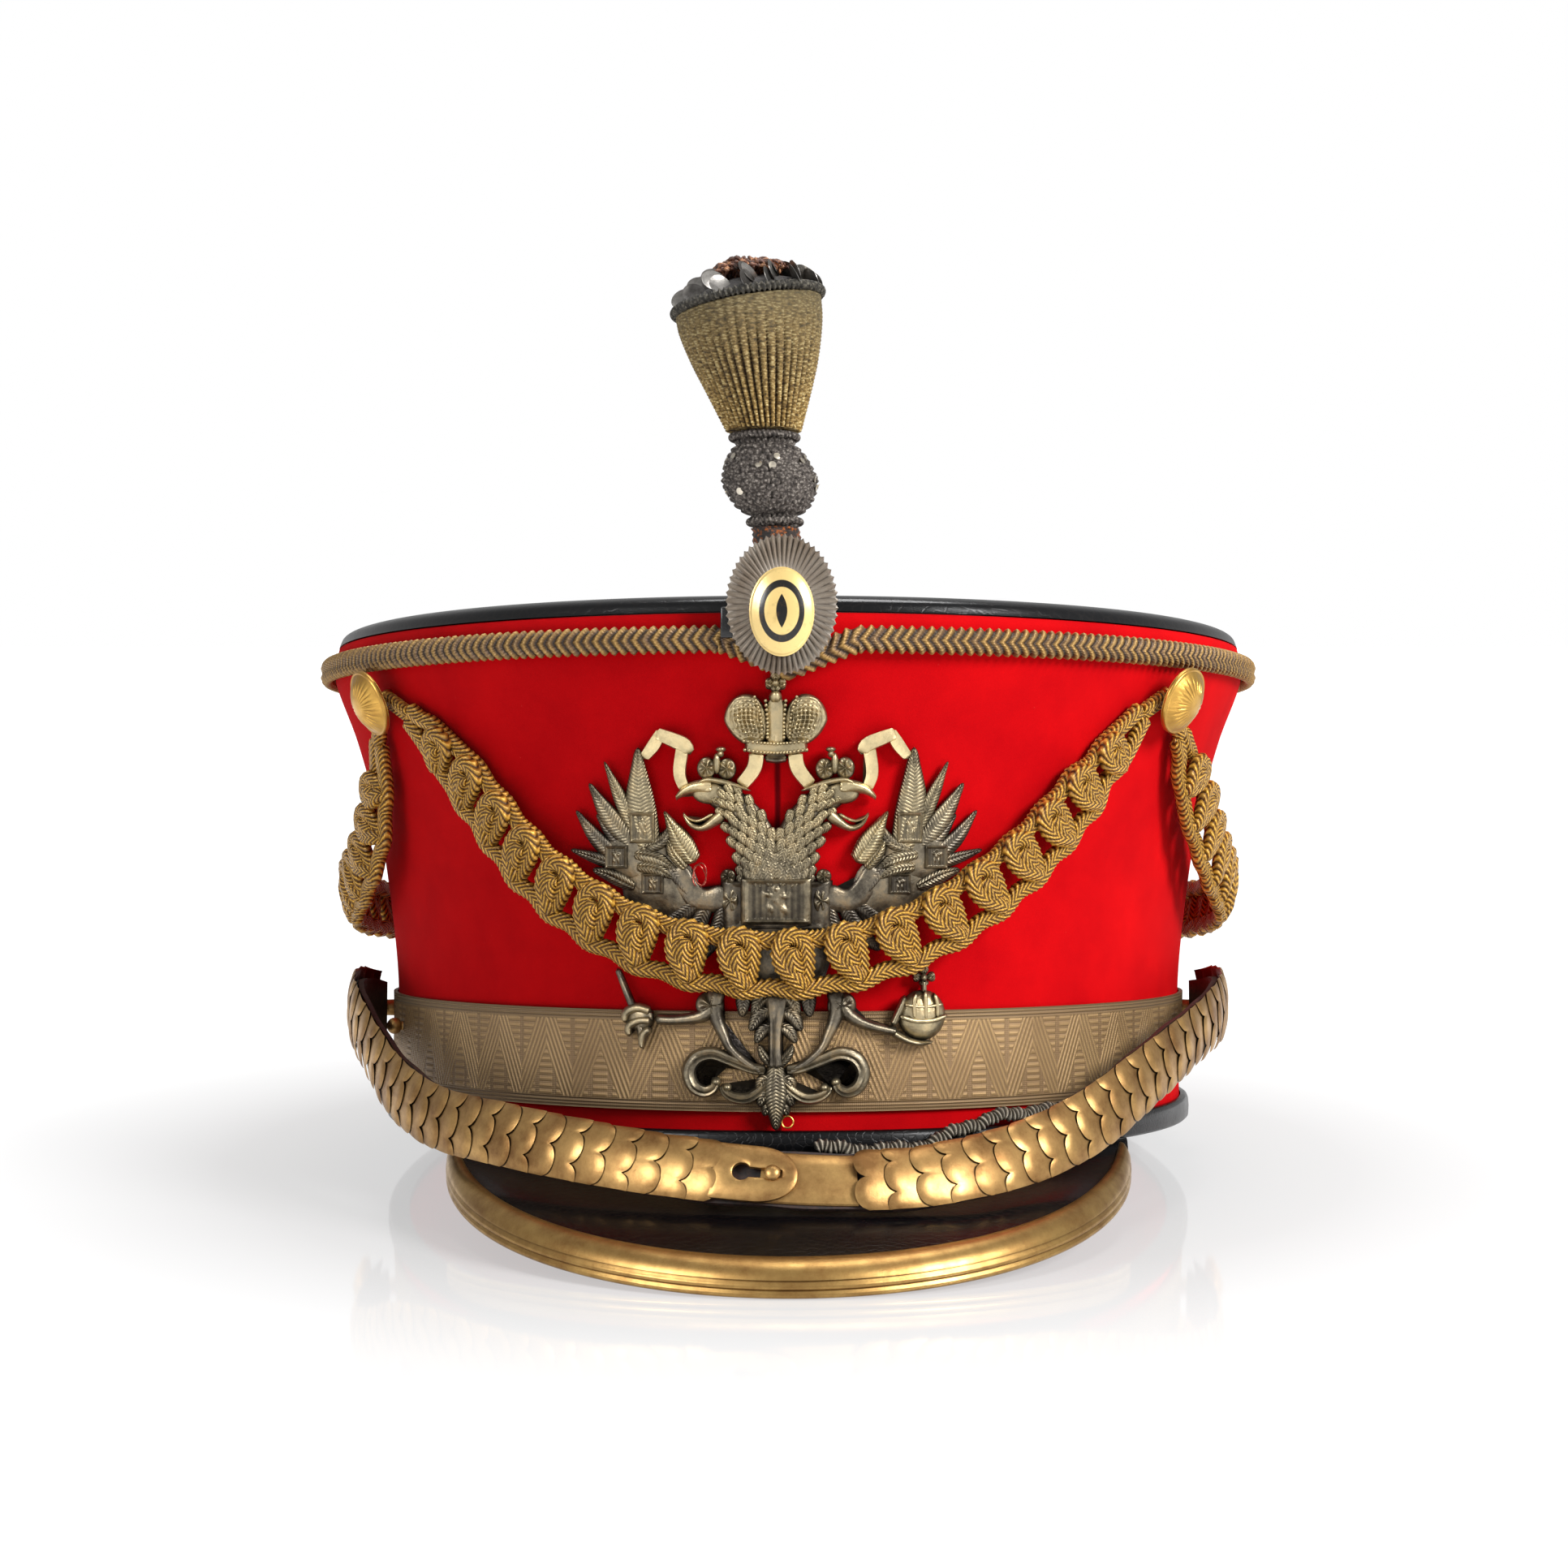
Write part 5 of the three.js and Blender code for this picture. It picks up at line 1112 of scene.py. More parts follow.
@dataclass
class Cords:
    """Top cord, festoons and their buttons."""

    top_level: float = 92.65
    top_dip: float = 5.0
    dip_half_angle: float = 7.0
    band_half: float = 6.9
    cord_half: float = 1.7
    tail: float = 7.0
    slant: float = 0.12
    front_loops: int = 18
    rear_loops: int = 52
    middle_out: float = 1.8
    button_level: float = 85.5
    button_angles: tuple[float, float] = (-54.6, 49.0)
    front: tuple[tuple[float, float, float], ...] = (
        (-49.8, 0.84, 0.5), (-41.6, 0.707, 1.4), (-30.8, 0.525, 3.4), (-18.4, 0.402, 4.4), (-6.7, 0.353, 4.6),
        (5.5, 0.358, 4.6), (17.1, 0.424, 4.4), (29.2, 0.558, 3), (40.5, 0.749, 1), (44.6, 0.84, 0.5),
    )
    rear: tuple[tuple[float, float, float], ...] = (
        (53.4, 0.8, 0.7), (60, 0.66, 3.4), (69, 0.53, 5.6), (84, 0.465, 6.2), (108, 0.42, 5.2), (145, 0.385, 3.5),
        (180, 0.375, 1.5), (215, 0.385, 3.5), (250, 0.42, 5.2), (275, 0.455, 6.2), (290, 0.51, 5.6),
        (297, 0.62, 3.4), (301, 0.79, 0.7),
    )

    def build_top(self) -> None:
        """The braid below the crown, which dips under the cockade."""
        plait = Plait(2.45, 1.45, pitch=2.05, lean=0.9, depth=0.15, groove=0.3, sides=16)
        angles = np.linspace(0, 360, 2161)
        from_front = np.abs((angles + 180) % 360 - 180)
        level = self.top_level - self.top_dip * np.clip(1 - from_front / self.dip_half_angle, 0, 1)
        piece = Workpiece("top_braid")
        plait.lay(piece, BODY.point(angles, level, CAD_CLEAR + 1.4), BODY.normal(angles, level), closed=True)
        # The first tint is painted shade in the grooves and the third is painted highlight on the crests.
        tints = colour(38, 24, 12), colour(112, 82, 42), colour(176, 138, 76), colour(98, 76, 64)
        piece.finish(CordFinish("top_braid", 2.05, 0.9, *tints, 0.6), Slot.TOP_CORD, "top_cord", sharp=180)

    def rails(self, route: Route, pitch: float, centres: Array) -> tuple[Array, Array]:
        """The two scalloped rails of a festoon, along, across and out of its route.

        Args:
            route: the festoon's route.
            pitch: distance between loops.
            centres: place of each loop.

        Returns:
            Corners of the lower and of the upper rail.
        """
        out, end = self.middle_out, route.length
        low, high = -(self.band_half - 1.6), self.band_half - 2.5
        lower = [(0, -1.5, out), (0.6 * self.tail, -1.9, out), (end - 0.4 * self.tail, -1.9, out), (end, -1.5, out)]
        drops = (0.2, 0.3, 0.3, 0.2)
        upper = [(row[0], -row[1], out - drop) for row, drop in zip(lower, drops, strict=True)]
        for centre in centres:
            spread = 0.72 if centre in (centres[0], centres[-1]) else 1.0
            foot = centre + self.slant * pitch
            lower += [(foot - 0.5 * pitch, (low + 0.8) * spread, out - 0.5), (foot, (low - 0.15) * spread, out - 0.3)]
            upper += [(centre - 0.5 * pitch, (high - 0.5) * spread, out - 0.7), (centre, high * spread, out - 1.0)]
        return np.array(sorted(lower), float), np.array(sorted(upper), float)

    def build_festoon(
        self, side: str, rows: Sequence[Sequence[float]], loops: int, leads: Sequence[float], plait: Plait
    ) -> None:
        """A festoon: two scalloped rails and a hooked loop in each cell.

        Args:
            side: front or rear.
            rows: route's rows.
            loops: count of loops.
            leads: angles of the buttons at its two ends.
            plait: the cord.
        """
        route = Route(rows)
        pitch = (route.length - 2 * self.tail) / loops
        low = -(self.band_half - 1.6)
        centres = self.tail + pitch * (np.arange(loops) + 0.5)
        foot = self.slant * pitch
        hook = np.array([
            (foot + 0.5, low + 0.2, 1.9), (foot - 0.9, low + 2.4, 2.9), (-1.8, -0.4, 3.1), (-2.4, 2.2, 3.0),
            (-1.5, 4.5, 2.9), (0.5, 5.0, 2.8), (2.1, 3.6, 2.7), (2.4, 1.0, 2.5), (foot + 0.9, low + 3.4, 2.1),
            (foot + 0.5, low + 1.0, 1.6),
        ])
        inner = np.array([(0.6, 3.0, 3.2), (-0.1, 1.4, 3.4), (0.2, -0.6, 3.2), (foot - 0.1, low + 3.0, 2.4)])
        lines = list(self.rails(route, pitch, centres))
        for centre in centres:
            spread = 0.8 if centre in (centres[0], centres[-1]) else 1.0
            lines += [path * np.array([1.0, spread, 1.0]) + np.array([centre, 0, 0]) for path in (hook, inner)]
        piece = Workpiece(f"{side}_festoon")
        for corners in lines:
            line = resampled(smoothed(corners, 6), plait.step)
            plait.lay(piece, route.point(*line.T), route.outward(line[:, 0]))
        for at, angle in zip((0.0, route.length), leads, strict=True):
            near = route.point(np.array([at]), 0.0, self.middle_out)[0]
            under, out = seat(angle, self.button_level, 1.9)
            line = near + (under - near) * np.linspace(-0.12, 0.8, 24)[:, None]
            plait.lay(piece, line, out)
        piece.finish(CordFinish("gold_plait"), Slot.CORD, f"festoon_{side}", sharp=180)

    def build_button(self, side: str, angle: float) -> None:
        """A domed button with faint rays.

        Args:
            side: left or right.
            angle: its angle from the front.
        """
        base, out = seat(angle, self.button_level)
        rows = [
            (0, 0.3), (1.4, 0.3), (1.4, 4.4), (6.2, 4.5), (6.7, 4.7), (6.75, 5.1), (6.5, 5.5), (6.2, 5.45), (5.6, 5.9),
            (4.2, 6.9), (2.2, 7.7), (0, 7.95),
        ]
        dome = lathe(base, out, rows, 4)

        def place(around: Array, share: Array) -> Array:
            """Points of the button, with engraved rays on its face."""
            points = dome(around, share)
            rise = (points - base) @ out
            reach = np.linalg.norm(points - base - np.outer(rise, out), axis=1)
            band = np.exp(-(((reach - 3.6) / 1.3) ** 2)) * (rise > 5.6)
            ray = np.clip(np.cos(2 * math.pi * 26 * around + 1.5 * np.sin(9 * around)), 0, 1)
            return points - out * (0.22 * band * ray)[:, None]

        piece = Workpiece(f"button_dome_{side}")
        piece.lay(208, 60, place, (40, 12))
        piece.finish(replace(GILT, name="button_gilt"), Slot.GILT, f"button_{side}")

    def build(self) -> None:
        """All the cords and buttons."""
        left, right = self.button_angles
        self.build_top()
        self.build_festoon("front", self.front, self.front_loops, (left, right), Plait(self.cord_half))
        rear = Plait(self.cord_half, step=0.7, sides=10)
        self.build_festoon("rear", self.rear, self.rear_loops, (right, left), rear)
        self.build_button("left", left)
        self.build_button("right", right)


@dataclass
class ChinStrap:
    """Leather strap with lobed scales, its clasp, bosses, studs and the wound cord."""

    width: float = 11.6
    leather: float = 1.15
    pitch: float = 5.15
    scale_length: float = 10.4
    lobe_depth: float = 2.3
    crown: float = 1.5
    lift: float = 0.66
    metal: float = 0.28
    clasp_overlap: float = 1.2
    scales_end_left: float = 14.7
    scales_end_right: float = 10.8
    plate_length: float = 14.4
    plate_half: float = 5.3
    keyhole_at: float = 4.6
    keyhole_radius: float = 1.6
    slot_half: float = 0.9
    slot_end: float = 11.6
    rows: tuple[tuple[float, ...], ...] = (
        (-87, 0.21, 3), (-80, 0.226, 6.5), (-71, 0.208, 8.5), (-62, 0.149, 8.7), (-53, 0.078, 9.4, 4),
        (-43, 0.032, 11, 9), (-32, 0.012, 13, 16), (-22, -0.008, 15, 22), (-12, -0.03, 16.6, 27), (0, -0.05, 17.8, 30),
        (10, -0.054, 18.2, 31), (17, -0.04, 17.6, 29), (25, -0.014, 15, 22), (34, 0.033, 12.4, 14),
        (45, 0.107, 9.8, 6), (57, 0.172, 8.6), (69, 0.218, 8.4), (80, 0.228, 6.5), (87, 0.212, 3),
    )
    wound: tuple[tuple[float, float, float], ...] = (
        (58, 0.148, 3.25), (52.3, 0.144, 3.25), (44.8, 0.09, 3.25), (38, 0.062, 3.25), (34.7, 0.052, 3.25),
        (27.5, 0.048, 3.25), (22, 0.03, 3.25), (15.9, -0.004, 3.25), (11, -0.008, 3.25), (7, -0.006, 3.25),
        (3, 0, 3.25),
    )
    route: Route = field(init=False)

    def __post_init__(self) -> None:
        """Lays the route."""
        self.route = Route(self.rows)

    @property
    def clasp_tip(self) -> float:
        """Where the left clasp plate ends."""
        return 0.5 * self.route.length + self.clasp_overlap

    def build_leather(self) -> None:
        """The strap's leather, seen along its edges and between the scales."""
        half = 0.5 * self.width - 0.3
        section = [(-half, 0.1), (-half, self.leather), (half, self.leather), (half, 0.1)]

        def point(along: Array, across: Array, out: Array) -> Array:
            """Points of the strap."""
            ragged = 1 + 0.05 * np.sin(37 * along) * np.sin(91 * along + 1)
            return self.route.point(along * self.route.length, across * ragged, out)

        piece = Workpiece("chin_leather")
        piece.loft(220, Outline(section, closed=True), point, (336, 26))
        piece.finish(PlainFinish("strap_leather", colour(58, 36, 28), colour(22, 15, 13), 0.6), Slot.LEATHER)

    @staticmethod
    def lobe(across: Array, lobes: int) -> Array:
        """How far the free edge reaches, with 2 whole lobes or a whole one between two halves."""
        place = across if lobes == 2 else across + 0.5
        return np.sqrt(np.clip(1 - 0.97 * ((place % 1.0) * 2 - 1) ** 2, 0.03, 1))

    def lay_scale(self, piece: Workpiece, root: float, heading: int, lobes: int, near_boss: float) -> None:
        """Lays one scale, whose lobes face the clasp.

        Args:
            piece: piece that gets the scale.
            root: place of its hidden end along the strap.
            heading: 1 where the clasp is further along, or -1.
            lobes: 2 for two whole lobes, 3 for a whole one between two halves.
            near_boss: 0 to 1, how far it stands up beside the boss.
        """
        half = 0.5 * self.width + 0.15 + 2.3 * near_boss
        length = self.scale_length

        def place(across: Array, share: Array) -> Array:
            """Points of the scale, top then underside."""
            v = 2 * across - 1
            lobe = self.lobe(v, lobes)
            under = share > 0.5
            u = np.where(under, 2 - 2 * share, 2 * share)
            free = length - self.lobe_depth * (1 - lobe) - 0.5 * v**8
            pointed = 2.2 * near_boss * (1 - np.abs(v)) * (1 - u)
            bow = self.crown * (1 - v**2) ** 0.75 * (0.7 + 0.3 * u)
            swell = 0.42 * lobe * np.sin(math.pi * np.clip(u, 0, 1)) ** 0.5 * u
            edge = self.lift * u + 0.9 * near_boss * (1 - u) * u - 0.16 * np.exp(-(((u - 1) / 0.07) ** 2))
            thick = self.metal * np.clip((1 - np.abs(v)) * 12, 0, 1) * np.clip(u * 8, 0, 1)
            out = self.leather + 0.15 + bow + swell + edge - np.where(under, thick, 0)
            side = v * half * (1 - 0.035 * (1 - u))
            return self.route.point(root + heading * (u * free - pointed), side, out)

        def dirt_and_shade(across: Array, share: Array) -> Array:
            """Painted shade just past the free edge of the scale before, which lies over this one."""
            u = np.where(share > 0.5, 2 - 2 * share, 2 * share)
            covered = length - self.lobe_depth * (1 - self.lobe(2 * across - 1, 5 - lobes)) - self.pitch
            return 1 - (u * length - covered) / 0.3

        value = noise.noise(Vector((root * 0.31, heading, lobes))) * 0.5 + 0.5
        # The second mark paints shade under the edge of the scale before.
        piece.lay(28, 20, place, (self.width, 2 * length), tint=value, dirt_and_shade=dirt_and_shade)

    def build_scales(self, side: str, first: float, last: float) -> None:
        """One side's scales.

        Args:
            side: left or right.
            first: place of the first scale's hidden end, at the boss.
            last: place of the last scale's free end.
        """
        piece = Workpiece(f"scales_{side}")
        heading = 1 if last > first else -1
        run = abs(last - first) - self.scale_length
        count = int(run / self.pitch) + 1
        for index in range(count):
            near = max(0.0, 1 - index / 9) ** 1.2
            lobes = 2 if (count - 1 - index) % 2 == 0 else 3
            self.lay_scale(piece, first + heading * run / (count - 1) * index, heading, lobes, near)
        piece.finish(BRASS, Slot.SCALES, f"chin_scales_{side}", sharp=38)

    def build_left_plate(self) -> None:
        """The upper clasp plate with its keyhole."""
        count = 96
        length, half = self.plate_length, self.plate_half

        def in_plate(x: Array, y: Array) -> Array:
            """Says which points are in the plate."""
            taper = np.clip((x - 0.45 * length) / (0.55 * length), 0, 1)
            return (x > -0.6) & (x < length) & (np.abs(y) < half * np.sqrt(np.clip(1 - 0.98 * taper**2.4, 0, 1)))

        def in_keyhole(x: Array, y: Array) -> Array:
            """Says which points are in the keyhole."""
            slot = (x > self.keyhole_at) & (x < self.slot_end) & (np.abs(y) < self.slot_half)
            return (np.hypot(x - self.keyhole_at, y) < self.keyhole_radius) | slot

        centre = (self.keyhole_at + 1.3, 0.0)
        edges = Outline(np.stack([boundary(inside, centre, count) for inside in (in_keyhole, in_plate)], -1))
        rows = [(0.0, 2.35), (0.02, 3.0), (0.06, 3.1), (0.5, 3.25), (0.94, 3.1), (1.0, 2.95), (1.0, 2.35)]

        def point(around: Array, share: Array, out: Array) -> Array:
            """Points of the plate between its two edges."""
            inner, outer = edges(around)
            reach = inner + (outer - inner) * share
            x = centre[0] + reach * np.cos(2 * math.pi * around)
            y = reach * np.sin(2 * math.pi * around)
            return self.route.point(self.clasp_tip - length + x, y, out + 0.5 * (1 - (y / half) ** 2) - 0.3)

        piece = Workpiece("clasp_plate_keyhole")
        piece.loft(count, Outline(rows, closed=True), point, (40, 20), 14)
        piece.finish(replace(BRASS, name="clasp_brass"), Slot.SCALES, "clasp_plate_left", sharp=40)

    def build_right_plate(self) -> None:
        """The lower clasp plate with its stud."""
        start, length, half = self.clasp_tip - 6.5, 17.0, 4.9
        section = [(-half, 1.25), (-half, 1.75), (-half + 0.3, 2.0), (half - 0.3, 2.0), (half, 1.75), (half, 1.25)]

        def point(along: Array, across: Array, out: Array) -> Array:
            """Points of the plate."""
            bow = 0.45 * (1 - (across / half) ** 2)
            return self.route.point(start + along * length, across, out + bow - 0.25)

        piece = Workpiece("clasp_plate_stud")
        piece.loft(40, Outline(section, closed=True), point, (17, 24), 24)
        stud = np.array([self.clasp_tip - 4.4])
        rows = [(0, 1.9), (0.8, 1.9), (0.8, 3.2), (1.35, 3.4), (1.45, 3.8), (1.2, 4.15), (0.7, 4.4), (0, 4.5)]
        shank = lathe(self.route.point(stud, 0.0, 0.0)[0], self.route.outward(stud)[0], rows)
        piece.lay(24, 14, shank, (4, 4))
        piece.finish(replace(BRASS, name="clasp_brass"), Slot.SCALES, "clasp_plate_right", sharp=40)

    def build_fittings(self) -> None:
        """Bosses and ball studs."""
        boss = [
            (0, 1.4), (1.8, 1.4), (1.8, 8.2), (5.9, 8.2), (6.4, 8.6), (6.5, 9.1), (6.2, 9.6), (5.7, 9.5), (5.2, 9.7),
            (4.2, 10.6), (2.6, 11.0), (2.2, 10.8), (1.7, 11.2), (0.8, 11.6), (0, 11.7),
        ]
        stud = [(0, 1.4), (0.9, 1.4), (0.9, 1.8), (1.5, 2.3), (1.7, 3.1), (1.5, 3.9), (0.9, 4.5), (0, 4.8)]
        fittings = (
            ("boss_left", "strap_boss_left", -89.2, 20.2, boss), ("boss_right", "strap_boss_right", 89.2, 20.2, boss),
            ("stud_left", "ball_stud_left", -68.0, 18.3, stud), ("stud_right", "ball_stud_right", 67.0, 16.6, stud),
        )
        for name, node, angle, level, rows in fittings:
            piece = Workpiece(name)
            piece.lay(40, 40, lathe(*seat(angle, level), rows, 3), (12, 12))
            piece.finish(replace(BRASS, name="fitting_brass"), Slot.SCALES, node, sharp=45)

    def build_wound(self) -> None:
        """The thin cord that is bound with grey yarn, with its knot."""
        route = Route(self.wound)
        plait = Plait(1.2, 1.15, pitch=0.85, lean=0.0, depth=0.2, groove=0.0, twist=1)
        piece = Workpiece("wound_cord")
        along = np.linspace(0, route.length, int(route.length / 0.17))
        wander = 0.35 * np.sin(0.55 * along) + 0.2 * np.sin(1.7 * along + 1)
        plait.lay(piece, route.point(along, wander, 0.05 * np.sin(0.9 * along)), route.outward(along))
        turn = np.linspace(0, 2 * math.pi, 70)
        facing = route.outward(np.array([3.2])) + 0.3 * BODY.normal(40 * turn, 20 + 0 * turn)
        for tilt, across in ((0.5, 0.3), (2.2, -0.2)):
            x = 3.2 + 1.5 * np.cos(turn) * math.cos(tilt)
            out = 0.6 + 1.1 * np.cos(turn) * math.sin(tilt)
            plait.lay(piece, route.point(x, across + 1.6 * np.sin(turn), out), facing, closed=True)
        # The first tint is painted shade in the grooves and the third is painted highlight on the crests.
        tints = colour(44, 38, 34), colour(140, 130, 114), colour(206, 196, 176), colour(78, 68, 60)
        finish = CordFinish("grey_binding", 0.85, 0.0, *tints, 0.4, 0.25)
        piece.finish(finish, Slot.WOUND, "wound_cord", sharp=180)

    def build(self) -> None:
        """All the strap's pieces."""
        self.build_leather()
        self.build_scales("left", -1.0, self.clasp_tip - self.scales_end_left + 1.5)
        self.build_scales("right", self.route.length + 1.0, self.clasp_tip + self.scales_end_right - 1.0)
        self.build_left_plate()
        self.build_right_plate()
        self.build_fittings()
        self.build_wound()


@dataclass
class Plume:
    """Stem, twisted rings, knitted ball, coiled cup, sequins and tuft."""

    base: tuple[float, float, float] = (-1.3, -114.5, 101.4)
    lean: float = 7.0
    lean_from: float = 2.28
    cup_foot: float = 29.2
    cup_height: float = 22.5
    foot_radius: float = 6.6
    rim_radius: float = 13.4
    rim_tilt: float = 9.0
    ribs: int = 44
    rib_depth: float = 0.5
    coil: float = 0.62
    sequin: float = 1.95
    seed: int = 7

    def spot(self, x: Array, y: Array, height: Array, tilt: Array | float = 0.0) -> Array:
        """Points at places about the leaning axis.

        Args:
            x: distance to the wearer's left.
            y: distance towards the back.
            height: height over the base.
            tilt: share of the rim's tilt.

        Returns:
            Points in the hat's frame.
        """
        rise = height + math.tan(math.radians(self.rim_tilt)) * x * tilt
        lean = math.tan(math.radians(self.lean)) * np.maximum(rise - self.lean_from, 0)
        return np.stack([self.base[0] + x - lean, self.base[1] + y, self.base[2] + rise], -1)

    def about(self, turn: Array, reach: Array | float, height: Array | float, tilt: Array | float = 0.0) -> Array:
        """Points at turns and distances about the leaning axis."""
        return self.spot(reach * np.sin(turn), -reach * np.cos(turn), height + 0 * turn, tilt)

    def turned(
        self, rows: Sequence[tuple[float, float]], smooth: int,
        relief: Callable[[Array, Array], Array] | None = None, tilt: float = 0.0,
    ) -> Place:
        """Surface about the leaning axis.

        Args:
            rows: radius and height of each row.
            smooth: steps between rows.
            relief: extra radius by the turn and height.
            tilt: share of the rim's tilt.

        Returns:
            Placement by the share round and the share of the rows.
        """
        outline = Outline(rows, smooth)

        def place(around: Array, share: Array) -> Array:
            """Points of the surface."""
            turn = 2 * math.pi * around
            reach, height = outline(share)
            if relief is not None:
                reach = reach + relief(turn, height) * (reach > 0.5)
            return self.about(turn, np.maximum(reach, 0), height, tilt)

        return place

    def lay_hoop(self, name: str, plait: Plait, radius: float, height: float, tilt: float = 0.0) -> Workpiece:
        """A twisted cord round the axis.

        Args:
            name: piece's name.
            plait: the cord.
            radius: its radius.
            height: its height over the base.
            tilt: share of the rim's tilt.

        Returns:
            The piece, not finished.
        """
        turn = np.linspace(0, 2 * math.pi, 500 if tilt else 281)
        outward = np.stack([np.sin(turn), -np.cos(turn), 0 * turn], -1)
        piece = Workpiece(name)
        plait.lay(piece, self.about(turn, radius, height, tilt), outward, closed=True)
        return piece

    def build_ring(self, level: str, radius: float, height: float) -> None:
        """A twisted ring, low or high."""
        piece = self.lay_hoop(f"ring_{level}", Plait.round(0.62, 0.8, 0.26, twist=1), radius, height)
        piece.finish(self.yarn_finish("ring_yarn"), Slot.YARN, f"plume_ring_{level}", sharp=180)

    @staticmethod
    def yarn_finish(name: str) -> YarnFinish:
        """Dark silver yarn."""
        return YarnFinish(name, colour(26, 23, 22), colour(96, 88, 82), colour(178, 170, 160), 1.7, 0.45)

    def build_stem(self) -> None:
        """The wrapped stem with the tongue behind the cockade."""
        radius = 4.5
        shares = ((0, 0), (0.86, 0.0), (0.9, 0.6), (1, 5.7), (0.95, 10.8), (0.9, 11.4), (0, 11.4))

        def wraps(turn: Array, height: Array) -> Array:
            """Ridges of the wrapped threads."""
            return 0.16 * np.cos(2 * math.pi * (height / 1.05 + 3 * turn / (2 * math.pi)))

        piece = Workpiece("stem_wrap")
        rows = [(share * radius, height) for share, height in shares]
        piece.lay(64, 48, self.turned(rows, 6, wraps), (28, 12))
        piece.box((self.base[0], self.base[1] - radius + 0.55, self.base[2] - 4), (6.0, 1.1, 12.0))
        finish = YarnFinish("stem_threads", colour(18, 14, 12), colour(52, 42, 36), colour(196, 104, 28), 1.1, 0.1)
        piece.finish(finish, Slot.STEM, "plume_stem")

    def build_ball(self) -> None:
        """The knitted ball with sequin glints."""
        foot, radius, height = 13.8, 8.4, 13.0
        shares = (
            (0, -0.19), (0.46, -0.19), (0.5, -0.02), (0.78, 0.12), (1.0, 0.4), (0.98, 0.6), (0.8, 0.86), (0.62, 1.0),
            (0.62, 1.16), (0, 1.16),
        )
        rows = [(share * radius, foot + rise * height) for share, rise in shares]

        def knit(turn: Array, level: Array) -> Array:
            """Stitches in staggered rows."""
            row = level / 1.15
            stitch = 28 * turn / (2 * math.pi) + 0.5 * np.floor(row)
            return np.abs(np.sin(math.pi * row)) ** 0.6 * np.abs(np.sin(math.pi * stitch)) ** 0.6 - 0.6

        piece = Workpiece("knitted_ball")
        piece.lay(272, 100, self.turned(rows, 8, knit), (50, 24))
        piece.finish(self.yarn_finish("knit_yarn"), Slot.YARN, "plume_ball", sharp=180)
        rng = np.random.default_rng(self.seed)
        glints = Workpiece("ball_glints")
        radii, levels = zip(*rows[1:-1], strict=True)
        glint = [(0, -0.1), (0.62, -0.1), (0.68, 0.02), (0.4, 0.08), (0, 0.1)]
        for _ in range(26):
            turn = rng.uniform(0, 2 * math.pi)
            level = rng.uniform(17.5, 24.5)
            centre = self.about(np.array([turn]), np.interp(level, levels, radii) + 0.3, level)[0]
            spread = rng.normal(0, 0.2), rng.normal(0, 0.2), rng.normal((level - 20) * 0.12, 0.15)
            out = unit(np.array([math.sin(turn), -math.cos(turn), 0]) + spread)
            glints.lay(12, 4, lathe(centre, out, glint))
        tints = colour(214, 206, 190), colour(150, 132, 100), colour(60, 52, 46)
        glints.finish(MetalFinish("ball_sequins", *tints, 0.18, 0.4), Slot.YARN)

    def coils(self, turn: Array, height: Array) -> tuple[Array, Array]:
        """Ribs of the cup and ripples of their coils.

        Args:
            turn: angle about the axis.
            height: height over the cup's foot.

        Returns:
            Height of the rib and of the ripple at each place.
        """
        wobble = 0.5 * np.sin(5 * turn + 0.22 * height) + 0.35 * np.sin(11 * turn)
        rib = np.abs(np.cos(0.5 * (self.ribs * turn + 0.5 * wobble)))
        phase = 2 * math.pi * height / self.coil + 2.2 * wobble + 1.3 * np.sin(3 * self.ribs * turn)
        return rib, np.cos(phase)

    def build_cup(self) -> None:
        """The cup of upright coiled ribs with its rim cord."""
        flares = SmoothTable((0, 0.3, 0.6, 0.85, 1), (0, 0.38, 0.74, 0.96, 1))

        def place(around: Array, share: Array) -> Array:
            """Points of the cup: foot, wall and lid."""
            turn = 2 * math.pi * around
            inner = np.clip(share * 1.06 - 0.03, 0, 1)
            rib, ripple = self.coils(turn, inner * self.cup_height)
            fade = 1 - 0.85 * np.clip((inner - 0.5) / 0.42, 0, 1)
            reach = self.foot_radius + (self.rim_radius - self.foot_radius) * flares(inner)
            reach = reach + self.rib_depth * (rib**0.6 - 0.8) * 2.6 * fade + 0.12 * ripple
            reach = np.where((share < 0.015) | (share > 0.985), 0.0, reach)
            return self.about(turn, reach, self.cup_foot + inner * self.cup_height, inner**2)

        def height(around: Array, share: Array) -> Array:
            """How far a place stands out of the grooves between ribs and coils."""
            level = np.clip(share * 1.06 - 0.03, 0, 1) * self.cup_height
            rib, ripple = self.coils(2 * math.pi * around, level)
            fade = 0.9 * np.clip((level / self.cup_height - 0.45) / 0.4, 0, 1)
            return np.clip(rib**0.8 * (1 - fade) + fade + 0.18 * ripple, 0, 1)

        piece = Workpiece("coiled_cup")
        piece.lay(8 * self.ribs, 150, place, (84, self.cup_height), height=height)
        # The palest tint paints highlights on the coils; the darkest also paints the shade in the grooves.
        tints = colour(46, 28, 12), colour(172, 138, 74), colour(250, 232, 172)
        finish = YarnFinish("bullion_coils", *tints, 0.95, 0.4, True, colour(92, 86, 66), 152.0, 176.0, 2.8)
        piece.finish(finish, Slot.BULLION, "plume_cup", sharp=180)
        top = self.cup_foot + self.cup_height + 0.9
        rim = self.lay_hoop("cup_rim_cord", Plait.round(0.85, 0.95, 0.3, twist=1), self.rim_radius + 0.1, top, 1.0)
        finish = YarnFinish("rim_yarn", colour(20, 19, 17), colour(70, 66, 58), colour(128, 122, 108), 1.4, 0.35)
        rim.finish(finish, Slot.YARN)

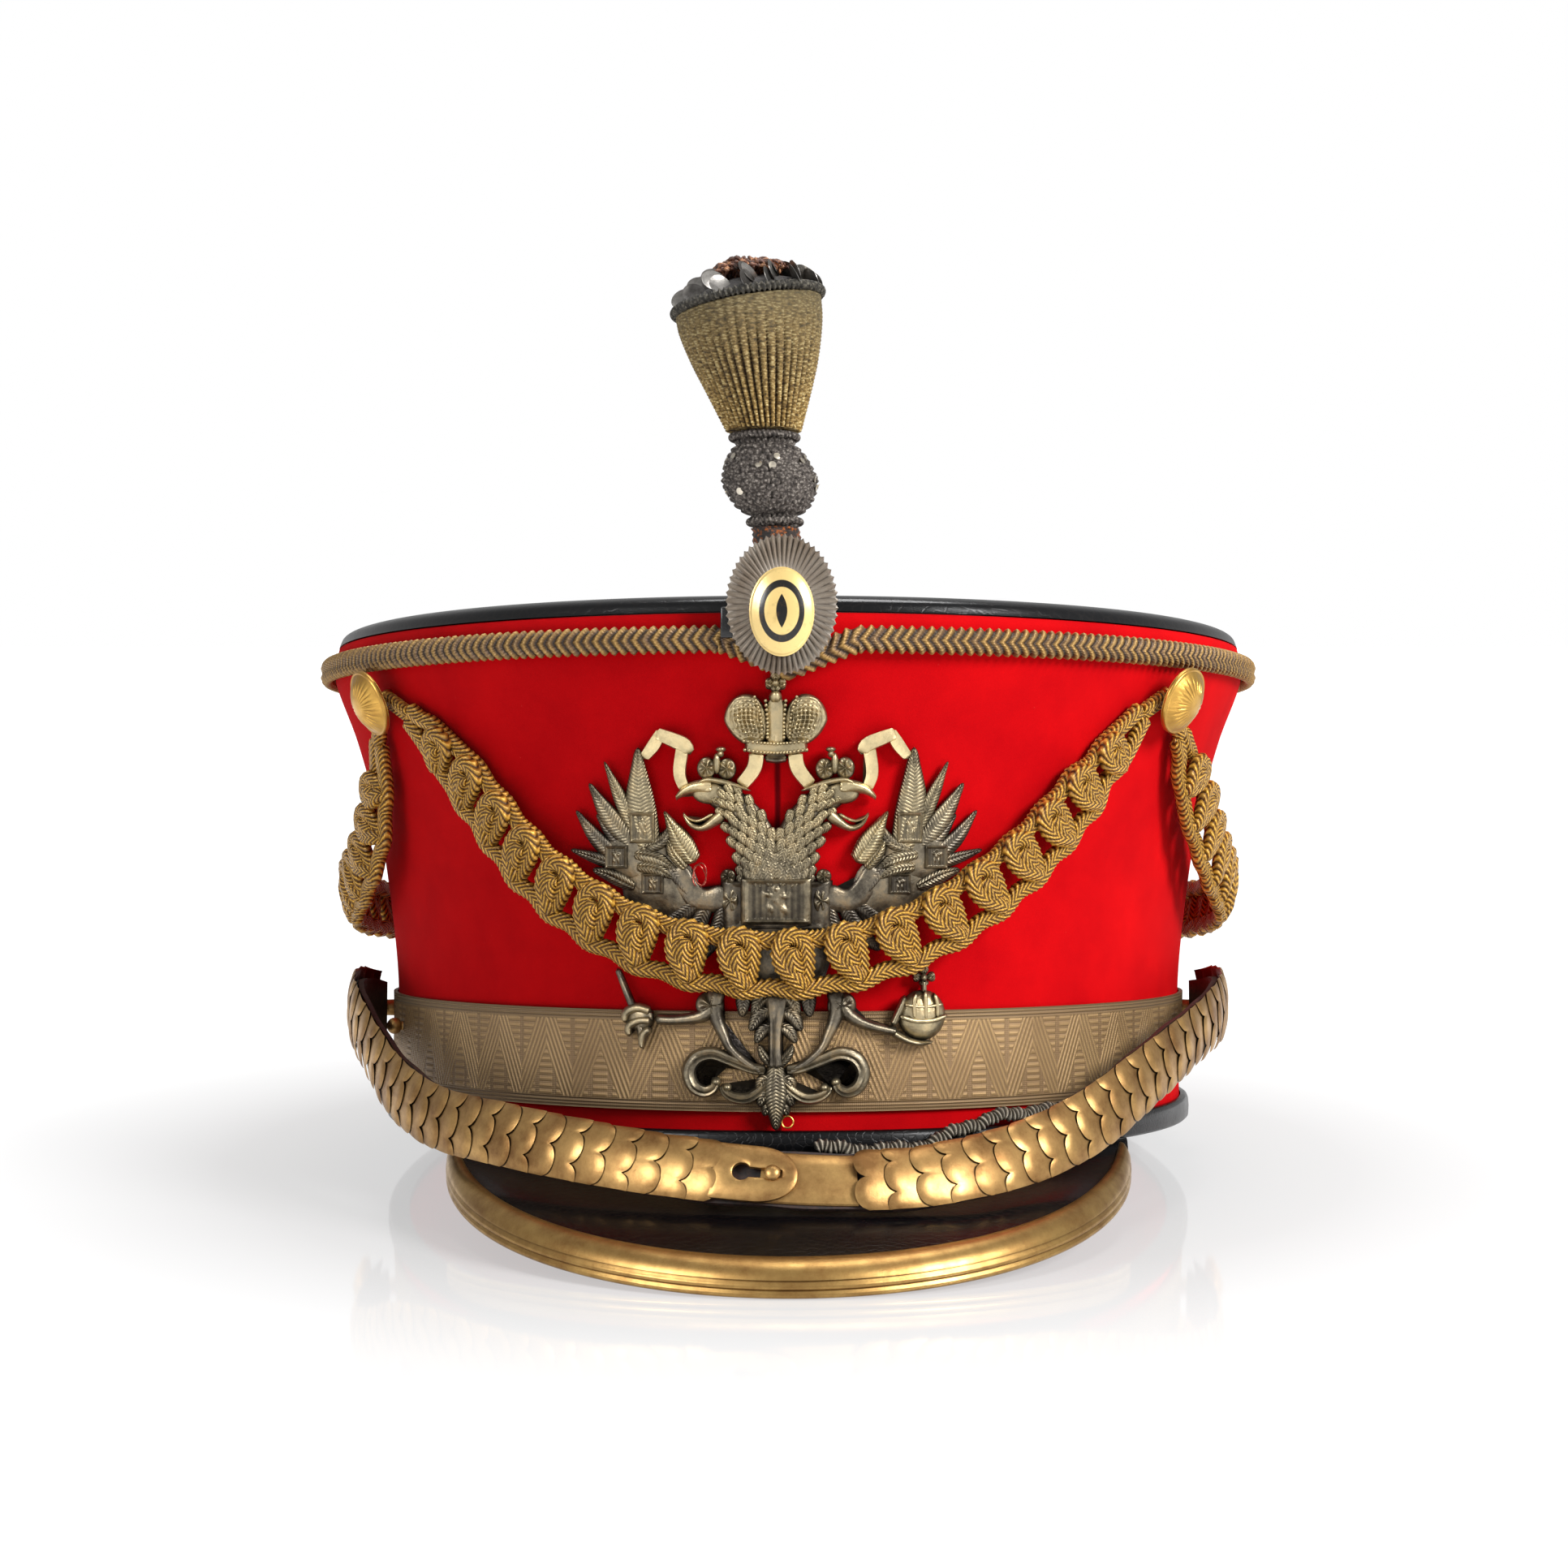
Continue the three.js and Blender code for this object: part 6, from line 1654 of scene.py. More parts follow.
    def build_top(self) -> None:
        """The dome, its overlapping sequins and the frayed tuft."""
        foot = self.cup_foot + self.cup_height + 0.4
        rim = self.rim_radius
        shares = ((0, 0), (rim - 0.6, 0), (rim - 0.8, 1.0), (10.4, 2.6), (6.6, 4.0), (3, 4.8), (0, 5.0))
        dome = Workpiece("plume_dome")
        rows = [(reach, foot + rise) for reach, rise in shares]
        dome.lay(72, 36, self.turned(rows, 4, None, 1.0), (80, 20))
        finish = YarnFinish("dome_cloth", colour(16, 14, 13), colour(40, 35, 31), colour(78, 68, 60), 1.2, 0.1)
        dome.finish(finish, Slot.YARN, "plume_top", sharp=60)
        rng = np.random.default_rng(self.seed)
        sequins = Workpiece("plume_sequins")
        for radius, height, count, tip in ((12.3, 1.7, 15, 0.3), (10.4, 3.2, 12, 0.45), (8.0, 4.2, 9, 0.6)):
            for index in range(count):
                turn = 2 * math.pi * (index + rng.uniform(-0.2, 0.2)) / count
                level = math.sqrt(1 - tip**2)
                out = np.array([math.sin(turn) * level, -math.cos(turn) * level, tip])
                swirl = np.array([0.95 * math.cos(turn), 0.95 * math.sin(turn), 0.3])
                out = unit(0.8 * out + swirl + rng.normal(0, 0.1, 3))
                centre = self.about(np.array([turn]), radius, foot + height + 0.5, 1.0)[0]
                size = self.sequin * rng.uniform(1.0, 1.2)
                cup = [(0, -0.1), (0.6 * size, -0.05), (size, 0.12), (size, 0.2), (0.6 * size, 0.05), (0, 0.0)]
                sequins.lay(24, 10, lathe(centre, out, cup), (4, 4), tint=rng.uniform(0, 1.6))
        tints = colour(190, 186, 180), colour(50, 46, 44), colour(20, 18, 18)
        sequins.finish(MetalFinish("sequin_steel", *tints, 0.16, 0.7, 0.35), Slot.YARN, sharp=60)
        self.build_tuft(foot + 4.2, rng)

    def build_tuft(self, height: float, rng: np.random.Generator) -> None:
        """Frayed yarn ends on the very top.

        Args:
            height: height of their roots over the base.
            rng: random draws.
        """
        tuft = Workpiece("plume_tuft")
        strand = Plait.round(0.34, 0.8, 0.15, sides=5)
        along = np.linspace(0, 1, 12)
        for _ in range(210):
            turn = rng.uniform(0, 2 * math.pi)
            reach = 6.6 * math.sqrt(rng.uniform(0, 1))
            heading = turn + rng.normal(0, 0.9)
            curl = rng.uniform(1.0, 2.6)
            x = reach * math.sin(turn) + curl * along * math.sin(heading) + 0.5 * np.sin(7 * along + turn)
            y = -reach * math.cos(turn) - curl * along * math.cos(heading) + 0.5 * np.cos(8 * along + heading)
            top = 4.6 * (1 - (reach / 8.6) ** 2) * rng.uniform(0.4, 1.0)
            z = height + top * np.sin(0.85 * math.pi * along) ** 0.8 + 0.2
            strand.lay(tuft, self.spot(x, y, z, 1.0), np.array([0.3, -0.2, 1.0]))
        finish = YarnFinish("frayed_ends", colour(24, 15, 11), colour(104, 58, 36), colour(222, 160, 112), 0.45, 0.0)
        tuft.finish(finish, Slot.YARN, sharp=180)

    def build(self) -> None:
        """All the plume's pieces."""
        self.build_stem()
        self.build_ring("low", 4.6, 12.6)
        self.build_ball()
        self.build_ring("high", 5.9, 28.0)
        self.build_cup()
        self.build_top()


@dataclass
class Cockade:
    """Pleated oval, domed enamel and the small clip beside it."""

    centre: tuple[float, float, float] = (-1.3, -119.3, 98.6)
    half: tuple[float, float] = (10.2, 12.8)
    pleats: int = 56
    thickness: float = 1.3
    disc_half: tuple[float, float] = (5.6, 7.7)
    disc_back: float = -120.9
    disc_drop: float = 1.4

    def build_rays(self) -> None:
        """The pleated oval with its saw-toothed edge."""
        cx, cy, cz = self.centre

        def place(around: Array, share: Array) -> Array:
            """Points: front from the middle to the edge, then the back."""
            turn = 2 * math.pi * around
            front = share < 0.72
            reach = np.clip(np.where(front, share / 0.7, (1 - share) / 0.28), 0, 1)
            fold = (1 - np.abs(2 * ((around * self.pleats) % 1.0) - 1)) ** 1.3
            deep = np.clip((reach - 0.4) / 0.6, 0, 1) ** 0.7
            height = self.thickness * (1 - 0.25 * deep) - 0.85 * deep * (1 - fold)
            height = height + 0.125 * np.sin(2 * turn + 0.6) * deep
            y = np.where(front, cy - np.maximum(height, 0.25), cy)
            reach = reach * (1 - 0.045 * (1 - fold) * reach**4)
            x, z = self.half[0] * reach * np.sin(turn), self.half[1] * reach * np.cos(turn)
            return np.stack([cx + x, y, cz + z], -1)

        piece = Workpiece("pleated_rays")
        piece.lay(8 * self.pleats, 25, place, (72, 12))
        tints = colour(176, 168, 158), colour(126, 108, 88), colour(58, 50, 44)
        piece.finish(MetalFinish("aged_silver", *tints, 0.36, 0.6, 0.2), Slot.COCKADE, "cockade_rays", sharp=60)

    def build_disc(self) -> None:
        """The domed enamel, whose map runs from its middle."""
        cx, cz = self.centre[0], self.centre[2] - self.disc_drop
        rows = ((0, 0), (0.97, 0), (1, 0.12), (1, 0.34), (0.97, 0.5), (0.93, 0.62), (0.7, 1.2), (0.4, 1.62), (0, 1.8))

        def point(around: Array, reach: Array, height: Array) -> Array:
            """Points of the dome."""
            turn = 2 * math.pi * around
            reach = np.maximum(reach, 0)
            x, z = self.disc_half[0] * reach * np.sin(turn), self.disc_half[1] * reach * np.cos(turn)
            return np.stack([cx + x, self.disc_back - height, cz + z], -1)

        piece = Workpiece("enamel_disc")
        piece.loft(96, Outline(rows, 3), point, (1, 1), 40)
        layer = piece.mesh.loops.layers.uv.verify()
        for face in piece.mesh.faces:
            for loop in face.loops:
                x, _, z = loop.vert.co
                loop[layer].uv = ((x - cx) / self.disc_half[0], (z - cz) / self.disc_half[1])
        piece.finish(EnamelFinish(), Slot.ENAMEL, "cockade_disc", sharp=60)

    def build_clip(self) -> None:
        """The black clip over the cord."""
        piece = Workpiece("clip_black")
        piece.box((-10.65, -118.0, 95.45), (3.4, 0.9, 5.6))
        edges = list(piece.mesh.edges)
        bmesh.ops.bevel(piece.mesh, geom=edges, offset=0.3, segments=3, profile=0.5, affect="EDGES", material=-1)
        for face in piece.mesh.faces:
            face.smooth = True
        piece.finish(LacquerFinish("clip_lacquer", 0.15, 0.1, 0.8, 0.0), Slot.CLIP, "cord_clip", sharp=60)

    def build(self) -> None:
        """The cockade's pieces."""
        self.build_rays()
        self.build_disc()
        self.build_clip()


Forms = tuple[str, bool, tuple[tuple[float, ...], ...]]
Relief = Callable[[Array, Array], tuple[Array, Array, Array]]


@dataclass
class Badge:
    """Cast double-headed eagle.

    Its tables give places in hundredths of its height. Each group has its kind, whether it comes again
    on the other side, and rows of gilding, height of the edges and height of the middle over them. A
    stroke's row goes on with x, z and width of each point, and another with x, z and two half sizes.
    """

    unit: float = 0.825
    shift: float = -2.4
    foot: float = 3.2
    on_cloth: float = 1.1
    on_lace: float = 1.7
    lace_top: float = 27.6
    neck: tuple[tuple[float, float, float], ...] = (
        (-11.8, 75.6, 4.4), (-9.4, 72.6, 6.4), (-6.6, 68.6, 8.0), (-4.2, 63.6, 8.6), (-2.4, 59.2, 9.4),
        (-1.6, 55.6, 9.8),
    )
    strokes: tuple[Forms, ...] = (
        ("leaf", True, (
            (0.1, 0, 1, -35, 58.5, 3.2, -46.8, 62.4, 2.4),
            (0.1, 0.1, 1.1, -34, 59, 4.2, -40.4, 64.6, 3.8, -45.4, 71.3, 2.6),
            (0.1, 0, 1, -32.2, 61, 4, -37.1, 66, 3.4, -40.6, 70.4, 2.4),
            (0.25, 0.2, 1.2, -31.6, 62.6, 5.2, -37.2, 69.2, 4.8, -42.2, 77.4, 3),
            (0.45, 0.1, 1.2, -31, 65.5, 4.2, -35, 74, 3.4, -38.6, 82.2, 2),
            (0.45, 0.3, 1.5, -28.2, 61, 7.6, -30.4, 72.2, 7, -30.8, 85.2, 4.6),
            (0.2, 0.3, 1.3, -31.5, 53.7, 3.5, -37.4, 56.5, 3.5, -41.6, 57.9, 3.5),
            (0.3, 0.4, 1.4, -32.2, 61.3, 3.6, -27, 60.3, 3.6, -22.4, 57.9, 3.6),
            (0.3, 0.5, 1.4, -31.5, 58.5, 3.2, -27, 57.9, 3.2, -22.8, 55.8, 3.2),
            (0.25, 0.5, 1.3, -30.5, 62, 3.1, -25.6, 64.1, 3.1, -23.5, 67.6, 3.1),
            (0.7, 0.5, 1.9, -18, 59.4, 5.4, -21.4, 64.6, 5, -25, 71, 2.2),
            (0.5, 0.5, 1.5, -20, 57.9, 2.8, -22.8, 61.3, 2.8, -24.3, 64.8, 2.8),
        )),
        ("flute", True, (
            (0.1, 0.2, 1, -22.6, 58.6, 5, -19, 52.4, 5.6, -15.1, 50.8, 5.6, -10.2, 52.4, 6.4),
        )),
        ("leaf", True, (
            (0.1, 0.3, 1.1, -24, 58.6, 4, -20.6, 54, 3.4, -18.2, 50.4, 2),
            (0.05, 0.1, 1, -17.2, 50.9, 4.2, -23.5, 46, 4.2, -29.8, 43.9, 4.2),
            (0.05, 0.1, 1, -15.1, 50.2, 4.2, -18.6, 43.9, 4.2, -23.5, 39.7, 4.2),
            (0.05, 0.1, 1, -11.6, 50.2, 4.2, -13, 43.9, 4.2, -16.5, 37.6, 4.2),
            (0.05, 0, 0.9, -20, 51.6, 4.2, -29.1, 48.8, 4.2, -38.1, 50.9, 4.2),
        )),
        ("round", True, (
            (0.15, 0.2, 1.7, -0.8, 56.5, 8.4, -2.6, 61.3, 8.4, -5.4, 67.6, 7.7, -8.9, 72.1, 6.6, -13, 74.4, 5.6,
             -15.8, 75.1, 4.2),
            (0.75, 0.6, 1.9, -13.7, 76, 4.2, -17.2, 76.3, 3.1, -20, 75.6, 2.1, -21.8, 74.2, 1.1, -22.2, 73.3, 0.4),
            (0.6, 1.2, 1.2, -17.8, 76.8, 0.8, -15.1, 77.8, 1.1, -10.9, 77.1, 1.3, -7.5, 76, 0.8, -5.4, 75.3, 0.3),
            (0.5, 0.6, 1.6, -11.6, 70.4, 2.8, -13.7, 68.7, 2.4, -16.5, 67.1, 1.5, -19, 67.9, 1.1, -20.8, 70.5, 0.4),
            (0.8, 0.9, 0.9, -13.7, 70.4, 0.8, -17.2, 68.7, 0.7, -19.7, 69.4, 0.6, -20.6, 70.7, 0.3),
        )),
        ("flat", True, (
            (1, 0.6, 1, -4.2, 84, 3.4, -4.9, 80.2, 3.4, -8, 76.2, 3),
            (1, 0.4, 0.9, -20.2, 75.6, 2.4, -21.4, 79.4, 2.9, -20.6, 85.4, 3),
            (0.9, 0.8, 0.9, -19, 83.4, 2.2, -20, 85.4, 3.2, -23, 86.8, 3.2, -26.8, 88.3, 2.6),
            (1, 0.5, 0.8, -25.4, 89, 1.8, -26.9, 86, 3, -29.6, 82.6, 2.2),
        )),
        ("round", True, (
            (0.1, 0.2, 1.7, -13, 31.4, 4.2, -13.7, 27.9, 3.9, -13.2, 24.4, 3.2, -11.6, 20.6, 2.5, -10.2, 17.8, 2.1,
             -7, 14.8, 2.1, -2.9, 12.4, 1.8),
        )),
        ("flute", True, (
            (0.2, 0.3, 1.5, -1.9, 13, 2.2, -5.4, 13.4, 2.6, -10.2, 15.2, 2.8, -14.3, 16.6, 3.1, -17.9, 15.5, 3.3,
             -19.5, 12.4, 3.3, -18.4, 9.2, 3.2, -15.8, 8, 2.8, -13.7, 9.2, 2.3, -13.8, 10.8, 1.8),
            (0.25, 0.3, 1.4, -0.8, 11.4, 2, -3.3, 8.6, 2.4, -6.4, 6.7, 2.7, -9.5, 6.9, 2.5, -11.5, 8.2, 2, -12, 9.8,
             1.5),
        )),
        ("leaf", True, (
            (0.1, 0.3, 1.3, -7.5, 31.4, 3.5, -7.3, 27.9, 3.5, -7.6, 24.7, 3.5),
            (0.15, 0.5, 1.3, -0.8, 26.4, 3.4, -3.6, 25.2, 3.4, -5.8, 21.6, 3.4),
            (0.15, 0.5, 1.2, -0.6, 22.8, 3, -2.8, 21.8, 3, -4.6, 18.9, 3),
            (0.2, 0.6, 1.3, -0.4, 30, 3.4, -3.2, 29, 3.4, -5.2, 25.2, 3.4),
            (0.2, 0.6, 1.4, -0.8, 13.9, 2.4, -2.9, 16.7, 2.4, -3.8, 18.7, 2.4),
            (0.2, 0.5, 1.4, -0.8, 11, 3.1, -2.9, 10.5, 3.1, -4.3, 8.5, 3.1),
            (0.2, 0.4, 1.3, -0.8, 8.4, 3.1, -2.6, 7.3, 3.1, -3.8, 4.7, 3.1),
            (0.2, 0.3, 1.2, -0.8, 5.6, 2.5, -1.9, 4.5, 2.5, -2.7, 2.6, 2.5),
        )),
        ("round", False, (
            (0.15, 0.2, 1.6, -13.7, 27.9, 3.9, -16.5, 25, 3.1, -22.1, 24, 2.4, -27.3, 24, 2.4),
            (0.1, 0.1, 1.3, -36, 35.5, 1.5, -34.3, 31.4, 1.7, -32.2, 26.5, 2, -30.8, 22.3, 1.8, -30, 18.7, 1.7),
            (0.35, 0.6, 1.7, -27.8, 25.8, 2.1, -31.2, 26.6, 2.4, -33.8, 25.4, 2.1, -34.1, 23, 1.4),
            (0.3, 0.6, 1.6, -27.7, 23.7, 2, -30.8, 23.7, 2.2, -33.2, 22.3, 2, -33.1, 19.9, 1.3),
            (0.3, 0.5, 1.5, -27.8, 22, 1.8, -29.8, 20.8, 2, -30.3, 18.7, 1.5, -29.8, 17.1, 0.8),
            (0.15, 0.2, 1.6, 13.7, 29.3, 3.9, 16.2, 25.4, 3.1, 20.4, 23, 2.5, 27.4, 21.2, 2.1),
            (0.3, 0.8, 1.7, 26, 22.7, 1.8, 27.8, 26.5, 1.7, 28.9, 29.6, 1),
            (0.3, 0.8, 1.7, 26, 21.3, 1.8, 29.1, 19.5, 1.7, 32.3, 18.7, 1.4, 35.4, 19, 0.7),
            (0.6, 2.3, 0.5, 27.5, 25, 1, 30.2, 24, 1.1, 33, 23.7, 1.1, 35.8, 24, 1.1, 38.5, 25, 0.8),
            (0.6, 2.2, 0.5, 31.4, 30.2, 0.8, 30.9, 27.9, 1, 31, 24.1, 0.8),
            (0.6, 2.3, 0.5, 33.4, 30.7, 0.8, 33.5, 27.9, 1, 33.5, 23.8, 0.8),
            (0.6, 2.2, 0.5, 35.5, 30, 0.8, 36.2, 27.5, 1, 36.2, 24.3, 0.8),
            (0.6, 2.2, 0.4, 28.6, 27.5, 0.7, 33, 26.9, 0.8, 37.6, 27.5, 0.7),
            (0.3, 0.3, 1.4, 33.3, 30, 1.4, 33.3, 32.8, 1.3),
        )),
        ("leaf", False, (
            (0.35, 0.4, 1.5, 33.3, 36.2, 2.4, 33.3, 34, 2.4), (0.35, 0.4, 1.5, 33.3, 31.6, 2.4, 33.3, 33.1, 2.4),
            (0.35, 0.4, 1.5, 30.7, 33.7, 2.4, 32.8, 33.5, 2.4), (0.35, 0.4, 1.5, 36, 33.7, 2.4, 33.8, 33.5, 2.4),
        )),
        ("flute", False, (
            (0.1, 0.4, 1.9, 0.1, 30.7, 6.3, 0.1, 26.5, 4.9, -0.1, 23, 3.5, -0.2, 18.8, 3.1, -0.1, 15.3, 3.5, 0, 12.9,
             4.2),
        )),
        ("leaf", False, (
            (0.25, 0.5, 1.9, 0, 14.3, 5.2, 0, 9.1, 6, 0, -0.5, 4.4),
        )),
        ("flute", False, (
            (0.55, 0.8, 1.2, 0.1, 84.4, 4.2, 0.1, 90.6, 4.6, 0.1, 95.9, 4.4),
        )),
        ("flat", False, (
            (0.6, 0.8, 1.4, -6.9, 85.3, 2.6, -3.3, 84.8, 2.8, 0.1, 84.6, 2.8, 3.4, 84.8, 2.8, 7.1, 85.3, 2.6),
        )),
        ("flute", False, (
            (0.15, 0.5, 1.3, -2.6, 82.8, 2, 0.1, 82.4, 2.1, 2.7, 82.8, 2),
        )),
        ("leaf", False, (
            (0.5, 0.6, 1.6, 0, 101.2, 2.6, 0, 99.1, 2.6), (0.5, 0.6, 1.6, -2.4, 98.7, 2.6, -0.2, 98.8, 2.6),
            (0.5, 0.6, 1.6, 2.4, 98.7, 2.6, 0.2, 98.8, 2.6), (0.5, 0.6, 1.6, 0, 97, 2.6, 0, 98.7, 2.6),
        )),
    )
    domes: tuple[Forms, ...] = (
        ("dome", True, (
            (0.15, 0.1, 1, -25.6, 53.7, 9.1, 7.7), (0.15, 0.2, 1, -31.2, 61.3, 7.7, 6.3),
            (0.5, 0.7, 1.4, -14.6, 74.9, 4, 2.5), (0.75, 2, 0.45, -15, 75.6, 1, 0.6),
        )),
        ("knots", True, (
            (0.45, 0.8, 1.5, -15.3, 80.4, 2.2, 2.5), (0.45, 0.8, 1.5, -10.8, 80.2, 2.2, 2.4),
        )),
        ("dome", True, (
            (0.5, 1.2, 1.3, -13, 81.4, 0.9, 2.4), (0.6, 0.8, 1.6, -12.2, 83.5, 0.8, 0.8),
            (0.4, 0.8, 1.5, -12.1, 84.5, 1.2, 0.6),
        )),
        ("lattice", True, (
            (0.55, 0.7, 1.9, -6.5, 90.9, 4.9, 5.7),
        )),
        ("knots", True, (
            (0.4, 0.9, 1.2, -3.6, 59.1, 2.2, 2), (0.3, 0.7, 1.3, -10.6, 56.3, 1.8, 1.7),
            (0.25, 0.6, 1.2, -10.2, 50.9, 2.1, 3.2), (0.15, 0.3, 1.7, -14.6, 27.4, 3.4, 3.2),
        )),
        ("dome", True, (
            (0.3, 0.5, 1.6, -13.3, 10.3, 1.2, 1.1), (0.3, 0.5, 1.5, -10.8, 9.1, 1.1, 1),
        )),
        ("dome", False, (
            (0.2, 0.1, 1.6, -30.7, 24.3, 3.6, 3.1), (0.5, 0.1, 2.5, 33, 25, 5.7, 5.7),
            (0.3, 0.6, 1.4, 33.3, 33.5, 0.9, 0.9), (0.1, 0.2, 1.2, 0.2, 39.7, 13.2, 13.2),
            (0.7, 0.9, 1.9, 0, 95.8, 1.5, 1.5), (0.5, 1, 1.6, 0, 98.8, 0.9, 0.9),
        )),
    )
    shields: tuple[Forms, ...] = (
        ("figure", True, (
            (0.35, 1, 0.9, -29.9, 67.2, 3, 3.6), (0.2, 0.8, 0.9, -36, 60.6, 2.7, 2.7),
            (0.15, 0.8, 0.9, -27.7, 54.6, 2.6, 2.4),
        )),
        ("plain", False, (
            (0.1, 0.2, 1.3, 0.2, 49.7, 12.5, 5.8),
        )),
        ("ribs", False, (
            (0.25, 1, 1.3, 0.1, 50.7, 8.2, 5.4),
        )),
    )
    figure: tuple[tuple[float, float, float, float], ...] = (
        (0, 0.15, 0.2, 0.34), (-0.24, 0.3, 0.16, 0.12), (0.26, 0.24, 0.18, 0.14), (-0.18, -0.34, 0.12, 0.26),
        (0.2, -0.34, 0.12, 0.26), (0.02, 0.52, 0.14, 0.12),
    )
    beads: tuple[tuple[tuple[float, float] | int, ...], ...] = (
        ((-4.6, 95.8), (-3.3, 91.6), (-3.0, 87.0), 12), ((-2.2, 95.0), (-1.8, 90.6), (-1.8, 87.0), 10),
        ((-7.0, 86.2), (-3.2, 85.8), (-0.4, 85.6), 9), ((-6.8, 84.3), (-3.2, 83.8), (-0.4, 83.6), 9),
    )

    def spot(self, x: Array, z: Array, out: Array) -> Array:
        """Points at places on the badge.

        Args:
            x: place to the wearer's left, in the badge's units.
            z: place up from the tail's tip, in the badge's units.
            out: height over the badge's seat, in millimetres.

        Returns:
            Points in the hat's frame.
        """
        across = self.shift + self.unit * x
        level = self.foot + self.unit * z
        share = np.clip((level - self.lace_top + 0.5) / 4.0, 0, 1)
        standoff = self.on_lace + (self.on_cloth - self.on_lace) * share + out
        angle = np.degrees(np.arcsin(across / (BODY.half_width(level) + standoff)))
        return BODY.point(angle, level, standoff)

    def lay(
        self, piece: Workpiece, steps: tuple[int, int], relief: Relief, gilt: float, span: tuple[float, float],
        length: float = 1.0, barbs: float = 0.0,
    ) -> None:
        """Lays a raised shape.

        Args:
            piece: piece that gets the shape.
            steps: steps along each share.
            relief: x, z and height of arrays of shares.
            gilt: share of gilding.
            span: lowest height and rise of its shading.
            length: its length.
            barbs: strength of the feather lines.
        """
        def place(first: Array, second: Array) -> Array:
            """Points of the shape."""
            return self.spot(*relief(first, second))

        def height(first: Array, second: Array) -> Array:
            """Height as a share of the shape's own."""
            return np.clip((relief(first, second)[2] - span[0]) / span[1], 0, 1)

        piece.lay(*steps, place, (length, 1.0), height=height, gilding=gilt, barbs=barbs)

    def lay_stroke(self, piece: Workpiece, kind: str, row: Sequence[float], mirror: float) -> None:
        """Lays a raised stroke: a leaf, a round bar, a flat ribbon or a fluted bar.

        Args:
            piece: piece that gets the stroke.
            kind: leaf, round, flat or flute.
            row: its row, as the tables have it.
            mirror: 1, or -1 for the other side.
        """
        gilt, low, high, *path = row
        line = smoothed(np.array(path).reshape(-1, 3) * np.array([mirror, 1, 1]), 6)
        steps = np.concatenate([[0], np.cumsum(np.linalg.norm(np.diff(line[:, :2], axis=0), axis=1))])
        length = float(steps[-1])
        course = np.hstack([line, unit(np.gradient(line[:, :2], steps, axis=0))])
        leaf = kind == "leaf"

        def relief(along: Array, share: Array) -> tuple[Array, Array, Array]:
            """Shape of the stroke."""
            x, z, width, tx, tz = (np.interp(along, steps / length, column) for column in course.T)
            on_top = share < 0.7
            v = np.where(on_top, np.cos(math.pi * share / 0.7), -1 + 2 * (share - 0.7) / 0.3)
            bow = np.sqrt(np.clip(1 - v**2, 0, 1))
            if leaf:
                swell = 0.66 + 0.34 * np.sin(math.pi * np.clip(along / 0.85, 0, 1))
                swell = swell * (np.clip(1 - along**8, 0, 1) * np.clip(along / 0.06, 0, 1)) ** 0.5
                quill = 0.42 * np.exp(-((v / 0.13) ** 2)) - 0.2 * np.exp(-((v / 0.05) ** 2))
                bow = bow * (1 - quill) * (1.0 - 0.2 * along)
            else:
                blunt = (0.1 if kind == "flat" else 0.42) * np.maximum(width, 0.5)
                near = np.clip(1 - np.minimum(along, 1 - along) * length / blunt, 0, 1)
                swell = np.sqrt(np.clip(1 - near**2, 0, 1))
            if kind == "flat":
                bow = np.clip(bow * 3, 0, 1) * (0.78 + 0.22 * v**2)
            elif kind == "flute":
                bow = bow * (1 + 0.16 * np.cos(3 * math.pi * v))
            height = np.where(on_top, low + high * bow * np.sqrt(np.clip(swell, 0, 1)), 0.0)
            half = 0.5 * width * swell * v
            return x - tz * half, z + tx * half, height

        columns = min(max(int(length / (0.42 if leaf else 0.7)), 8), 44)
        self.lay(piece, (columns, 15 if leaf else 12), relief, gilt, (low, high), length, float(leaf))

    def lay_dome(self, piece: Workpiece, kind: str, row: Sequence[float], mirror: float) -> None:
        """Lays a raised oval.

        Args:
            piece: piece that gets the oval.
            kind: dome, knots or lattice.
            row: its row, as the tables have it.
            mirror: 1, or -1 for the other side.
        """
        gilt, low, high, x, z, half_x, half_z = row

        def relief(around: Array, share: Array) -> tuple[Array, Array, Array]:
            """Shape of the oval, from the middle of its back to the middle of its front."""
            turn = 2 * math.pi * around
            reach = np.where(share < 0.1, share / 0.1, np.where(share < 0.2, 1.0, (1 - share) / 0.8))
            dx, dz = reach * np.cos(turn), reach * np.sin(turn)
            bow = np.sqrt(np.clip(1 - reach**2, 0, 1))
            pinch = 0.0
            if kind == "lattice":
                upright = np.abs(np.cos(math.pi * half_x * dx / 0.95))
                level = np.abs(np.cos(math.pi * half_z * (dz + 0.25 * dx * dx) / 0.95))
                bow = bow * (0.72 + 0.34 * np.maximum(upright, level) ** 3)
                bow = bow + 0.16 * np.exp(-(((reach - 0.9) / 0.07) ** 2))
                pinch = 0.34 * np.maximum(-dz, 0)
            elif kind == "knots":
                bow = bow * (0.8 + 0.3 * np.cos(5 * turn) * np.sin(math.pi * reach))
                bow = bow + 0.2 * np.exp(-((reach / 0.25) ** 2))
            height = np.where(share < 0.15, 0.0, low + high * bow)
            wide = pinch + np.where(dx * mirror < 0, 1.0, 0.92) * dx * mirror
            return mirror * (x + half_x * wide), z + half_z * dz, height

        steps = (54, 38) if kind != "dome" else (26, 12) if half_x > 0.6 else (12, 7)
        self.lay(piece, steps, relief, gilt, (low, high))

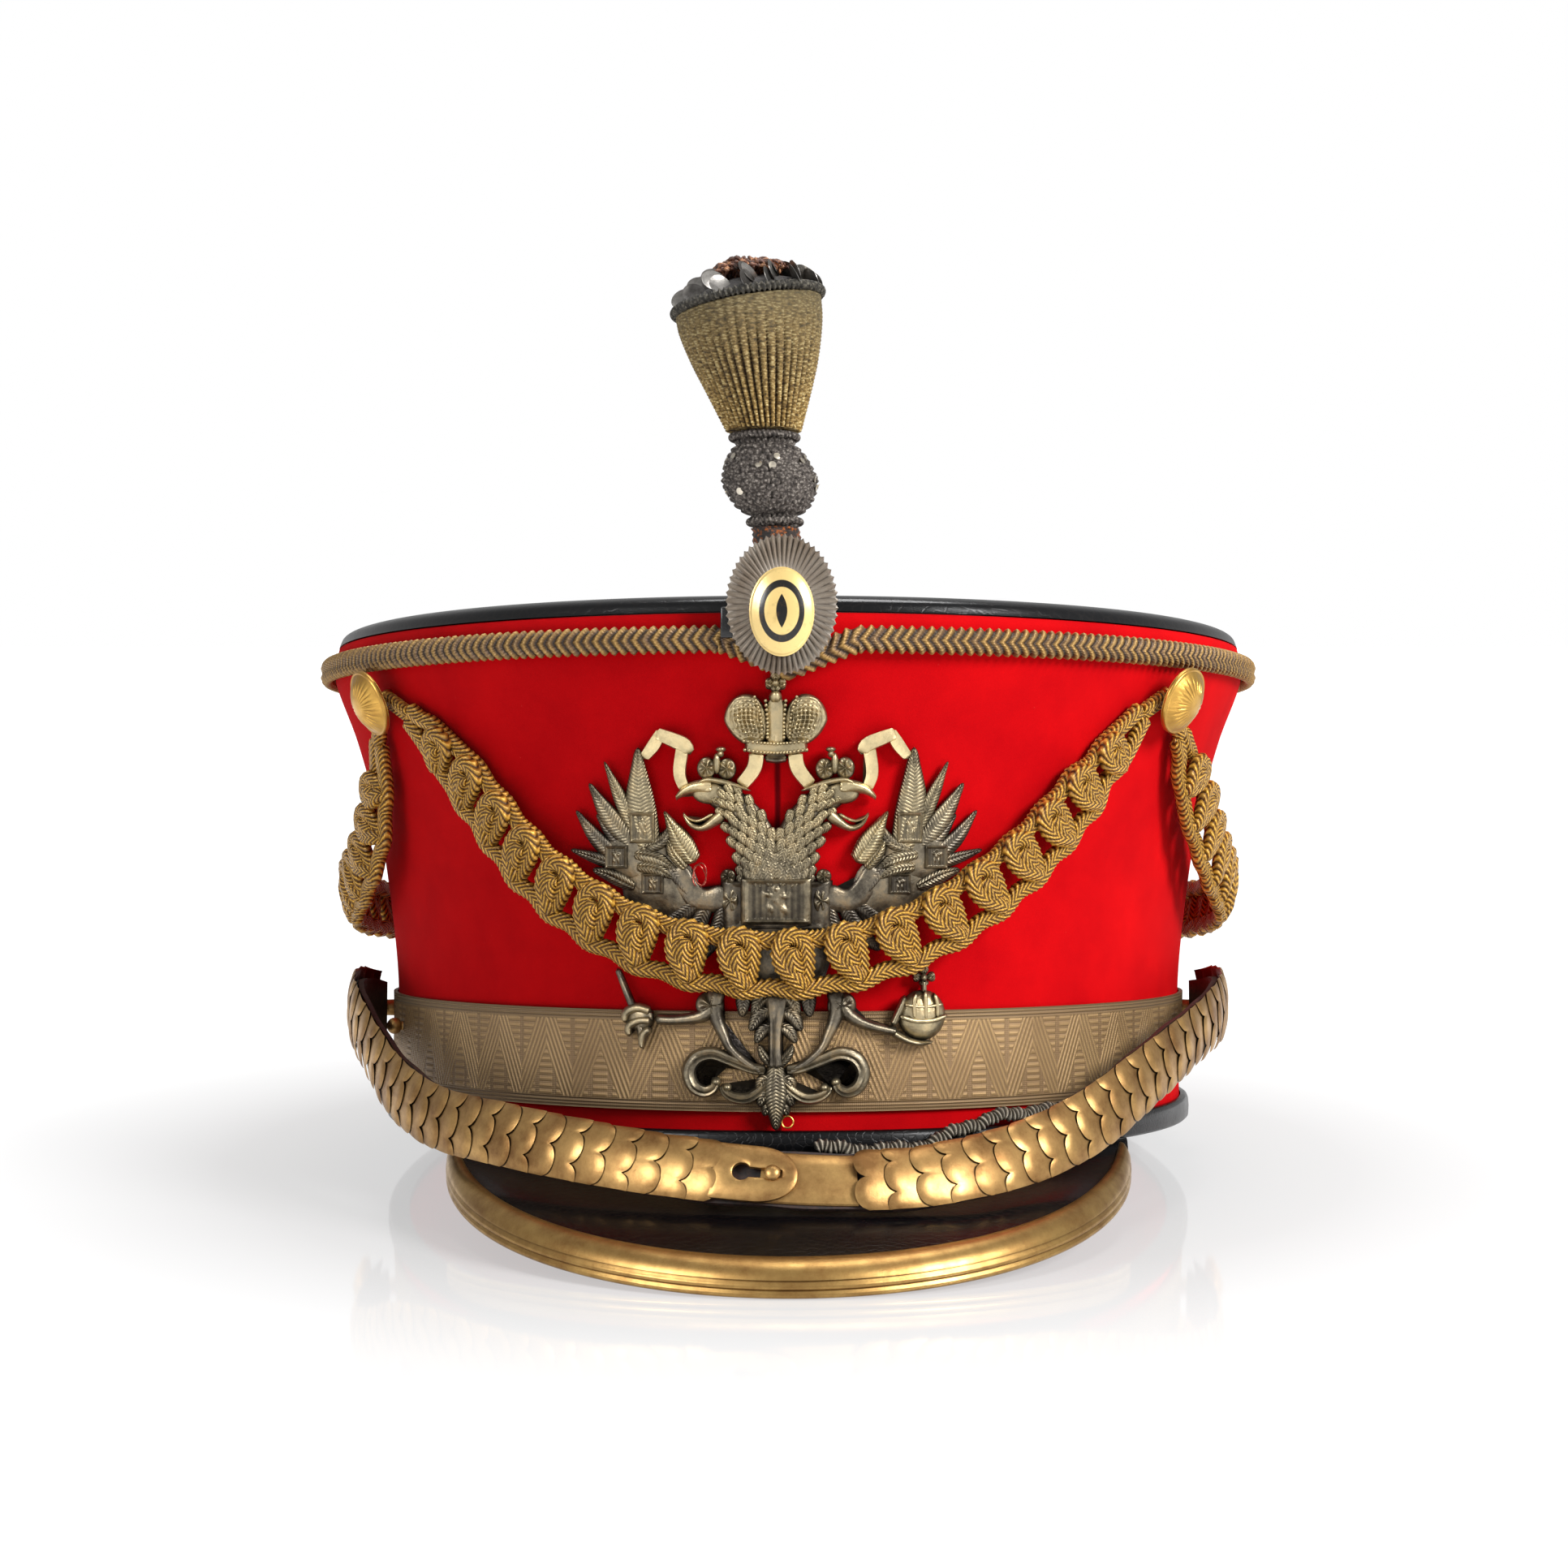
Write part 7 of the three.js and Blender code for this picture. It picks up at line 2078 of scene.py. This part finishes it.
    def lay_shield(self, piece: Workpiece, kind: str, row: Sequence[float], mirror: float) -> None:
        """Lays a framed shield.

        Args:
            piece: piece that gets the shield.
            kind: figure, ribs or plain.
            row: its row, as the tables have it.
            mirror: 1, or -1 for the other side.
        """
        gilt, low, high, x, z, half_x, half_z = row

        def relief(first: Array, second: Array) -> tuple[Array, Array, Array]:
            """Shape of the shield, with upright ribs and a small plain figure."""
            u, v = 2 * first - 1, 2 * second - 1
            edge = np.maximum(np.abs(u), np.abs(v))
            height = low + high * (0.55 + 0.45 * np.exp(-(((edge - 0.84) / 0.08) ** 2)))
            if kind != "plain":
                ribs = 0.1 if kind == "ribs" else 0.03
                height = height + ribs * np.cos(2 * math.pi * u * half_x / 0.62) * (edge < 0.76)
                for bx, bz, rx, rz in self.figure:
                    rise = np.exp(-(((u - bx) / rx) ** 2 + ((v - bz) / rz) ** 2) * 1.4)
                    height = height + 0.42 * high * rise * (0.8 + 0.3 * np.cos(19 * u + 13 * v))
            return mirror * x + half_x * u, z + half_z * v, np.where(edge > 0.985, 0.0, height)

        self.lay(piece, (38, 38), relief, gilt, (low + 0.42 * high, 0.6 * high))

    def lay_neck(self, piece: Workpiece, mirror: float) -> None:
        """Lays the overlapping feathers of one neck, from its foot up to the head.

        Args:
            piece: piece that gets them.
            mirror: 1, or -1 for the other side.
        """
        line = Outline(smoothed(np.array(self.neck), 8)[::-1])
        rows = 13
        for index in range(rows):
            at = (index + 0.4) / rows
            x, z, width = line(at)
            ahead = line(min(at + 0.05, 1))
            heading = math.atan2(ahead[1] - z, ahead[0] - x) + math.pi
            count = 4 if index < 9 else 3
            for place in range(count):
                v = ((place + 0.5 + 0.5 * (index % 2)) / count - 0.62) * 1.15
                cx, cz = x - math.sin(heading) * v * width, z + math.cos(heading) * v * width
                size = 2.5 - 0.06 * index
                splay = heading - 0.55 * v
                dx, dz = size * math.cos(splay), size * math.sin(splay)
                wide = 2.9 - 0.08 * index
                path = (cx - 0.9 * dx, cz - 0.9 * dz, wide, cx, cz, wide, cx + dx, cz + dz, wide)
                bow = 1.35 * math.sqrt(max(0.05, 1 - (1.7 * v) ** 2)) + 0.05 * index
                self.lay_stroke(piece, "leaf", (0.25 + 0.04 * index, bow + 0.05, 0.85, *path), mirror)

    def lay_beads(self, piece: Workpiece, mirror: float) -> None:
        """Lays the rows of beads of the large crown.

        Args:
            piece: piece that gets them.
            mirror: 1, or -1 for the other side.
        """
        for *points, count in self.beads:
            line = Outline(smoothed(np.array(points), 6))
            for at in np.linspace(0, 1, count):
                self.lay_dome(piece, "dome", (0.7, 2.0, 0.6, *line(at), 0.42, 0.42), mirror)

    def build(self) -> None:
        """The casting, and the small ring and loose thread beside it."""
        piece = Workpiece("eagle_cast")
        tables = ((self.strokes, self.lay_stroke), (self.domes, self.lay_dome), (self.shields, self.lay_shield))
        for table, lay in tables:
            for kind, both, rows in table:
                for row in rows:
                    lay(piece, kind, row, 1.0)
                    if both:
                        lay(piece, kind, row, -1.0)
        for mirror in (1.0, -1.0):
            self.lay_neck(piece, mirror)
            self.lay_beads(piece, mirror)
        piece.finish(CastFinish(), Slot.BADGE, "eagle_badge", sharp=55)
        self.build_loose()

    def build_loose(self) -> None:
        """A tiny ring at the tail and a stray reddish thread by the wing."""
        turn = np.linspace(0, 2 * math.pi, 49)
        facing = np.array([0.0, -1.0, 0.0])
        ring_line = self.spot(2.6 + 1.3 * np.cos(turn), 1.4 + 1.3 * np.sin(turn), 0.6 + 0 * turn)
        piece = Workpiece("tail_ring")
        Plait.round(0.16, 3.0, 0.0, sides=6).lay(piece, ring_line, facing, closed=True)
        piece.finish(replace(GILT, name="ring_gilt"), Slot.GILT)
        thread = Workpiece("loose_thread")
        for tilt, size in ((0.3, 2.7), (-0.5, 2.3)):
            x = -17.0 + 1.5 * np.cos(turn) * size / 2.7 + tilt * np.sin(turn)
            line = self.spot(x, 56.6 + size * np.sin(turn), 0.7 + 0.4 * np.sin(2 * turn + tilt))
            Plait.round(0.12, 0.6, 0.2, sides=5).lay(thread, line, facing, closed=True)
        thread.finish(PlainFinish("copper_thread", colour(190, 96, 80), colour(120, 50, 40), 0.35, 0.6), Slot.CORD)


@dataclass
class Studio:
    """Camera, floor and soft lights."""

    camera_place: tuple[float, float, float] = (-0.0009, -0.61152, 0.11608)
    camera_pitch: float = 3.284
    lens: float = 64.888
    diffuse_surround: float = 0.3
    glossy_surround: float = 0.4

    def build_camera(self) -> None:
        """The camera at the photograph's angle."""
        data = bpy.data.cameras.new("camera")
        data.lens = self.lens
        data.sensor_width = 36.0
        camera = bpy.data.objects.new("camera", data)
        camera.location = self.camera_place
        camera.rotation_euler = (math.radians(90 - self.camera_pitch), 0, 0)
        bpy.context.scene.collection.objects.link(camera)
        bpy.context.scene.camera = camera

    def build_floor(self) -> None:
        """A glossy white table that glows by itself, dimmer near the hat."""
        mesh = bmesh.new()
        bmesh.ops.create_grid(mesh, x_segments=2, y_segments=2, size=12)
        data = bpy.data.meshes.new("table")
        mesh.to_mesh(data)
        mesh.free()
        paint = Paint("white_table")
        place = paint.object_place((1, 1, 1))
        reach = paint.add("VectorMath", {0: place}, "Value", operation="LENGTH")
        # Painted light: the table glows at half strength within 0.12 m of the middle, rising to full by 0.26 m, so it
        # stays white and lights the hat from below; its own colour is paler near the middle.
        glow = paint.grey(reach, (0.12, 0.5), (0.26, 1.0))
        tint = paint.grey(reach, (0.12, 0.28), (0.5, 0.1))
        data.materials.append(paint.done(tint, 0.06, 0.0, Emission_Color=glow, Emission_Strength=1.0))
        floor = bpy.data.objects.new("table", data)
        bpy.context.scene.collection.objects.link(floor)

    def build_light(self, name: str, place: Sequence[float], size: float, power: float) -> bpy.types.Object:
        """A soft area light that faces the hat.

        Args:
            name: light's name.
            place: its place in metres.
            size: its width in metres.
            power: its power in watts.

        Returns:
            The light.
        """
        data = bpy.data.lights.new(name, "AREA")
        data.shape = "DISK"
        data.size = size
        data.energy = power
        light = bpy.data.objects.new(name, data)
        light.location = place
        aim = Vector((0, 0, 0.08)) - Vector(place)
        light.rotation_euler = aim.to_track_quat("-Z", "Y").to_euler()
        bpy.context.scene.collection.objects.link(light)
        return light

    def build_world(self) -> None:
        """White surroundings, dimmer for reflections and for soft light than for the camera."""
        world = bpy.data.worlds.new("surroundings")
        world.use_nodes = True
        tree = world.node_tree
        background = tree.nodes["Background"]
        rays = tree.nodes.new("ShaderNodeLightPath")
        source: bpy.types.NodeSocket | None = None
        for name, strength in (("Is Camera Ray", 1.0), ("Is Glossy Ray", self.glossy_surround)):
            part = tree.nodes.new("ShaderNodeMath")
            part.operation = "MULTIPLY_ADD"
            tree.links.new(rays.outputs[name], part.inputs[0])
            part.inputs[1].default_value = strength - self.diffuse_surround
            part.inputs[2].default_value = self.diffuse_surround
            if source is not None:
                tree.links.new(source, part.inputs[2])
            source = part.outputs[0]
        tree.links.new(source, background.inputs[1])
        background.inputs[0].default_value = (1, 1, 1, 1)
        bpy.context.scene.world = world
        bpy.context.scene.view_settings.view_transform = "Standard"

    def build(self) -> None:
        """Camera, floor, lights and the white surroundings."""
        self.build_camera()
        self.build_floor()
        self.build_light("key", (0.95, -0.75, 0.7), 0.55, 21.0)
        self.build_light("fill", (-0.9, -0.8, 0.5), 0.5, 0.65)
        self.build_light("gleam", (-0.75, -0.85, 0.6), 0.5, 8.0).visible_diffuse = False
        self.build_light("top", (0.1, 0.2, 1.2), 0.7, 9.0)
        self.build_world()


def main() -> None:
    """Builds every sub-assembly in order."""
    logging.basicConfig(level=logging.INFO, format="%(name)s: %(message)s")
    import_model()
    for part in (Studio(), Body(), Peak(), Cords(), ChinStrap(), Plume(), Cockade(), Badge()):
        part.build()
        LOG.info("built %s", type(part).__name__)


if __name__ == "__main__":
    main()
